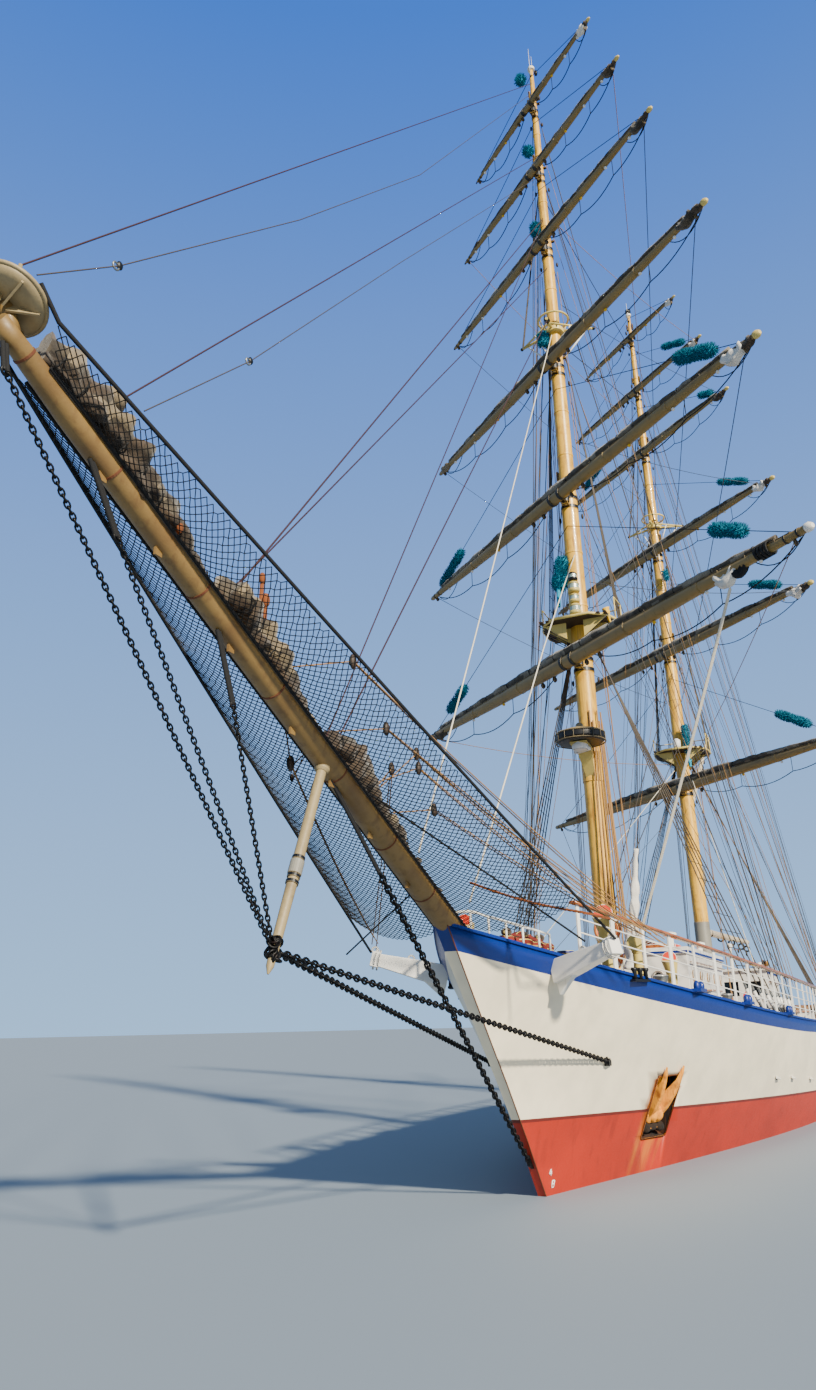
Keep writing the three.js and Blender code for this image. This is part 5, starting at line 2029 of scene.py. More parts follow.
    def ironwork(self) -> None:
        """Aerials, instruments, blocks and coils that the mast carries."""
        maker = MeshMaker()
        truck = TRUCK_Z[self.name]
        maker.box(self.at(-0.02, 0, truck - 0.55), (0.36, 0.06, 0.05), "black_paint")
        if self.name == "fore":
            for px in (-0.18, 0.16):
                maker.rod(
                    self.at(px, 0, truck - 0.6), self.at(px, 0, truck + 0.75), 0.012, "white_paint", 6,
                    0.005,
                )
            maker.lathe(
                self.at(0.0, 0.17, truck - 0.5), UP, ((0, 0.05), (0.12, 0.07), (0.2, 0.05)), "black_paint",
                12,
            )
        else:
            maker.lathe(
                self.at(0, 0, truck - 0.04), UP, ((0, 0.12), (0.16, 0.14), (0.24, 0.13), (0.28, 0.05)),
                "black_paint", 16,
            )
            maker.rod(
                self.at(0.2, 0, truck - 0.5), self.at(0.2, 0, truck + 0.5), 0.012, "white_paint", 6, 0.006
            )
        for z in self.yards:
            r = mast_radius(z)
            for way in SIDES:
                maker.block(self.at(0.02, way * (r + 0.1), z + 0.75), 0.22)
                maker.block(self.at(-0.1, way * (r + 0.1), z - 0.45), 0.18)
        coils = random.Random(7)
        foot = LINES.deck(self.x)
        for i in range(10):
            turn = 2 * math.pi * i / 10 + 0.2
            out = xyz(math.cos(turn), math.sin(turn), 0)
            centre = self.at(0, 0, foot + 1.15) + out * 0.78
            maker.torus(
                centre - xyz(0, 0, 0.24), out, 0.15 + 0.03 * coils.random(), 0.035,
                ("white_rope", "tan_rope")[i % 2], 16, 6,
            )
        fit(maker.build(self.name + "mast_ironwork"), "deck_gear_paint")

    def fife_rail(self) -> None:
        """The rail of belaying pins around the mast's foot."""
        maker = MeshMaker("varnished_wood", "white_paint")
        foot = LINES.deck(self.x)
        turns = ((0.75, 0.75), (-0.75, 0.75), (-0.75, -0.75), (0.75, -0.75))
        corners = [self.at(px, py, foot + 1.0) for px, py in turns]
        for corner in corners:
            maker.box(corner - xyz(0, 0, 0.5), (0.12, 0.12, 1.02), "white_paint")
        for a, b in zip(corners, corners[1:] + corners[:1]):
            middle = (a + b) / 2
            size = (1.62, 0.16, 0.08) if abs(b.x - a.x) > 0.1 else (0.16, 1.62, 0.08)
            maker.box(middle, size, "varnished_wood")
            for share in (0.2, 0.4, 0.6, 0.8):
                here = a.lerp(b, share)
                pin = ((0, 0.012), (0.18, 0.018), (0.24, 0.02), (0.26, 0.03), (0.4, 0.024), (0.44, 0.01))
                maker.lathe(here - xyz(0, 0, 0.22), UP, pin, "varnished_wood", 8)
        fit(maker.build(self.name + "mast_fife_rail", 0.008), "varnished_wood")

    def radar(self) -> None:
        """The radar platform: a ribbed drum under a shallow cone, on a bracket, with a scanner below."""
        maker = MeshMaker()
        x, z = 1.05, 10.3
        drum = ((0, 0.3), (0.0, 0.6), (0.08, 0.68), (0.21, 0.68), (0.23, 0.66), (0.23, 0.6))
        maker.lathe(self.at(x, 0, z - 0.02), UP, drum, "black_paint", 40)
        cone = ((0, 0.68), (0.02, 0.69), (0.05, 0.66), (0.17, 0.3), (0.22, 0.12), (0.3, 0.1), (0.34, 0.05))
        maker.lathe(self.at(x, 0, z + 0.21), UP, cone, "plate_paint", 40)
        maker.torus(self.at(x, 0, z), UP, 0.685, 0.018, "plate_paint", 40, 6)
        for i in range(16):
            turn = 2 * math.pi * i / 16
            out = xyz(math.cos(turn), math.sin(turn), 0) * 0.69
            maker.rod(self.at(x, 0, z) + out, self.at(x, 0, z + 0.22) + out, 0.012, "plate_paint", 5)
        arm = Matrix.Rotation(math.radians(62), 3, "Z")
        maker.box(self.at(x - 0.1, 0, z - 0.2), (0.5, 0.14, 0.1), "white_paint", arm)
        maker.lathe(
            self.at(x + 0.1, 0, z - 0.04), (0, 0, -1), ((0, 0.2), (0.1, 0.23), (0.2, 0.2), (0.24, 0.08)),
            "white_paint", 20,
        )
        r = mast_radius(z)
        rings = []
        for out, low, wide in (
            (r - 0.04, z - 0.85, 0.13), (r + 0.14, z - 0.62, 0.15), (0.75, z - 0.2, 0.2),
            (1.35, z - 0.08, 0.24),
        ):
            corners = ((-wide, low), (wide, low), (wide, z - 0.03), (-wide, z - 0.03))
            rings.append([self.at(out, *corner) for corner in corners])
        maker.loft(rings, "cream_paint", smooth=False)
        maker.collar(self.at(0, 0, z - 0.5), UP, r - 0.01, r + 0.02, 0.42, "mast_paint", 28)
        fit(maker.build("radar_platform_scanner", 0.005), "deck_gear_paint", "radar_platform")

    def build(self) -> None:
        """Makes the mast's pieces."""
        self.stick()
        self.top()
        self.crosstrees()
        self.ironwork()
        self.fife_rail()
        if self.name == "fore":
            self.radar()


@dataclass(frozen=True)
class YardSize:
    """The height, half-length, radius and sail of one yard, and its lifts and braces."""

    name: str
    z: float
    half: float
    radius: float
    sail: float
    lift: float = 0.0
    brace: Triple | None = None


YARDS: dict[str, tuple[YardSize, ...]] = {
    "fore": (
        YardSize("course", 12.85, 8.95, 0.2, 0.2, 4.4, (-3.0, 0.4, 13.2)),
        YardSize("lower_topsail", 18.2, 8.45, 0.18, 0.19, 4.0, (-3.05, 0.32, 15.9)),
        YardSize("upper_topsail", 23.1, 7.5, 0.16, 0.18, 0.0, (-3.1, 0.3, 20.4)),
        YardSize("topgallant", 27.95, 6.0, 0.13, 0.15, 2.6, (-3.15, 0.26, 25.8)),
        YardSize("royal", 31.3, 4.9, 0.11, 0.12, 2.4, (-3.2, 0.2, 29.9)),
        YardSize("skysail", 34.4, 3.75, 0.09, 0.1, 1.6),
    ),
    "main": (
        YardSize("course", 12.05, 9.0, 0.2, 0.2, 4.9, (-7.9, 4.1, 4.1)),
        YardSize("lower_topsail", 17.95, 8.4, 0.18, 0.19, 3.5, (11.7, 0.34, 15.6)),
        YardSize("upper_topsail", 22.85, 7.45, 0.16, 0.18, 3.7, (11.75, 0.3, 20.6)),
        YardSize("topgallant", 28.05, 5.85, 0.13, 0.15, 2.7, (11.8, 0.26, 25.9)),
        YardSize("royal", 31.55, 4.75, 0.11, 0.12, 2.3, (11.85, 0.2, 29.6)),
        YardSize("skysail", 34.7, 3.5, 0.09, 0.1, 1.4),
    ),
}


@dataclass
class Yard:
    """One yard with its furled sail, footropes, lifts and braces."""

    mast: str
    size: YardSize
    hang: float = 0.6
    scallops: int = 3

    @property
    def body(self) -> str:
        """The name of the yard's body."""
        return f"{self.mast}_{self.size.name}_yard"

    @property
    def pin(self) -> Vector:
        """The middle of the truss pin."""
        return xyz(MAST_X[self.mast] + mast_radius(self.size.z) + TRUSS_REACH, 0, self.size.z)

    def frame(self) -> Matrix:
        """The turn and place of the spar, which lies along Y at the frame's origin."""
        out = Matrix.Translation((self.size.radius + TRUSS_ARM, 0, 0))
        return Matrix.Translation(self.pin) @ Matrix.Rotation(-BRACE_ANGLE, 4, "Z") @ out

    def girth(self, share: float) -> float:
        """The spar's radius at a share of its half-length.

        Args:
            share: A share of the half-length, from -1 to 1.

        Returns:
            The radius.
        """
        share = abs(share)
        if share < 0.2:
            return self.size.radius
        if share < 0.55:
            return self.size.radius * between(1, 0.85, (share - 0.2) / 0.35)
        return self.size.radius * between(0.85, 0.45, (share - 0.55) / 0.45)

    def spar(self) -> None:
        """The tube with its bands, jackstay, truss and end fittings."""
        size = self.size
        maker = MeshMaker()
        maker.turn = self.frame()
        shares = [-1 + i / 12 for i in range(25)]
        maker.tube(
            [(0, s * size.half, 0) for s in shares], [self.girth(s) for s in shares], "yard_paint", 16
        )
        for share in (-0.97, -0.93, -0.62, -0.3, 0.3, 0.62, 0.93, 0.97):
            r = self.girth(share)
            dark = abs(share) > 0.9
            maker.collar(
                (0, share * size.half, 0), (0, 1, 0), r - 0.01, r + 0.012, 0.03,
                "black_paint" if dark else "yard_paint", 16,
            )
        for way in SIDES:
            maker.collar(
                (0, way * 0.24, 0), (0, 1, 0), size.radius - 0.01, size.radius + 0.022, 0.06, "black_paint",
                20,
            )
        r = self.girth(1)
        cap = "white_paint" if self.course else "cream_paint"
        maker.lathe(
            (0, size.half - 0.06, 0), (0, 1, 0),
            ((0, r), (0.0, r + 0.02), (0.1, r + 0.02), (0.17, r * 0.7)), cap, 16,
        )
        maker.lathe(
            (0, -size.half + 0.06, 0), (0, -1, 0), ((0, r), (0.12, r * 0.7), (0.17, 0.02)), "dark_wood", 16
        )
        reach = size.radius + TRUSS_ARM
        maker.box(
            (-(size.radius + reach - 0.09) / 2, 0, 0), (reach - size.radius, 0.16, 0.2), "black_paint"
        )
        maker.box((-size.radius * 0.6, 0, 0), (size.radius * 0.9, 0.6, 0.12), "black_paint")
        maker.collar((-reach, 0, 0), UP, 0.056, 0.12, EYE_HALF, "black_paint", 24)
        rail = xyz(size.radius * 0.75, 0, size.radius * 0.72)
        for way in SIDES:
            maker.tube(
                [rail * self.bulk(s) + xyz(0, way * s * size.half, 0) for s in (0.03, 0.2, 0.55, 0.95)],
                0.014, "black_paint", 5
            )
        steps = round(size.half / 0.9)
        for i in range(-steps + 1, steps):
            share = i / steps
            here = rail * (0.9 * self.bulk(share)) + xyz(0, share * size.half, 0)
            maker.box(here, (0.06, 0.03, 0.06), "dark_wood")
        for share in (0.42, 0.64, 0.84):
            for way in SIDES:
                below = -self.girth(share) - 0.05
                maker.ball(
                    (0, way * share * size.half, below), (0.1, 0.1, 0.1),
                    "signal_yellow" if share == 0.42 else "white_paint", 6, 10,
                )
        for share in (0.09, 0.16):
            for way in SIDES:
                maker.block((0.02, way * share * size.half, -self.girth(share) - 0.13), 0.2)
        for way in SIDES:
            maker.block((0, way * 0.955 * size.half, -0.18), 0.18)
        fit(maker.build(self.body + "_spar", 0.004), "yard_paint", self.body, body=self.body)

    @property
    def course(self) -> bool:
        """Whether this is the lowest yard of the foremast."""
        return self.mast == "fore" and self.size.name == "course"

    def bulk(self, share: float) -> float:
        """The spar's radius at a share, as a share of its middle radius."""
        return self.girth(share) / self.size.radius

    def roll(self) -> Roll:
        """The furled sail on top of the spar.

        Returns:
            The roll.
        """
        size = self.size

        def radius(share: float) -> float:
            """The radius of the roll at a share of its length."""
            return size.sail * between(0.66, 0.34, abs(2 * share - 1) ** 1.5)

        def centre(share: float) -> Vector:
            """The middle of the roll at a share of its length."""
            side = (2 * share - 1) * 0.9
            return self.frame() @ xyz(0.02, side * size.half, self.girth(side) + 0.8 * radius(share))

        seed = size.z * 3.7 + MAST_X[self.mast]
        return Roll(centre, radius, size.half * 1.8, gap=1.3, sides=14, step=0.15, fold=0.42, seed=seed)

    def sail(self) -> None:
        """The rolled canvas and its gaskets."""
        size, roll = self.size, self.roll()
        maker = MeshMaker("dirty_canvas", "furled_canvas")
        roll.add_to(maker, "dirty_canvas")
        for i, face in enumerate(maker.faces):
            if noise.noise(maker.points[face[0]] * 1.7) > 0.05:
                maker.marks[i] = 1
        piece = maker.build(self.body + "_canvas")
        fit(piece, "furled_canvas", f"{self.mast}_{size.name}_furled", body=self.body)
        bands = Ropes("black_rope", 5)
        for share in roll.gaskets():
            size_here = roll.radius(share) * 0.86
            ring = ring_points(roll.centre(share), self.frame().to_3x3() @ xyz(1, 0, 0), UP, size_here, 14)
            bands.line(ring, 0.012, looped=True)
        self.footropes(bands)
        self.lifts(bands)
        fit(bands.build(self.body + "_gaskets_and_footropes"), "black_chain", body=self.body)

    def footropes(self, ropes: Ropes) -> None:
        """Adds the footropes, which hang in scallops from stirrups on both arms.

        Args:
            ropes: The bundle to add to.
        """
        frame, half = self.frame(), self.size.half
        back = -self.size.radius * 0.8
        for way in SIDES:
            stops = [between(0.96, 0.1, i / self.scallops) * half for i in range(self.scallops + 1)]
            drops = [0.05] + [self.hang] * (self.scallops - 1) + [0.1]
            for (y0, y1), (d0, d1) in zip(zip(stops, stops[1:]), zip(drops, drops[1:])):
                line = sagging((back, way * y0, -d0), (back, way * y1, -d1), 0.2, 8)
                ropes.line(line, 0.016, turn=frame)
            for y, drop in list(zip(stops, drops))[1:-1]:
                ropes.line([(back, way * y, 0), (back, way * y, -drop)], 0.012, turn=frame)
            ropes.line(
                sagging((back, way * half * 0.97, 0), (back, way * half * 0.8, 0), 0.34, 8), 0.014,
                turn=frame,
            )

    def lift_point(self, way: int, share: float) -> Vector:
        """A point of a lift, from the end of the yard to the axis that the yard turns about.

        Args:
            way: 1 for the port arm, -1 for the starboard arm.
            share: A share of the way from the end of the yard to its axis.

        Returns:
            The point.
        """
        end = xyz(0, way * 0.96 * self.size.half, 0.05)
        top = xyz(-(self.size.radius + TRUSS_ARM), 0, self.size.lift)
        return self.frame() @ end.lerp(top, share)

    def lifts(self, ropes: Ropes) -> None:
        """Adds the two lifts.

        Args:
            ropes: The bundle to add to.
        """
        if self.size.lift:
            for way in SIDES:
                ropes.line([self.lift_point(way, 0), self.lift_point(way, 1)], 0.011)

    def bundles(self) -> None:
        """The crumpled canvas and lashings towards the two ends of the yard."""
        half, frame = self.size.half, self.frame()
        maker = MeshMaker()
        swell = 0.45 + 0.55 * self.size.radius / 0.2
        size_name = self.size.name
        pale = size_name in ("lower_topsail", "skysail") or (
            self.mast == "main" and size_name != "topgallant"
        )
        # from, to, drop, radius and finish of each lump
        lumps = [
            (0.87, 0.95, -0.12, 0.19, "white_canvas" if pale else "dirty_canvas"),
            (0.945, 0.985, -0.06, 0.14, "brown_canvas"),
        ]
        if self.course:
            lumps = [
                (0.69, 0.755, -0.2, 0.2, "white_canvas"), (0.75, 0.79, -0.22, 0.14, "black_rope"),
                (-0.95, -0.86, -0.1, 0.17, "dirty_canvas"),
            ]
        if size_name == "upper_topsail":
            lumps += [(-0.97, -0.9, -0.02, 0.14, "cream_canvas")]
        elif size_name in ("topgallant", "royal"):
            lumps += [(-0.82, -0.76, 0.1, 0.12, "brown_canvas")]
        for low, high, drop, thick, finish in lumps:

            def centre(share: float, a: float = low, b: float = high, fall: float = drop) -> Vector:
                """The middle of the lump at a share of its length."""
                return frame @ xyz(0.02, between(a, b, share) * half, fall * math.sin(math.pi * share))

            def radius(share: float, full: float = thick * swell) -> float:
                """The radius of the lump at a share of its length."""
                return full * (0.35 + 0.65 * math.sin(math.pi * (0.08 + 0.84 * share)) ** 0.5)

            lump = Roll(
                centre, radius, abs(high - low) * half, gap=0.35, sides=14, step=0.06, fold=0.8,
                seed=self.size.z + low * 9,
            )
            lump.add_to(maker, finish)
        if self.course:
            maker.turn = frame
            for share in (0.84, 0.852, 0.864, 0.876):
                maker.collar((0, share * half, 0.02), (0, 1, 0), 0.15, 0.19, 0.035, "black_rope", 16)
        piece = maker.build(self.body + "_end_bundles")
        fit(piece, "furled_canvas", body=self.body)

    def braces(self) -> None:
        """The two braces, from the ends of the yard to what they are made fast to."""
        if not self.size.brace:
            return
        frame = self.frame()
        x, y, z = self.size.brace
        for way, side in ((1, "port"), (-1, "starboard")):
            start = xyz(x, way * y, z)
            end = frame @ xyz(0, way * 0.955 * self.size.half, -0.12)
            ropes = Ropes("tan_rope" if self.size.name in ("course", "royal") else "blue_rope", 4)
            ropes.line(sagging(start, end, 0.25, 24), 0.012)
            piece = ropes.build(f"{self.mast}_{self.size.name}_brace_{side}")
            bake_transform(piece)
            LOG.info("%s bends between ship and %s", piece.name, self.body)

    def build(self) -> None:
        """Makes the yard's pieces."""
        self.spar()
        self.sail()
        self.bundles()
        self.braces()


@dataclass(frozen=True)
class WireSet:
    """Stays of one finish that make one piece.

    Each wire is its radius and its two ends.
    """

    name: str
    finish: str
    flats: int
    wires: tuple[tuple[float, Point, Point], ...]
    node: str = ""

    def build(self) -> None:
        """Makes the piece."""
        ropes = Ropes(self.finish, self.flats)
        for radius, start, end in self.wires:
            ropes.line([start, end], radius)
        fit(ropes.build(self.name), "wire_rope", *filter(None, (self.node,)))


@dataclass
class Rigging:
    """The shrouds, ratlines, stays and running lines that the ship's frame carries."""

    ratline_gap: float = 0.45
    lower_ends: tuple[float, ...] = (-0.6, -1.25, -1.9, -2.55, -3.2)
    backstay_ends: tuple[float, ...] = (-3.8, -4.3, -4.8, -5.3)
    head_wires: tuple[WireSet, ...] = (
        WireSet("head_stays", "red_wire", 6, (
            (0.012, (33.5, 0, 10.44), (12.1, 0, 35.9)), (0.012, (32.45, 0, 9.18), (12.1, 0, 32.35)),
            (0.012, (29.9, 0, 8.05), (12.14, 0, 27.3)), (0.012, (27.27, 0, 6.85), (12.16, 0, 29.35)),
            (0.014, (29.86, 0, bowsprit_z(29.86) + 0.1), (12.1, 0, 29.5)),
        ), "topgallant_stay"),
        WireSet("fore_topmast_stay_wire", "red_wire", 6, (
            (0.014, (27.07, 0, bowsprit_z(27.07) + 0.1), (12.76, 0, 24.66)),
        ), "topmast_stay"),
    )
    mast_wires: tuple[WireSet, ...] = (
        WireSet("main_stay_wire", "dark_wire", 6, ((0.017, (-2.5, 0, 13.7), (12, 0, 5.6)),), "main_stay"),
        WireSet("stays_between_masts", "dark_wire", 5, (
            (0.015, (11.8, 0, 14.3), (-3.05, 0, 24.05)), (0.015, (11.82, 0, 24.5), (-3.12, 0, 30.9)),
            (0.015, (11.88, 0, 30.6), (-3.2, 0, 34.1)), (0.015, (11.7, 0.15, 6.4), (-3.0, 0.1, 17.2)),
        )),
    )
    halyards: tuple[Path, ...] = (
        ((33.28, 0, 10.49), (32.12, 0, 11.53), (28.16, 0, 15.62), (23.02, 0, 21.35), (12.2, 0, 35.3)),
        ((31.5, 0, 9.9), (29.4, 0, 12.0), (24.2, 0, 17.9), (12.2, 0, 31.3)),
    )

    def rail_point(self, x: float, side: int, rise: float = 0.1) -> Vector:
        """A point on top of the bulwark."""
        return xyz(x, side * (LINES.rail_half(x) - 0.12), LINES.sheer(x) + rise)

    def ladder(
        self, ropes: Ropes, shrouds: Sequence[tuple[Vector, Vector]], low: float, high: float
    ) -> None:
        """Adds ratlines across neighbouring shrouds between two heights.

        Args:
            ropes: The bundle to add to.
            shrouds: The foot and head of each shroud.
            low: The lowest height.
            high: The highest height.
        """
        z = low
        while z < high:
            steps = [a.lerp(b, (z - a.z) / (b.z - a.z)) for a, b in shrouds]
            ropes.line(steps, 0.009)
            z += self.ratline_gap

    def shrouds(self, mast: str) -> None:
        """The shrouds and backstays of one mast, with their ratlines and screws.

        Args:
            mast: The mast's name.
        """
        x, top, trees, truck = MAST_X[mast], TOP_Z[mast], CROSSTREES_Z[mast], TRUCK_Z[mast]
        wires, rungs, screws = Ropes("dark_wire", 5), Ropes("black_rope", 4), MeshMaker()
        heads = (trees - 0.1, trees + 3.0, truck - 5.7, truck - 2.6)
        for side in SIDES:
            lower = [
                (self.rail_point(x + end, side), xyz(x - 0.2, side * 0.3, top - 0.3 - 0.05 * i))
                for i, end in enumerate(self.lower_ends)
            ]
            middle = [
                (
                    xyz(x - 0.42 - 0.17 * i, side * 1.08, top + 0.08),
                    xyz(x - 0.12, side * 0.24, trees - 0.25 - 0.05 * i),
                )
                for i in range(4)
            ]
            upper = [
                (
                    xyz(x - 0.3 - 0.06 * i, side * 1.22, trees + 0.12),
                    xyz(x - 0.1, side * 0.14, truck - 5.9 - 0.05 * i),
                )
                for i in range(3)
            ]
            back = [
                (self.rail_point(x + end, side), xyz(x - 0.08, side * 0.12, head))
                for end, head in zip(self.backstay_ends, heads)
            ]
            back.append((self.rail_point(x - 3.5, side), xyz(x - 0.1, side * 0.2, top + 4.6)))
            for group, girth in ((lower, 0.018), (middle, 0.015), (upper, 0.012), (back, 0.014)):
                for ends in group:
                    wires.line(ends, girth)
            self.ladder(rungs, lower, LINES.sheer(x - 2) + 0.7, top - 0.9)
            self.ladder(rungs, middle, top + 0.5, trees - 0.8)
            self.ladder(rungs, upper, trees + 0.6, trees + 5.2)
            for foot, head in lower + back:
                along = (head - foot).normalized()
                screws.rod(foot - along * 0.08, foot + along * 0.55, 0.035, "galvanised", 8)
                screws.rod(foot + along * 0.12, foot + along * 0.4, 0.05, "white_paint", 8)
                screws.box(foot - UP * 0.12, (0.12, 0.04, 0.22), "black_paint")
        for gear, name in ((wires, "_shrouds"), (rungs, "_ratlines"), (screws, "_rigging_screws")):
            fit(gear.build(mast + name), "wire_rope")

    def stays(self) -> None:
        """The stays in the centre plane, and the halyards and downhauls beside the forward ones."""
        for wires in self.head_wires:
            wires.build()
        self.halyard_gear()
        for wires in self.mast_wires:
            wires.build()

    def halyard_gear(self) -> None:
        """The headsails' halyards and the shackles on their stays."""
        maker = MeshMaker()
        maker.collar((12.76, 0, 24.66), (1, 0, 0), 0.05, 0.085, 0.06, "black_paint", 16)
        halyards = Ropes("dark_wire", 5)
        for path in self.halyards:
            halyards.line(path, 0.009)
            shackle = Vector(path[1])
            maker.ball(shackle, (0.1, 0.06, 0.12), "black_paint", 6, 8)
            maker.torus(shackle + xyz(0.06, 0, -0.05), (0, 1, 0), 0.05, 0.014, "galvanised", 12, 5)
        fit(halyards.build("headsail_halyards"), "wire_rope")
        fit(maker.build("stay_shackles"), "wire_rope")

    def running(self) -> None:
        """The light lines: halyards and buntlines down the masts, and white falls to the foredeck."""
        white, tan, blue = Ropes("white_rope", 5), Ropes("tan_rope", 5), Ropes("blue_rope", 4)
        white.line([(12.55, 0.05, 24.2), (21.2, 0.1, 10.54), (24.3, 0.12, 5.75)], 0.016)
        white.line([(12.3, 0.1, 16.3), (13.8, 0.1, 14.7), (16.3, 0.1, 11.95), (22.6, 0.3, 5.1)], 0.018)
        for mast in ("fore", "main"):
            x, foot = MAST_X[mast], LINES.deck(MAST_X[mast])
            for side in SIDES:
                for i in range(4):
                    height = (11.2, 17.4, 22.3, 27.2)[i]
                    pin = xyz(x - 0.75 + 0.12 * i, side * 0.75, foot + 1.05)
                    tan.line([xyz(x - 0.1, side * (mast_radius(height) + 0.08), height), pin], 0.011)
                for i in range(9):
                    end = self.rail_point(x - (2.4 if i < 2 else 1.9) - 0.38 * i, side, 0.95)
                    height = (16.9, 17.3, 21.6, 22.2, 26.8, 27.3, 30.4, 30.9, 33.8)[i]
                    blue.line([xyz(x - 0.35, side * (mast_radius(height) + 0.02), height), end], 0.008)
                for i in range(5):
                    end = self.rail_point(
                        x - (4.4 + 0.45 * i if mast == "fore" else 0.5 + 0.2 * i), side, 0.9
                    )
                    height = (13.2, 18.9, 23.9, 29.0, 32.2)[i]
                    tan.line([xyz(x - 0.15, side * 0.2, height), end], 0.009)
        for i in range(8):
            turn = 0.35 + 0.22 * i
            out = xyz(math.cos(turn) * 0.33, math.sin(turn) * 0.36, 0)
            top = xyz(12, 0, 11.4 - 0.3 * (i % 3)) + out
            tan.line([top, xyz(12, 0, 8) + out * 1.25, xyz(12, 0, 4.6) + out * 1.6], 0.022)
        for side in SIDES:
            white.line([(-2.9, side * 0.3, 12.9), (10.4, side * 3.5, LINES.sheer(10.4) + 0.9)], 0.014)
            blue.line([(-2.9, side * 0.2, 11.4), (7.9, side * 3.9, LINES.sheer(8) + 1.0)], 0.01)
        fit(white.build("white_falls"), "wire_rope")
        fit(tan.build("halyard_falls"), "wire_rope")
        fit(blue.build("buntlines_and_clewlines"), "wire_rope")
        roll = Roll(
            centre=lambda s: xyz(12.9, between(0.75, 1.19, s), between(4.3, 7.3, s)),
            radius=lambda s: 0.16 * (1.15 - 0.75 * s),
            length=3.0, gap=0.5, sides=14, step=0.08, fold=0.5, seed=6,
        )
        sail = MeshMaker()
        roll.add_to(sail, "white_canvas")
        piece = sail.build("furled_staysail_at_the_foremast")
        fit(piece, "furled_canvas")
        yard = Yard("fore", YARDS["fore"][0])
        top, low = yard.frame() @ xyz(0.1, 6.6, -0.45), xyz(12.7, 0.8, 4.6)
        tackle = Ropes("white_rope", 5)
        for shift in (-0.09, 0.0, 0.09):
            tackle.line(sagging(low + xyz(shift, 0, 0), top + xyz(shift, 0, 0), 0.1, 24), 0.018)
        piece = tackle.build("yard_tackle")
        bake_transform(piece)

    def tufts(self) -> None:
        """The teal chafing gear: fuzzy cylinders and balls on the wires and masts, and a few rags."""
        groups: dict[str, MeshMaker] = {}
        # start, end and radius of each on the masts
        for start, end, girth in (
            ((12.15, -0.42, 36.15), (12.15, -0.36, 36.3), 0.19),
            ((12.15, -0.36, 32.6), (12.15, -0.3, 32.75), 0.19),
            ((12.15, -0.3, 28.9), (12.15, -0.3, 29.25), 0.16),
            ((12.15, -0.33, 24.25), (12.15, -0.33, 24.6), 0.19),
            ((12.15, -0.3, 16.3), (12.15, -0.5, 15.4), 0.2),
            ((-2.75, 0.35, 21.95), (-2.72, 0.35, 21.55), 0.13),
            ((-2.75, 0.35, 14.75), (-2.75, 0.4, 13.5), 0.12),
        ):
            self.sausage(groups.setdefault("ship", MeshMaker()), Vector(start), Vector(end), girth)
        # mast, yard, side, radius, and where it starts and ends on the lift from the yard's end
        for mast, name, way, girth, first, last in (
            ("main", "upper_topsail", 1, 0.1, 0.14, 0.36),
            ("fore", "course", 1, 0.13, 0.17, 0.29),
            ("main", "lower_topsail", 1, 0.12, 0.14, 0.32),
            ("main", "course", 1, 0.12, 0.16, 0.33),
            ("fore", "lower_topsail", -1, 0.11, 0.05, 0.24),
            ("fore", "course", -1, 0.12, 0.13, 0.26),
            ("fore", "lower_topsail", 1, 0.14, 0.13, 0.3),
            ("main", "royal", 1, 0.11, 0.18, 0.5),
            ("main", "topgallant", 1, 0.11, 0.11, 0.25),
            ("main", "topgallant", -1, 0.11, 0.2, 0.45),
        ):
            yard = Yard(mast, next(size for size in YARDS[mast] if size.name == name))
            place = [yard.lift_point(way, share) for share in (first, last)]
            self.sausage(groups.setdefault(yard.body, MeshMaker()), *place, girth)
        for body, maker in groups.items():
            source = maker.build(body + "_tuft_roots")
            values = {"Density": 3000.0, "Length": 0.045, "Seed": 5, "Finish": FINISHES.get("teal_fibre")}
            piece = NodesKit.run(source, NodesKit.tuft_tree(), values, body + "_chafing_gear")
            fit(piece, "furled_canvas", body=body)
        rags = MeshMaker()
        for start, end, girth, finish in (
            ((12.2, -0.45, 16.3), (12.25, -0.55, 14.75), 0.1, "cyan_cloth"),
            ((-2.7, 0.38, 13.35), (-2.68, 0.42, 12.95), 0.09, "cyan_cloth"),
            ((12.45, 0.9, 14.35), (12.4, 1.0, 13.9), 0.08, "signal_yellow"),
        ):
            cloth = Roll(
                centre=lambda s, a=Vector(start), b=Vector(end): a.lerp(b, s),
                radius=lambda s, r=girth: r * (1.2 - 0.7 * s),
                length=0.6, gap=0.2, sides=10, step=0.05, fold=0.9, seed=start[2],
            )
            cloth.add_to(rags, finish)
        fit(rags.build("rags_on_the_masts"), "furled_canvas")

    def sausage(self, maker: MeshMaker, start: Vector, end: Vector, girth: float) -> None:
        """Adds one neat cylinder of yarn with rounded ends.

        Args:
            maker: The mesh to add to.
            start: Where it starts.
            end: Where it ends.
            girth: Its radius.
        """
        along = (end - start).normalized()
        length = (end - start).length + 0.6 * girth
        roll = Roll(
            centre=lambda s: start - along * (0.3 * girth) + along * (length * s),
            radius=lambda s: girth * max(0.02, 1 - abs(2 * s - 1) ** 8) ** 0.5,
            length=length, gap=5.0, sides=12, step=0.06, fold=0.12, seed=start.x,
        )
        roll.add_to(maker, "teal_fibre")

    def build(self) -> None:
        """Makes the rigging's pieces."""
        for mast in ("fore", "main"):
            self.shrouds(mast)
        self.stays()
        self.running()
        self.tufts()


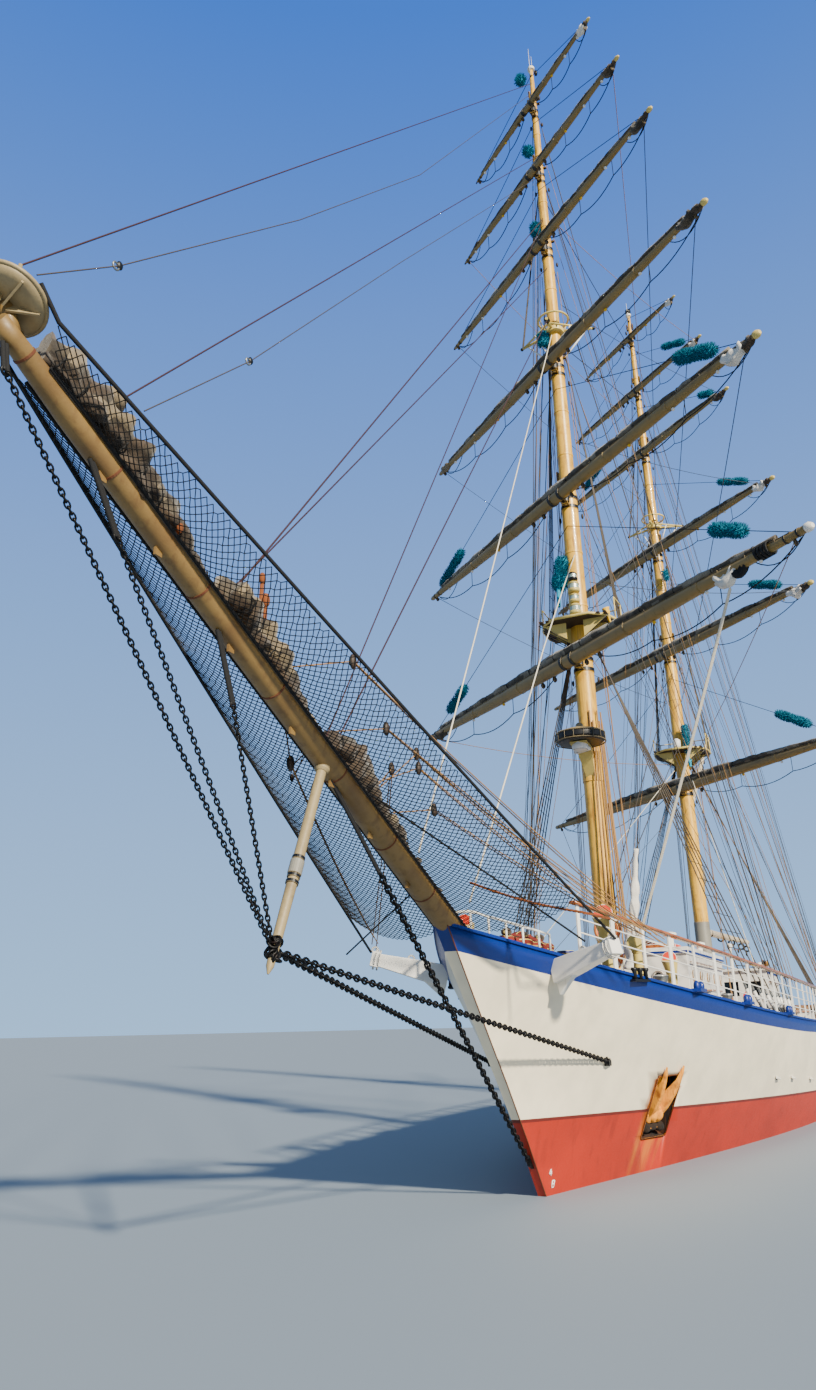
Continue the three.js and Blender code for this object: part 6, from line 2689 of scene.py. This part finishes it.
@dataclass
class Rails:
    """The rail along both sides: a varnished cap on flat white stanchions, with thin rails between."""

    height: float = 1.1
    bow_x: float = 22.6
    aft_x: float = -21.6
    gap: float = 1.15
    heights: tuple[float, ...] = (0.3, 0.57, 0.83)

    def place(self, x: float, side: int, rise: float) -> Vector:
        """A point of the rail at x, a height above the bulwark."""
        return xyz(x, side * (LINES.rail_half(x) - 0.07), LINES.sheer(x) + rise)

    def build(self) -> None:
        """Makes both sides."""
        for side, name in ((1, "rail_port"), (-1, "rail_starboard")):
            maker = MeshMaker()
            rings = []
            for i in range(100):
                x = between(19.85, self.aft_x, i / 99)
                here, ahead = self.place(x, side, self.height), self.place(x + 0.1, side, self.height)
                across = (ahead - here).cross(UP).normalized()
                rings.append([
                    here - across * 0.075 - UP * 0.02, here + across * 0.075 - UP * 0.02,
                    here + across * 0.08 + UP * 0.01, here + across * 0.05 + UP * 0.035,
                    here - across * 0.05 + UP * 0.035, here - across * 0.08 + UP * 0.01,
                ])
            maker.loft(rings, "varnished_wood")
            count = round((19.7 - self.aft_x) / self.gap)
            for i in range(count + 1):
                x = between(19.7, self.aft_x + 0.1, i / count)
                here, ahead = self.place(x, side, 0), self.place(x + 0.1, side, 0)
                turn = Matrix.Rotation(math.atan2(ahead.y - here.y, ahead.x - here.x), 3, "Z")
                wide = 0.13 if i % 2 else 0.09
                maker.box(
                    here + xyz(0, 0, self.height / 2), (wide, 0.03, self.height - 0.02), "white_paint", turn
                )
                maker.box(here + xyz(0, 0, 0.05), (wide + 0.07, 0.1, 0.03), "white_paint", turn)
            for rise in self.heights:
                path = [self.place(between(19.7, self.aft_x, i / 80), side, rise) for i in range(81)]
                maker.tube(path, 0.016, "white_paint", 5)
            self.pulpit(maker, side)
            fit(maker.build(name + "_stanchions_and_cap"), "varnished_wood", name)

    def pulpit(self, maker: MeshMaker, side: int) -> None:
        """Adds the white tube rail around the bow.

        Args:
            maker: The mesh to add to.
            side: 1 for port, -1 for starboard.
        """
        path = [self.place(between(20.6, self.bow_x, i / 12), side, 0.36) for i in range(13)]
        maker.tube([path[0] - xyz(0, 0, 0.34), *path], 0.024, "white_paint", 8)
        for i in range(5):
            x = between(20.9, self.bow_x, i / 4)
            maker.tube((self.place(x, side, 0), self.place(x, side, 0.36)), 0.022, "white_paint", 8)
        if side > 0:
            across = [self.place(self.bow_x, way, 0.36) for way in (1, -1)]
            maker.tube(across, 0.024, "white_paint", 8)


@dataclass
class Houses:
    """The two deckhouses with their windows, doors, vents and trim."""

    forward: tuple[float, float, float, float] = (3.2, 9.4, 1.55, 4.95)
    chart: tuple[float, float, float, float] = (-13.2, -8.9, 1.6, 5.05)

    def porthole(self, maker: MeshMaker, centre: Point, out: Point) -> None:
        """Adds a round window with a metal rim.

        Args:
            maker: The mesh to add to.
            centre: Its middle.
            out: The way that it faces.
        """
        normal = Vector(out)
        maker.collar(centre, normal, 0.12, 0.17, 0.035, "bronze", 20)
        maker.lathe(Vector(centre) - normal * 0.01, normal, ((0, 0.12), (0.015, 0.12)), "window_glass", 20)

    def trim(self, maker: MeshMaker, size: Sequence[float], rail: Sequence[float], posts: int) -> None:
        """Adds the handrails along both sides of a house.

        Args:
            maker: The mesh to add to.
            size: The house's after end, forward end, half-breadth and top.
            rail: The rail's height, its distance from the wall and the radii of the rail and its posts.
            posts: How many posts each rail has.
        """
        x0, x1, half, _ = size
        z, off, girth, post = rail
        for side in SIDES:
            y = side * (half + off)
            maker.rod((x0 + 0.2, y, z), (x1 - 0.2, y, z), girth, "varnished_wood", 8)
            for i in range(posts):
                x = between(x0 + 0.3, x1 - 0.3, i / (posts - 1))
                maker.rod((x, side * half, z), (x, y, z), post, "bronze", 6)

    def forward_house(self) -> None:
        """The forward deckhouse."""
        x0, x1, half, top = self.forward
        maker = MeshMaker()
        low, middle, length = LINES.deck(x0) - 0.05, (x0 + x1) / 2, x1 - x0
        maker.box((middle, 0, (low + top) / 2), (length, 2 * half, top - low), "white_paint")
        maker.box((middle, 0, top + 0.03), (length + 0.1, 2 * half + 0.1, 0.09), "white_paint")
        self.trim(maker, self.forward, (4.62, 0.09, 0.025, 0.015), 6)
        for side in SIDES:
            maker.box((middle, side * (half + 0.05), top - 0.06), (length + 0.12, 0.03, 0.1), "hull_blue")
            for i in range(5):
                self.porthole(maker, (x0 + 0.7 + 1.2 * i, side * (half + 0.01), 4.25), (0, side, 0))
            tilt = Matrix.Rotation(side * -0.35, 3, "X")
            for i in range(3):
                maker.box(
                    (5.78 + 0.52 * i, side * 0.28, top + 0.38), (0.42, 0.5, 0.03), "window_glass", tilt
                )
        for x, out in ((x0, -1), (x1, 1)):
            maker.box((x + out * 0.05, 0, top - 0.06), (0.03, 2 * half + 0.12, 0.1), "hull_blue")
            self.door(maker, Vector((x + out * 0.02, -0.6, 0)), out)
            self.porthole(maker, (x + out * 0.01, 0.7, 4.25), (out, 0, 0))
        maker.box((6.3, 0, top + 0.2), (1.7, 1.1, 0.26), "varnished_wood")
        vent = ((0, 0.1), (0.35, 0.1), (0.36, 0.2), (0.46, 0.2), (0.5, 0.08))
        for x, y in ((3.9, 1.0), (8.7, -1.0), (8.7, 1.0)):
            maker.lathe((x, y, top + 0.05), UP, vent, "white_paint", 18)
        maker.box((4.6, -0.2, top + 0.26), (0.9, 1.3, 0.4), "life_orange")
        fit(maker.build("forward_deckhouse_walls", 0.015), "white_paint", "forward_deckhouse")

    def door(self, maker: MeshMaker, foot: Vector, out: int) -> None:
        """Adds a steel door with a round window, hinges and a handle.

        Args:
            maker: The mesh to add to.
            foot: Its foot.
            out: 1 when it faces the bow, -1 when it faces aft.
        """
        low = LINES.deck(foot.x) + 0.15
        maker.box((foot.x, foot.y, low + 0.85), (0.05, 0.74, 1.7), "grey_paint")
        maker.box((foot.x + out * 0.02, foot.y, low + 0.85), (0.04, 0.62, 1.58), "white_paint")
        self.porthole(maker, (foot.x + out * 0.045, foot.y, low + 1.25), (out, 0, 0))
        for z in (0.3, 0.85, 1.4):
            maker.box((foot.x + out * 0.04, foot.y + 0.34, low + z), (0.05, 0.1, 0.06), "bronze")
        maker.rod(
            (foot.x + out * 0.09, foot.y - 0.24, low + 0.8),
            (foot.x + out * 0.09, foot.y - 0.1, low + 0.86), 0.016, "bronze", 8,
        )

    def chart_trim(self) -> None:
        """The trim on the chart house: frames, rails, lamps and vents."""
        x0, x1, half, top = self.chart
        maker, roof, middle = MeshMaker(), top + 0.08, (x0 + x1) / 2
        self.trim(maker, self.chart, (4.55, 0.08, 0.022, 0.014), 5)
        lamp = ((0, 0.07), (0.05, 0.09), (0.2, 0.09), (0.25, 0.05))
        for side in SIDES:
            maker.box((middle, side * (half + 0.012), top - 0.1), (x1 - x0 - 0.1, 0.02, 0.12), "hull_blue")
            maker.box((x1 - 0.5, side * (half - 0.15), roof + 0.18), (0.5, 0.08, 0.36), "black_paint")
            maker.lathe((x1 - 0.55, side * (half - 0.02), roof + 0.08), UP, lamp, "bronze", 16)
            maker.ball((x0 + 0.9, side * 1.0, roof + 0.2), (1.0, 0.5, 0.44), "white_paint", 12, 18)
            for shift in (-0.3, 0.3):
                maker.box((x0 + 0.9 + shift, side * 1.0, roof + 0.06), (0.1, 0.6, 0.12), "varnished_wood")
        stand = ((0, 0.09), (1.0, 0.07), (1.02, 0.13), (1.16, 0.13), (1.2, 0.05))
        maker.lathe((-10.2, 0, roof - 0.01), UP, stand, "white_paint", 18)
        hub = xyz(-10.2, 0, roof + 0.9)
        for ray in spokes(6):
            maker.rod(hub, hub + ray * 0.4, 0.01, "black_paint", 5)
        ends, edge = (x0 + 0.1, x1 - 0.1), half - 0.1
        corners = [(ends[0], -edge), (ends[1], -edge), (ends[1], edge), (ends[0], edge)]
        maker.tube([(x, y, roof + 0.14) for x, y in corners], 0.018, "white_paint", 6, looped=True)
        for x, y in corners:
            maker.rod((x, y, roof - 0.01), (x, y, roof + 0.14), 0.02, "white_paint", 6)
        fit(maker.build("chart_house_trim", 0.006), "white_paint")

    def build(self) -> None:
        """Makes the houses' pieces."""
        self.forward_house()
        self.chart_trim()


@dataclass
class DeckGear:
    """Hatches, vents, winches, bitts and lockers on the open deck, and the windlass."""

    def hatch(self, maker: MeshMaker, x0: float, x1: float, half: float) -> None:
        """Adds a raised hatch with a covered top.

        Args:
            maker: The mesh to add to.
            x0: Where it starts.
            x1: Where it ends.
            half: Half its width.
        """
        low = min(LINES.deck(x0), LINES.deck(x1))
        maker.box(((x0 + x1) / 2, 0, low + 0.25), (x1 - x0, 2 * half, 0.5), "white_paint")
        maker.box(((x0 + x1) / 2, 0, low + 0.52), (x1 - x0 + 0.1, 2 * half + 0.1, 0.07), "varnished_wood")
        for i in range(5):
            x = between(x0 + 0.15, x1 - 0.15, i / 4)
            maker.box((x, 0, low + 0.57), (0.07, 2 * half + 0.04, 0.04), "grey_paint")

    def cowl(self, maker: MeshMaker, x: float, y: float, height: float, girth: float) -> None:
        """Adds a cowl ventilator that faces forward.

        Args:
            maker: The mesh to add to.
            x: Where along the ship.
            y: Where across the ship.
            height: Its height.
            girth: Its radius.
        """
        low = LINES.deck(x) - 0.02
        path = [
            (x, y, low), (x, y, low + height * 0.62), (x + 0.03, y, low + height * 0.8),
            (x + girth * 0.9, y, low + height),
        ]
        maker.tube(path, (girth, girth, girth * 1.15, girth * 1.7), "cream_paint", 20)
        maker.lathe(
            (x, y, low), UP, ((0, girth * 1.5), (0.05, girth * 1.5), (0.09, girth)), "cream_paint", 20
        )
        mouth = xyz(x + girth * 0.98, y, low + height + 0.02)
        maker.lathe(mouth, (0.85, 0, 0.25), ((0, girth * 1.5), (0.012, girth * 1.5)), "life_orange", 20)

    def bitts(self, maker: MeshMaker, x: float, side: int) -> None:
        """Adds a pair of bollards near the rail.

        Args:
            maker: The mesh to add to.
            x: Where along the ship.
            side: 1 for port, -1 for starboard.
        """
        y = side * (LINES.rail_half(x) - 0.65)
        low = LINES.deck(x)
        maker.box((x, y, low + 0.03), (0.85, 0.3, 0.08), "black_paint")
        for shift in (-0.24, 0.24):
            rows = ((0, 0.1), (0.42, 0.1), (0.43, 0.14), (0.5, 0.14))
            maker.lathe((x + shift, y, low), UP, rows, "black_paint", 18)

    def winch(self, maker: MeshMaker, x: float, y: float) -> None:
        """Adds a hand winch for halyards.

        Args:
            maker: The mesh to add to.
            x: Where along the ship.
            y: Where across the ship.
        """
        low = LINES.deck(x)
        rows = (
            (0, 0.2), (0.32, 0.17), (0.36, 0.2), (0.42, 0.15), (0.6, 0.12), (0.72, 0.17), (0.77, 0.17),
            (0.8, 0.06),
        )
        maker.lathe((x, y, low), UP, rows, "galvanised", 22)

    def build(self) -> None:
        """Makes the deck gear."""
        maker = MeshMaker()
        self.hatch(maker, 0.0, 2.2, 1.0)
        self.hatch(maker, -7.6, -5.6, 0.8)
        for x, y, height, girth in (
            (18.2, 1.55, 1.5, 0.14), (18.2, -1.55, 1.5, 0.14), (13.6, 1.9, 1.3, 0.12),
            (-1.2, 1.7, 1.2, 0.12), (-1.2, -1.7, 1.2, 0.12),
        ):
            self.cowl(maker, x, y, height, girth)
        for side in SIDES:
            for x in (16.0, 8.0, -12.0, -18.6):
                self.bitts(maker, x, side)
            for x in (14.8, 10.2, -0.6, -5.4):
                self.winch(maker, x, side * min(2.6, LINES.rail_half(x) - 1.0))
            for x in (12.8, -2.6):
                maker.box(
                    (x, side * (LINES.rail_half(x) - 0.75), LINES.deck(x) + 0.3), (1.4, 0.45, 0.6),
                    "white_paint",
                )
                maker.box(
                    (x, side * (LINES.rail_half(x) - 0.75), LINES.deck(x) + 0.62), (1.5, 0.52, 0.05),
                    "varnished_wood",
                )
        fit(maker.build("deck_gear", 0.01), "deck_gear_paint")
        self.windlass()

    def windlass(self) -> None:
        """The anchor windlass with its gypsies, warping heads and brake wheels."""
        low, high = ship_box("windlass")
        middle = (low + high) / 2
        maker = MeshMaker("hull_blue", "galvanised", "black_paint", "black_chain")
        wide = (high.y - low.y) / 2
        maker.box((middle.x, 0, low.z + 0.06), (high.x - low.x, wide * 1.5, 0.12), "black_paint")
        maker.box((middle.x, 0, low.z + 0.4), ((high.x - low.x) * 0.7, wide * 0.5, 0.62), "hull_blue")
        axle = xyz(middle.x, 0, low.z + (high.z - low.z) * 0.55)
        maker.rod(axle - xyz(0, wide * 0.98, 0), axle + xyz(0, wide * 0.98, 0), 0.07, "galvanised", 14)
        for side in SIDES:
            gypsy = ((0, 0.26), (0.05, 0.28), (0.1, 0.2), (0.18, 0.2), (0.23, 0.28), (0.28, 0.26))
            maker.lathe(axle + xyz(0, side * wide * 0.42, 0), (0, side, 0), gypsy, "black_chain", 20)
            head = ((0, 0.2), (0.04, 0.22), (0.12, 0.13), (0.3, 0.12), (0.38, 0.18), (0.42, 0.18))
            maker.lathe(axle + xyz(0, side * wide * 0.58, 0), (0, side, 0), head, "galvanised", 20)
            maker.box(
                axle + xyz(0, side * wide * 0.36, -0.2), ((high.x - low.x) * 0.5, 0.08, 0.55), "hull_blue"
            )
            wheel = axle + xyz(-0.3, side * wide * 0.3, 0.3)
            maker.torus(wheel, (1, 0, 0.3), 0.15, 0.018, "black_paint", 20, 6)
            maker.rod(wheel, axle + xyz(0, side * wide * 0.3, 0), 0.02, "galvanised", 6)
        fit(maker.build("windlass_gear", 0.01), "deck_gear_paint", "windlass")


@dataclass
class Anchors:
    """The rusted stockless anchors in their pockets, which lean out with the plating."""

    place: ClassVar[Triple] = (15.1, 1.645, 1.33)
    turn: ClassVar[float] = 0.297
    tilt: ClassVar[float] = 0.445
    wide: ClassVar[float] = 0.54
    high: ClassVar[float] = 0.7
    depth: ClassVar[float] = 0.42

    @classmethod
    def frame(cls, side: int) -> Matrix:
        """The pocket's place and turn, with its opening in the frame's x and z and y out to sea.

        Args:
            side: 1 for port, -1 for starboard.

        Returns:
            The place and turn.
        """
        x, y, z = cls.place
        turned = Matrix.Translation((x, side * y, z)) @ Matrix.Rotation(-side * cls.turn, 4, "Z")
        return turned @ Matrix.Rotation(-side * cls.tilt, 4, "X")

    def fluke(self, maker: MeshMaker, side: int, way: int) -> None:
        """Adds one fluke, whose tip reaches over the plating.

        Args:
            maker: The mesh to add to.
            side: 1 for port, -1 for starboard.
            way: 1 for the fluke towards the bow, -1 for the other.
        """
        rings = []
        for z, wide, low, high in (
            (-0.3, 0.09, -0.36, -0.06), (-0.05, 0.11, -0.2, 0.03), (0.3, 0.095, -0.1, 0.1),
            (0.6, 0.075, 0.03, 0.11), (0.8, 0.045, 0.045, 0.105), (0.93, 0.015, 0.05, 0.08),
        ):
            x = way * (0.235 + 0.16 * z)
            rings.append([
                (x - wide, side * low, z), (x + wide, side * low, z),
                (x + wide * 0.7, side * high, z), (x - wide * 0.7, side * high, z),
            ])
        maker.loft(rings, "rusty_iron", smooth=False)

    def build(self) -> None:
        """Makes both anchors."""
        for side, name in ((1, "anchor_port"), (-1, "anchor_starboard")):
            maker = MeshMaker()
            maker.turn = self.frame(side)
            back = -side * (self.depth - 0.01)
            rings = []
            for x, low, high, out in (
                (-0.3, -0.34, -0.14, -0.16), (-0.24, -0.4, -0.06, -0.05), (0.24, -0.4, -0.06, -0.05),
                (0.3, -0.34, -0.14, -0.16),
            ):
                rings.append([
                    (x, back, low), (x, side * out, low), (x, side * (out + 0.03), (low + high) / 2),
                    (x, side * out, high), (x, back, high),
                ])
            maker.loft(rings, "rusty_iron", smooth=False)
            for way in SIDES:
                maker.ball((way * 0.12, side * -0.07, -0.24), (0.26, 0.22, 0.26), "rusty_iron", 8, 12)
            maker.tube([(0, back * 0.75, -0.2), (0, back * 0.6, 0.66)], (0.1, 0.075), "rusty_iron", 10)
            for way in SIDES:
                self.fluke(maker, side, way)
                # Near-black lumps under each fluke and under the crown fill the pocket's bottom: painted
                # shade.
                maker.ball((way * 0.3, side * -0.1, -0.5), (0.3, 0.3, 0.22), "anchor_pocket_shade", 8, 12)
            maker.ball((0, side * -0.18, -0.5), (0.7, 0.36, 0.24), "anchor_pocket_shade", 8, 16)
            maker.torus((0, side * -0.24, 0.6), (0, 1, 0), 0.08, 0.024, "rusty_iron", 16, 6)
            corners = [(x, side * 0.018, z) for x, z in (
                (0.5, -0.7), (0.54, -0.66), (0.54, 0.66), (0.5, 0.7), (-0.5, 0.7), (-0.54, 0.66),
                (-0.54, -0.66), (-0.5, -0.7))]
            maker.tube(corners, 0.012, "weld_rust", 6, looped=True)
            fit(maker.build(name + "_iron", 0.015), "rusty_iron", name)


@dataclass
class Stern:
    """The spanker's spars and sail, and the wheel and its stand."""

    # height and radius at the mast
    boom: tuple[float, float] = (6.4, 0.15)
    gaff: tuple[float, float] = (11.4, 0.12)
    # x, height and radius
    wheel: Triple = (-16.3, 4.35, 0.75)

    def spars(self) -> None:
        """The bands and blocks of the boom and the gaff."""
        for name, (z, r) in (("boom", self.boom), ("gaff", self.gaff)):
            body = "spanker_" + name
            low, high = ship_box(body)
            maker = MeshMaker()
            head = xyz(high.x - 0.5, 0, z)
            tip = xyz(low.x + 0.02, 0, high.z - r * 0.6 if name == "gaff" else z)
            along = (tip - head).normalized()
            reach = (tip - head).length
            for share in (0.06, 0.3, 0.55, 0.8, 0.96):
                maker.collar(
                    head + along * (reach * share), along, r * 0.6, r * 1.08, 0.04, "black_paint", 20
                )
            for share in (0.45, 0.7, 0.93):
                maker.block(head + along * (reach * share) - xyz(0, 0, r + 0.12), 0.22)
            fit(maker.build(body + "_bands", 0.004), "varnished_wood", body=body)

    def sail(self) -> None:
        """The spanker, brailed up against the mast."""
        low, high = ship_box("furled_spanker")
        middle = (low + high) / 2
        radius = (high.y - low.y) / 2
        roll = Roll(
            centre=lambda s: xyz(middle.x, 0, between(low.z + 0.02, high.z - 0.02, s)),
            radius=lambda s: radius * (0.6 + 0.42 * math.sin(math.pi * s) ** 0.7),
            length=high.z - low.z, gap=0.7, sides=22, step=0.07, fold=0.5, seed=2.0,
        )
        maker = MeshMaker()
        roll.add_to(maker, "furled_canvas")
        piece = maker.build("spanker_canvas")
        fit(piece, "furled_canvas", "furled_spanker")
        ties = Ropes("white_rope", 5)
        for share in roll.gaskets():
            ties.line(
                ring_points(roll.centre(share), xyz(1, 0, 0), xyz(0, 1, 0), radius * 0.86, 18), 0.016,
                looped=True,
            )
        fit(ties.build("spanker_ties"), "wire_rope")

    def steering(self) -> None:
        """The wheel and its stand."""
        x, z, radius = self.wheel
        maker = MeshMaker()
        maker.torus((x, 0, z), (1, 0, 0), radius * 0.7, 0.04, "varnished_wood", 40, 8)
        maker.collar((x, 0, z), (1, 0, 0), radius * 0.68, radius * 0.72, 0.045, "bronze", 40)
        maker.lathe(
            (x - 0.06, 0, z), (1, 0, 0), ((0, 0.05), (0.0, 0.13), (0.12, 0.13), (0.12, 0.05)), "bronze", 24
        )
        for i in range(8):
            turn = math.pi * i / 4
            out = xyz(0, math.cos(turn), math.sin(turn))
            rows = (
                (0.1, 0.022), (0.2, 0.028), (0.35, 0.02), (0.5, 0.028), (0.56, 0.02), (0.6, 0.024),
                (0.68, 0.027), (0.74, 0.012),
            )
            maker.lathe((x, 0, z), out, [(d * radius / 0.75, r) for d, r in rows], "varnished_wood", 10)
        fit(maker.build("steering_wheel_rim"), "varnished_wood", "steering_wheel", body="steering_wheel")
        low, high = ship_box("wheel_pedestal")
        middle = (low + high) / 2
        stand = MeshMaker("white_paint", "varnished_wood", "bronze")
        wide, deep = high.x - low.x, high.y - low.y
        rings = []
        for share, swell in ((0, 1.0), (0.08, 1.0), (0.1, 0.86), (0.85, 0.78), (0.87, 0.92), (0.93, 0.92)):
            h = between(low.z, high.z, share)
            a, b = wide / 2 * swell, deep / 2 * swell
            rings.append(
                [(middle.x - a, -b, h), (middle.x + a, -b, h), (middle.x + a, b, h), (middle.x - a, b, h)]
            )
        stand.loft(rings, "varnished_wood", smooth=False)
        stand.lathe(
            (middle.x, 0, between(low.z, high.z, 0.92)), UP,
            ((0, 0.16), (0.04, 0.18), (0.1, 0.14), (0.13, 0.04)), "bronze", 24,
        )
        fit(stand.build("wheel_stand", 0.012), "varnished_wood", "wheel_pedestal")

    def build(self) -> None:
        """Makes the stern's pieces."""
        self.spars()
        self.sail()
        self.steering()


class Carried(Enum):
    """The CAD nodes that keep their own shape, and the finish of each."""

    rudder = "hull_boot"
    propeller = "bronze"
    chart_house = "white_paint"
    chart_house_glass = "window_glass"
    chart_house_door = "varnished_wood"
    spanker_boom = "varnished_wood"
    spanker_gaff = "varnished_wood"

    def dress(self, nodes: dict[str, Piece]) -> None:
        """Puts the finish on the node.

        Args:
            nodes: The nodes of the frame by name.
        """
        materials = nodes[self.name].data.materials
        materials.clear()
        materials.append(FINISHES.get(self.value))
        LOG.info("%s carried over with %s", self.name, self.value)


@dataclass
class Studio:
    """The floor, the lights and the camera at the photograph's place."""

    eye: Triple = (39.285, 6.909, 3.104)
    yaw: float = math.radians(204.716)
    pitch: float = math.radians(20.562)
    roll: float = math.radians(-1.32)
    lens: float = 25.93
    shift: float = -45 / 1390

    def camera(self) -> None:
        """The camera."""
        data = bpy.data.cameras.new("camera")
        data.lens = self.lens
        data.sensor_width = 36
        data.shift_y = self.shift
        data.clip_end = 500
        ahead = xyz(
            math.cos(self.pitch) * math.cos(self.yaw), math.cos(self.pitch) * math.sin(self.yaw),
            math.sin(self.pitch),
        )
        right = ahead.cross(UP).normalized()
        up = right.cross(ahead)
        c, s = math.cos(self.roll), math.sin(self.roll)
        right, up = right * c + up * s, up * c - right * s
        turn = Matrix((right, up, -ahead)).transposed().to_4x4()
        made = placed_in_scene("camera", data)
        made.matrix_world = Matrix.Translation(Vector(self.eye) * MODEL_SCALE) @ turn
        bpy.context.scene.camera = made

    def floor(self) -> None:
        """A wide pale floor in the plane of the water."""
        mesh = bpy.data.meshes.new("floor")
        reach = 600.0
        mesh.from_pydata(
            [(-reach, -reach, 0), (reach, -reach, 0), (reach, reach, 0), (-reach, reach, 0)], [],
            [(0, 1, 2, 3)],
        )
        material = bpy.data.materials.new("studio_floor")
        material.use_nodes = True
        shader = material.node_tree.nodes["Principled BSDF"]
        shader.inputs["Base Color"].default_value = colour(0.52, 0.57, 0.62)
        shader.inputs["Roughness"].default_value = 0.7
        mesh.materials.append(material)
        placed_in_scene("studio_floor", mesh)

    def lights(self) -> None:
        """A soft key light from ahead on the port side, a weak fill and a pale blue surround."""
        for name, energy, size, direction, tint in (
            ("key", 9.6, 3, (-1.0, -1.36, -0.9), (1.0, 0.91, 0.73)),
            ("fill", 0.15, 60, (0.5, 0.8, -0.25), (0.85, 0.92, 1.0)),
        ):
            data = bpy.data.lights.new(name, "SUN")
            data.energy = energy
            data.angle = math.radians(size)
            data.color = tint
            turn = Vector(direction).to_track_quat("-Z", "Y")
            placed_in_scene(name, data).rotation_euler = turn.to_euler()
        world = bpy.data.worlds.new("surround")
        world.use_nodes = True
        tree = world.node_tree
        background = tree.nodes["Background"]
        seen, mixed = (
            tree.nodes.new(kind) for kind in ("ShaderNodeBackground", "ShaderNodeMixShader")
        )
        background.inputs["Color"].default_value = colour(0.6, 0.76, 0.97)
        background.inputs["Strength"].default_value = 0.55
        ramp, split, place = (
            tree.nodes.new(kind) for kind in (
                "ShaderNodeValToRGB", "ShaderNodeSeparateXYZ", "ShaderNodeTexCoord"
            )
        )
        ramp.color_ramp.elements[0].color = colour(0.66, 0.83, 1.0)
        ramp.color_ramp.elements[1].color = colour(0.22, 0.46, 0.88)
        ramp.color_ramp.elements[1].position = 0.8
        tree.links.new(place.outputs["Generated"], split.inputs[0])
        tree.links.new(split.outputs["Z"], ramp.inputs[0])
        tree.links.new(ramp.outputs[0], seen.inputs["Color"])
        seen.inputs["Strength"].default_value = 1.15
        rays = tree.nodes.new("ShaderNodeLightPath")
        for source, target in zip(
            (rays.outputs["Is Camera Ray"], background.outputs[0], seen.outputs[0]), mixed.inputs
        ):
            tree.links.new(source, target)
        tree.links.new(mixed.outputs[0], tree.nodes["World Output"].inputs[0])
        bpy.context.scene.world = world

    def build(self) -> None:
        """Sets the stage."""
        self.camera()
        self.floor()
        self.lights()


def main() -> None:
    """Builds the ship piece by piece."""
    logging.basicConfig(level=logging.INFO, format="%(name)s: %(message)s")
    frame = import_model()
    Studio().build()
    Hull().build()
    Bow().build()
    for mast, yards in YARDS.items():
        Mast(mast, tuple(yard.z for yard in yards)).build()
        for yard in yards:
            Yard(mast, yard).build()
    for builder in (Rigging(), Rails(), Houses(), DeckGear(), Anchors(), Stern()):
        builder.build()
    for carried in Carried:
        carried.dress(frame["nodes"])


if __name__ == "__main__":
    main()
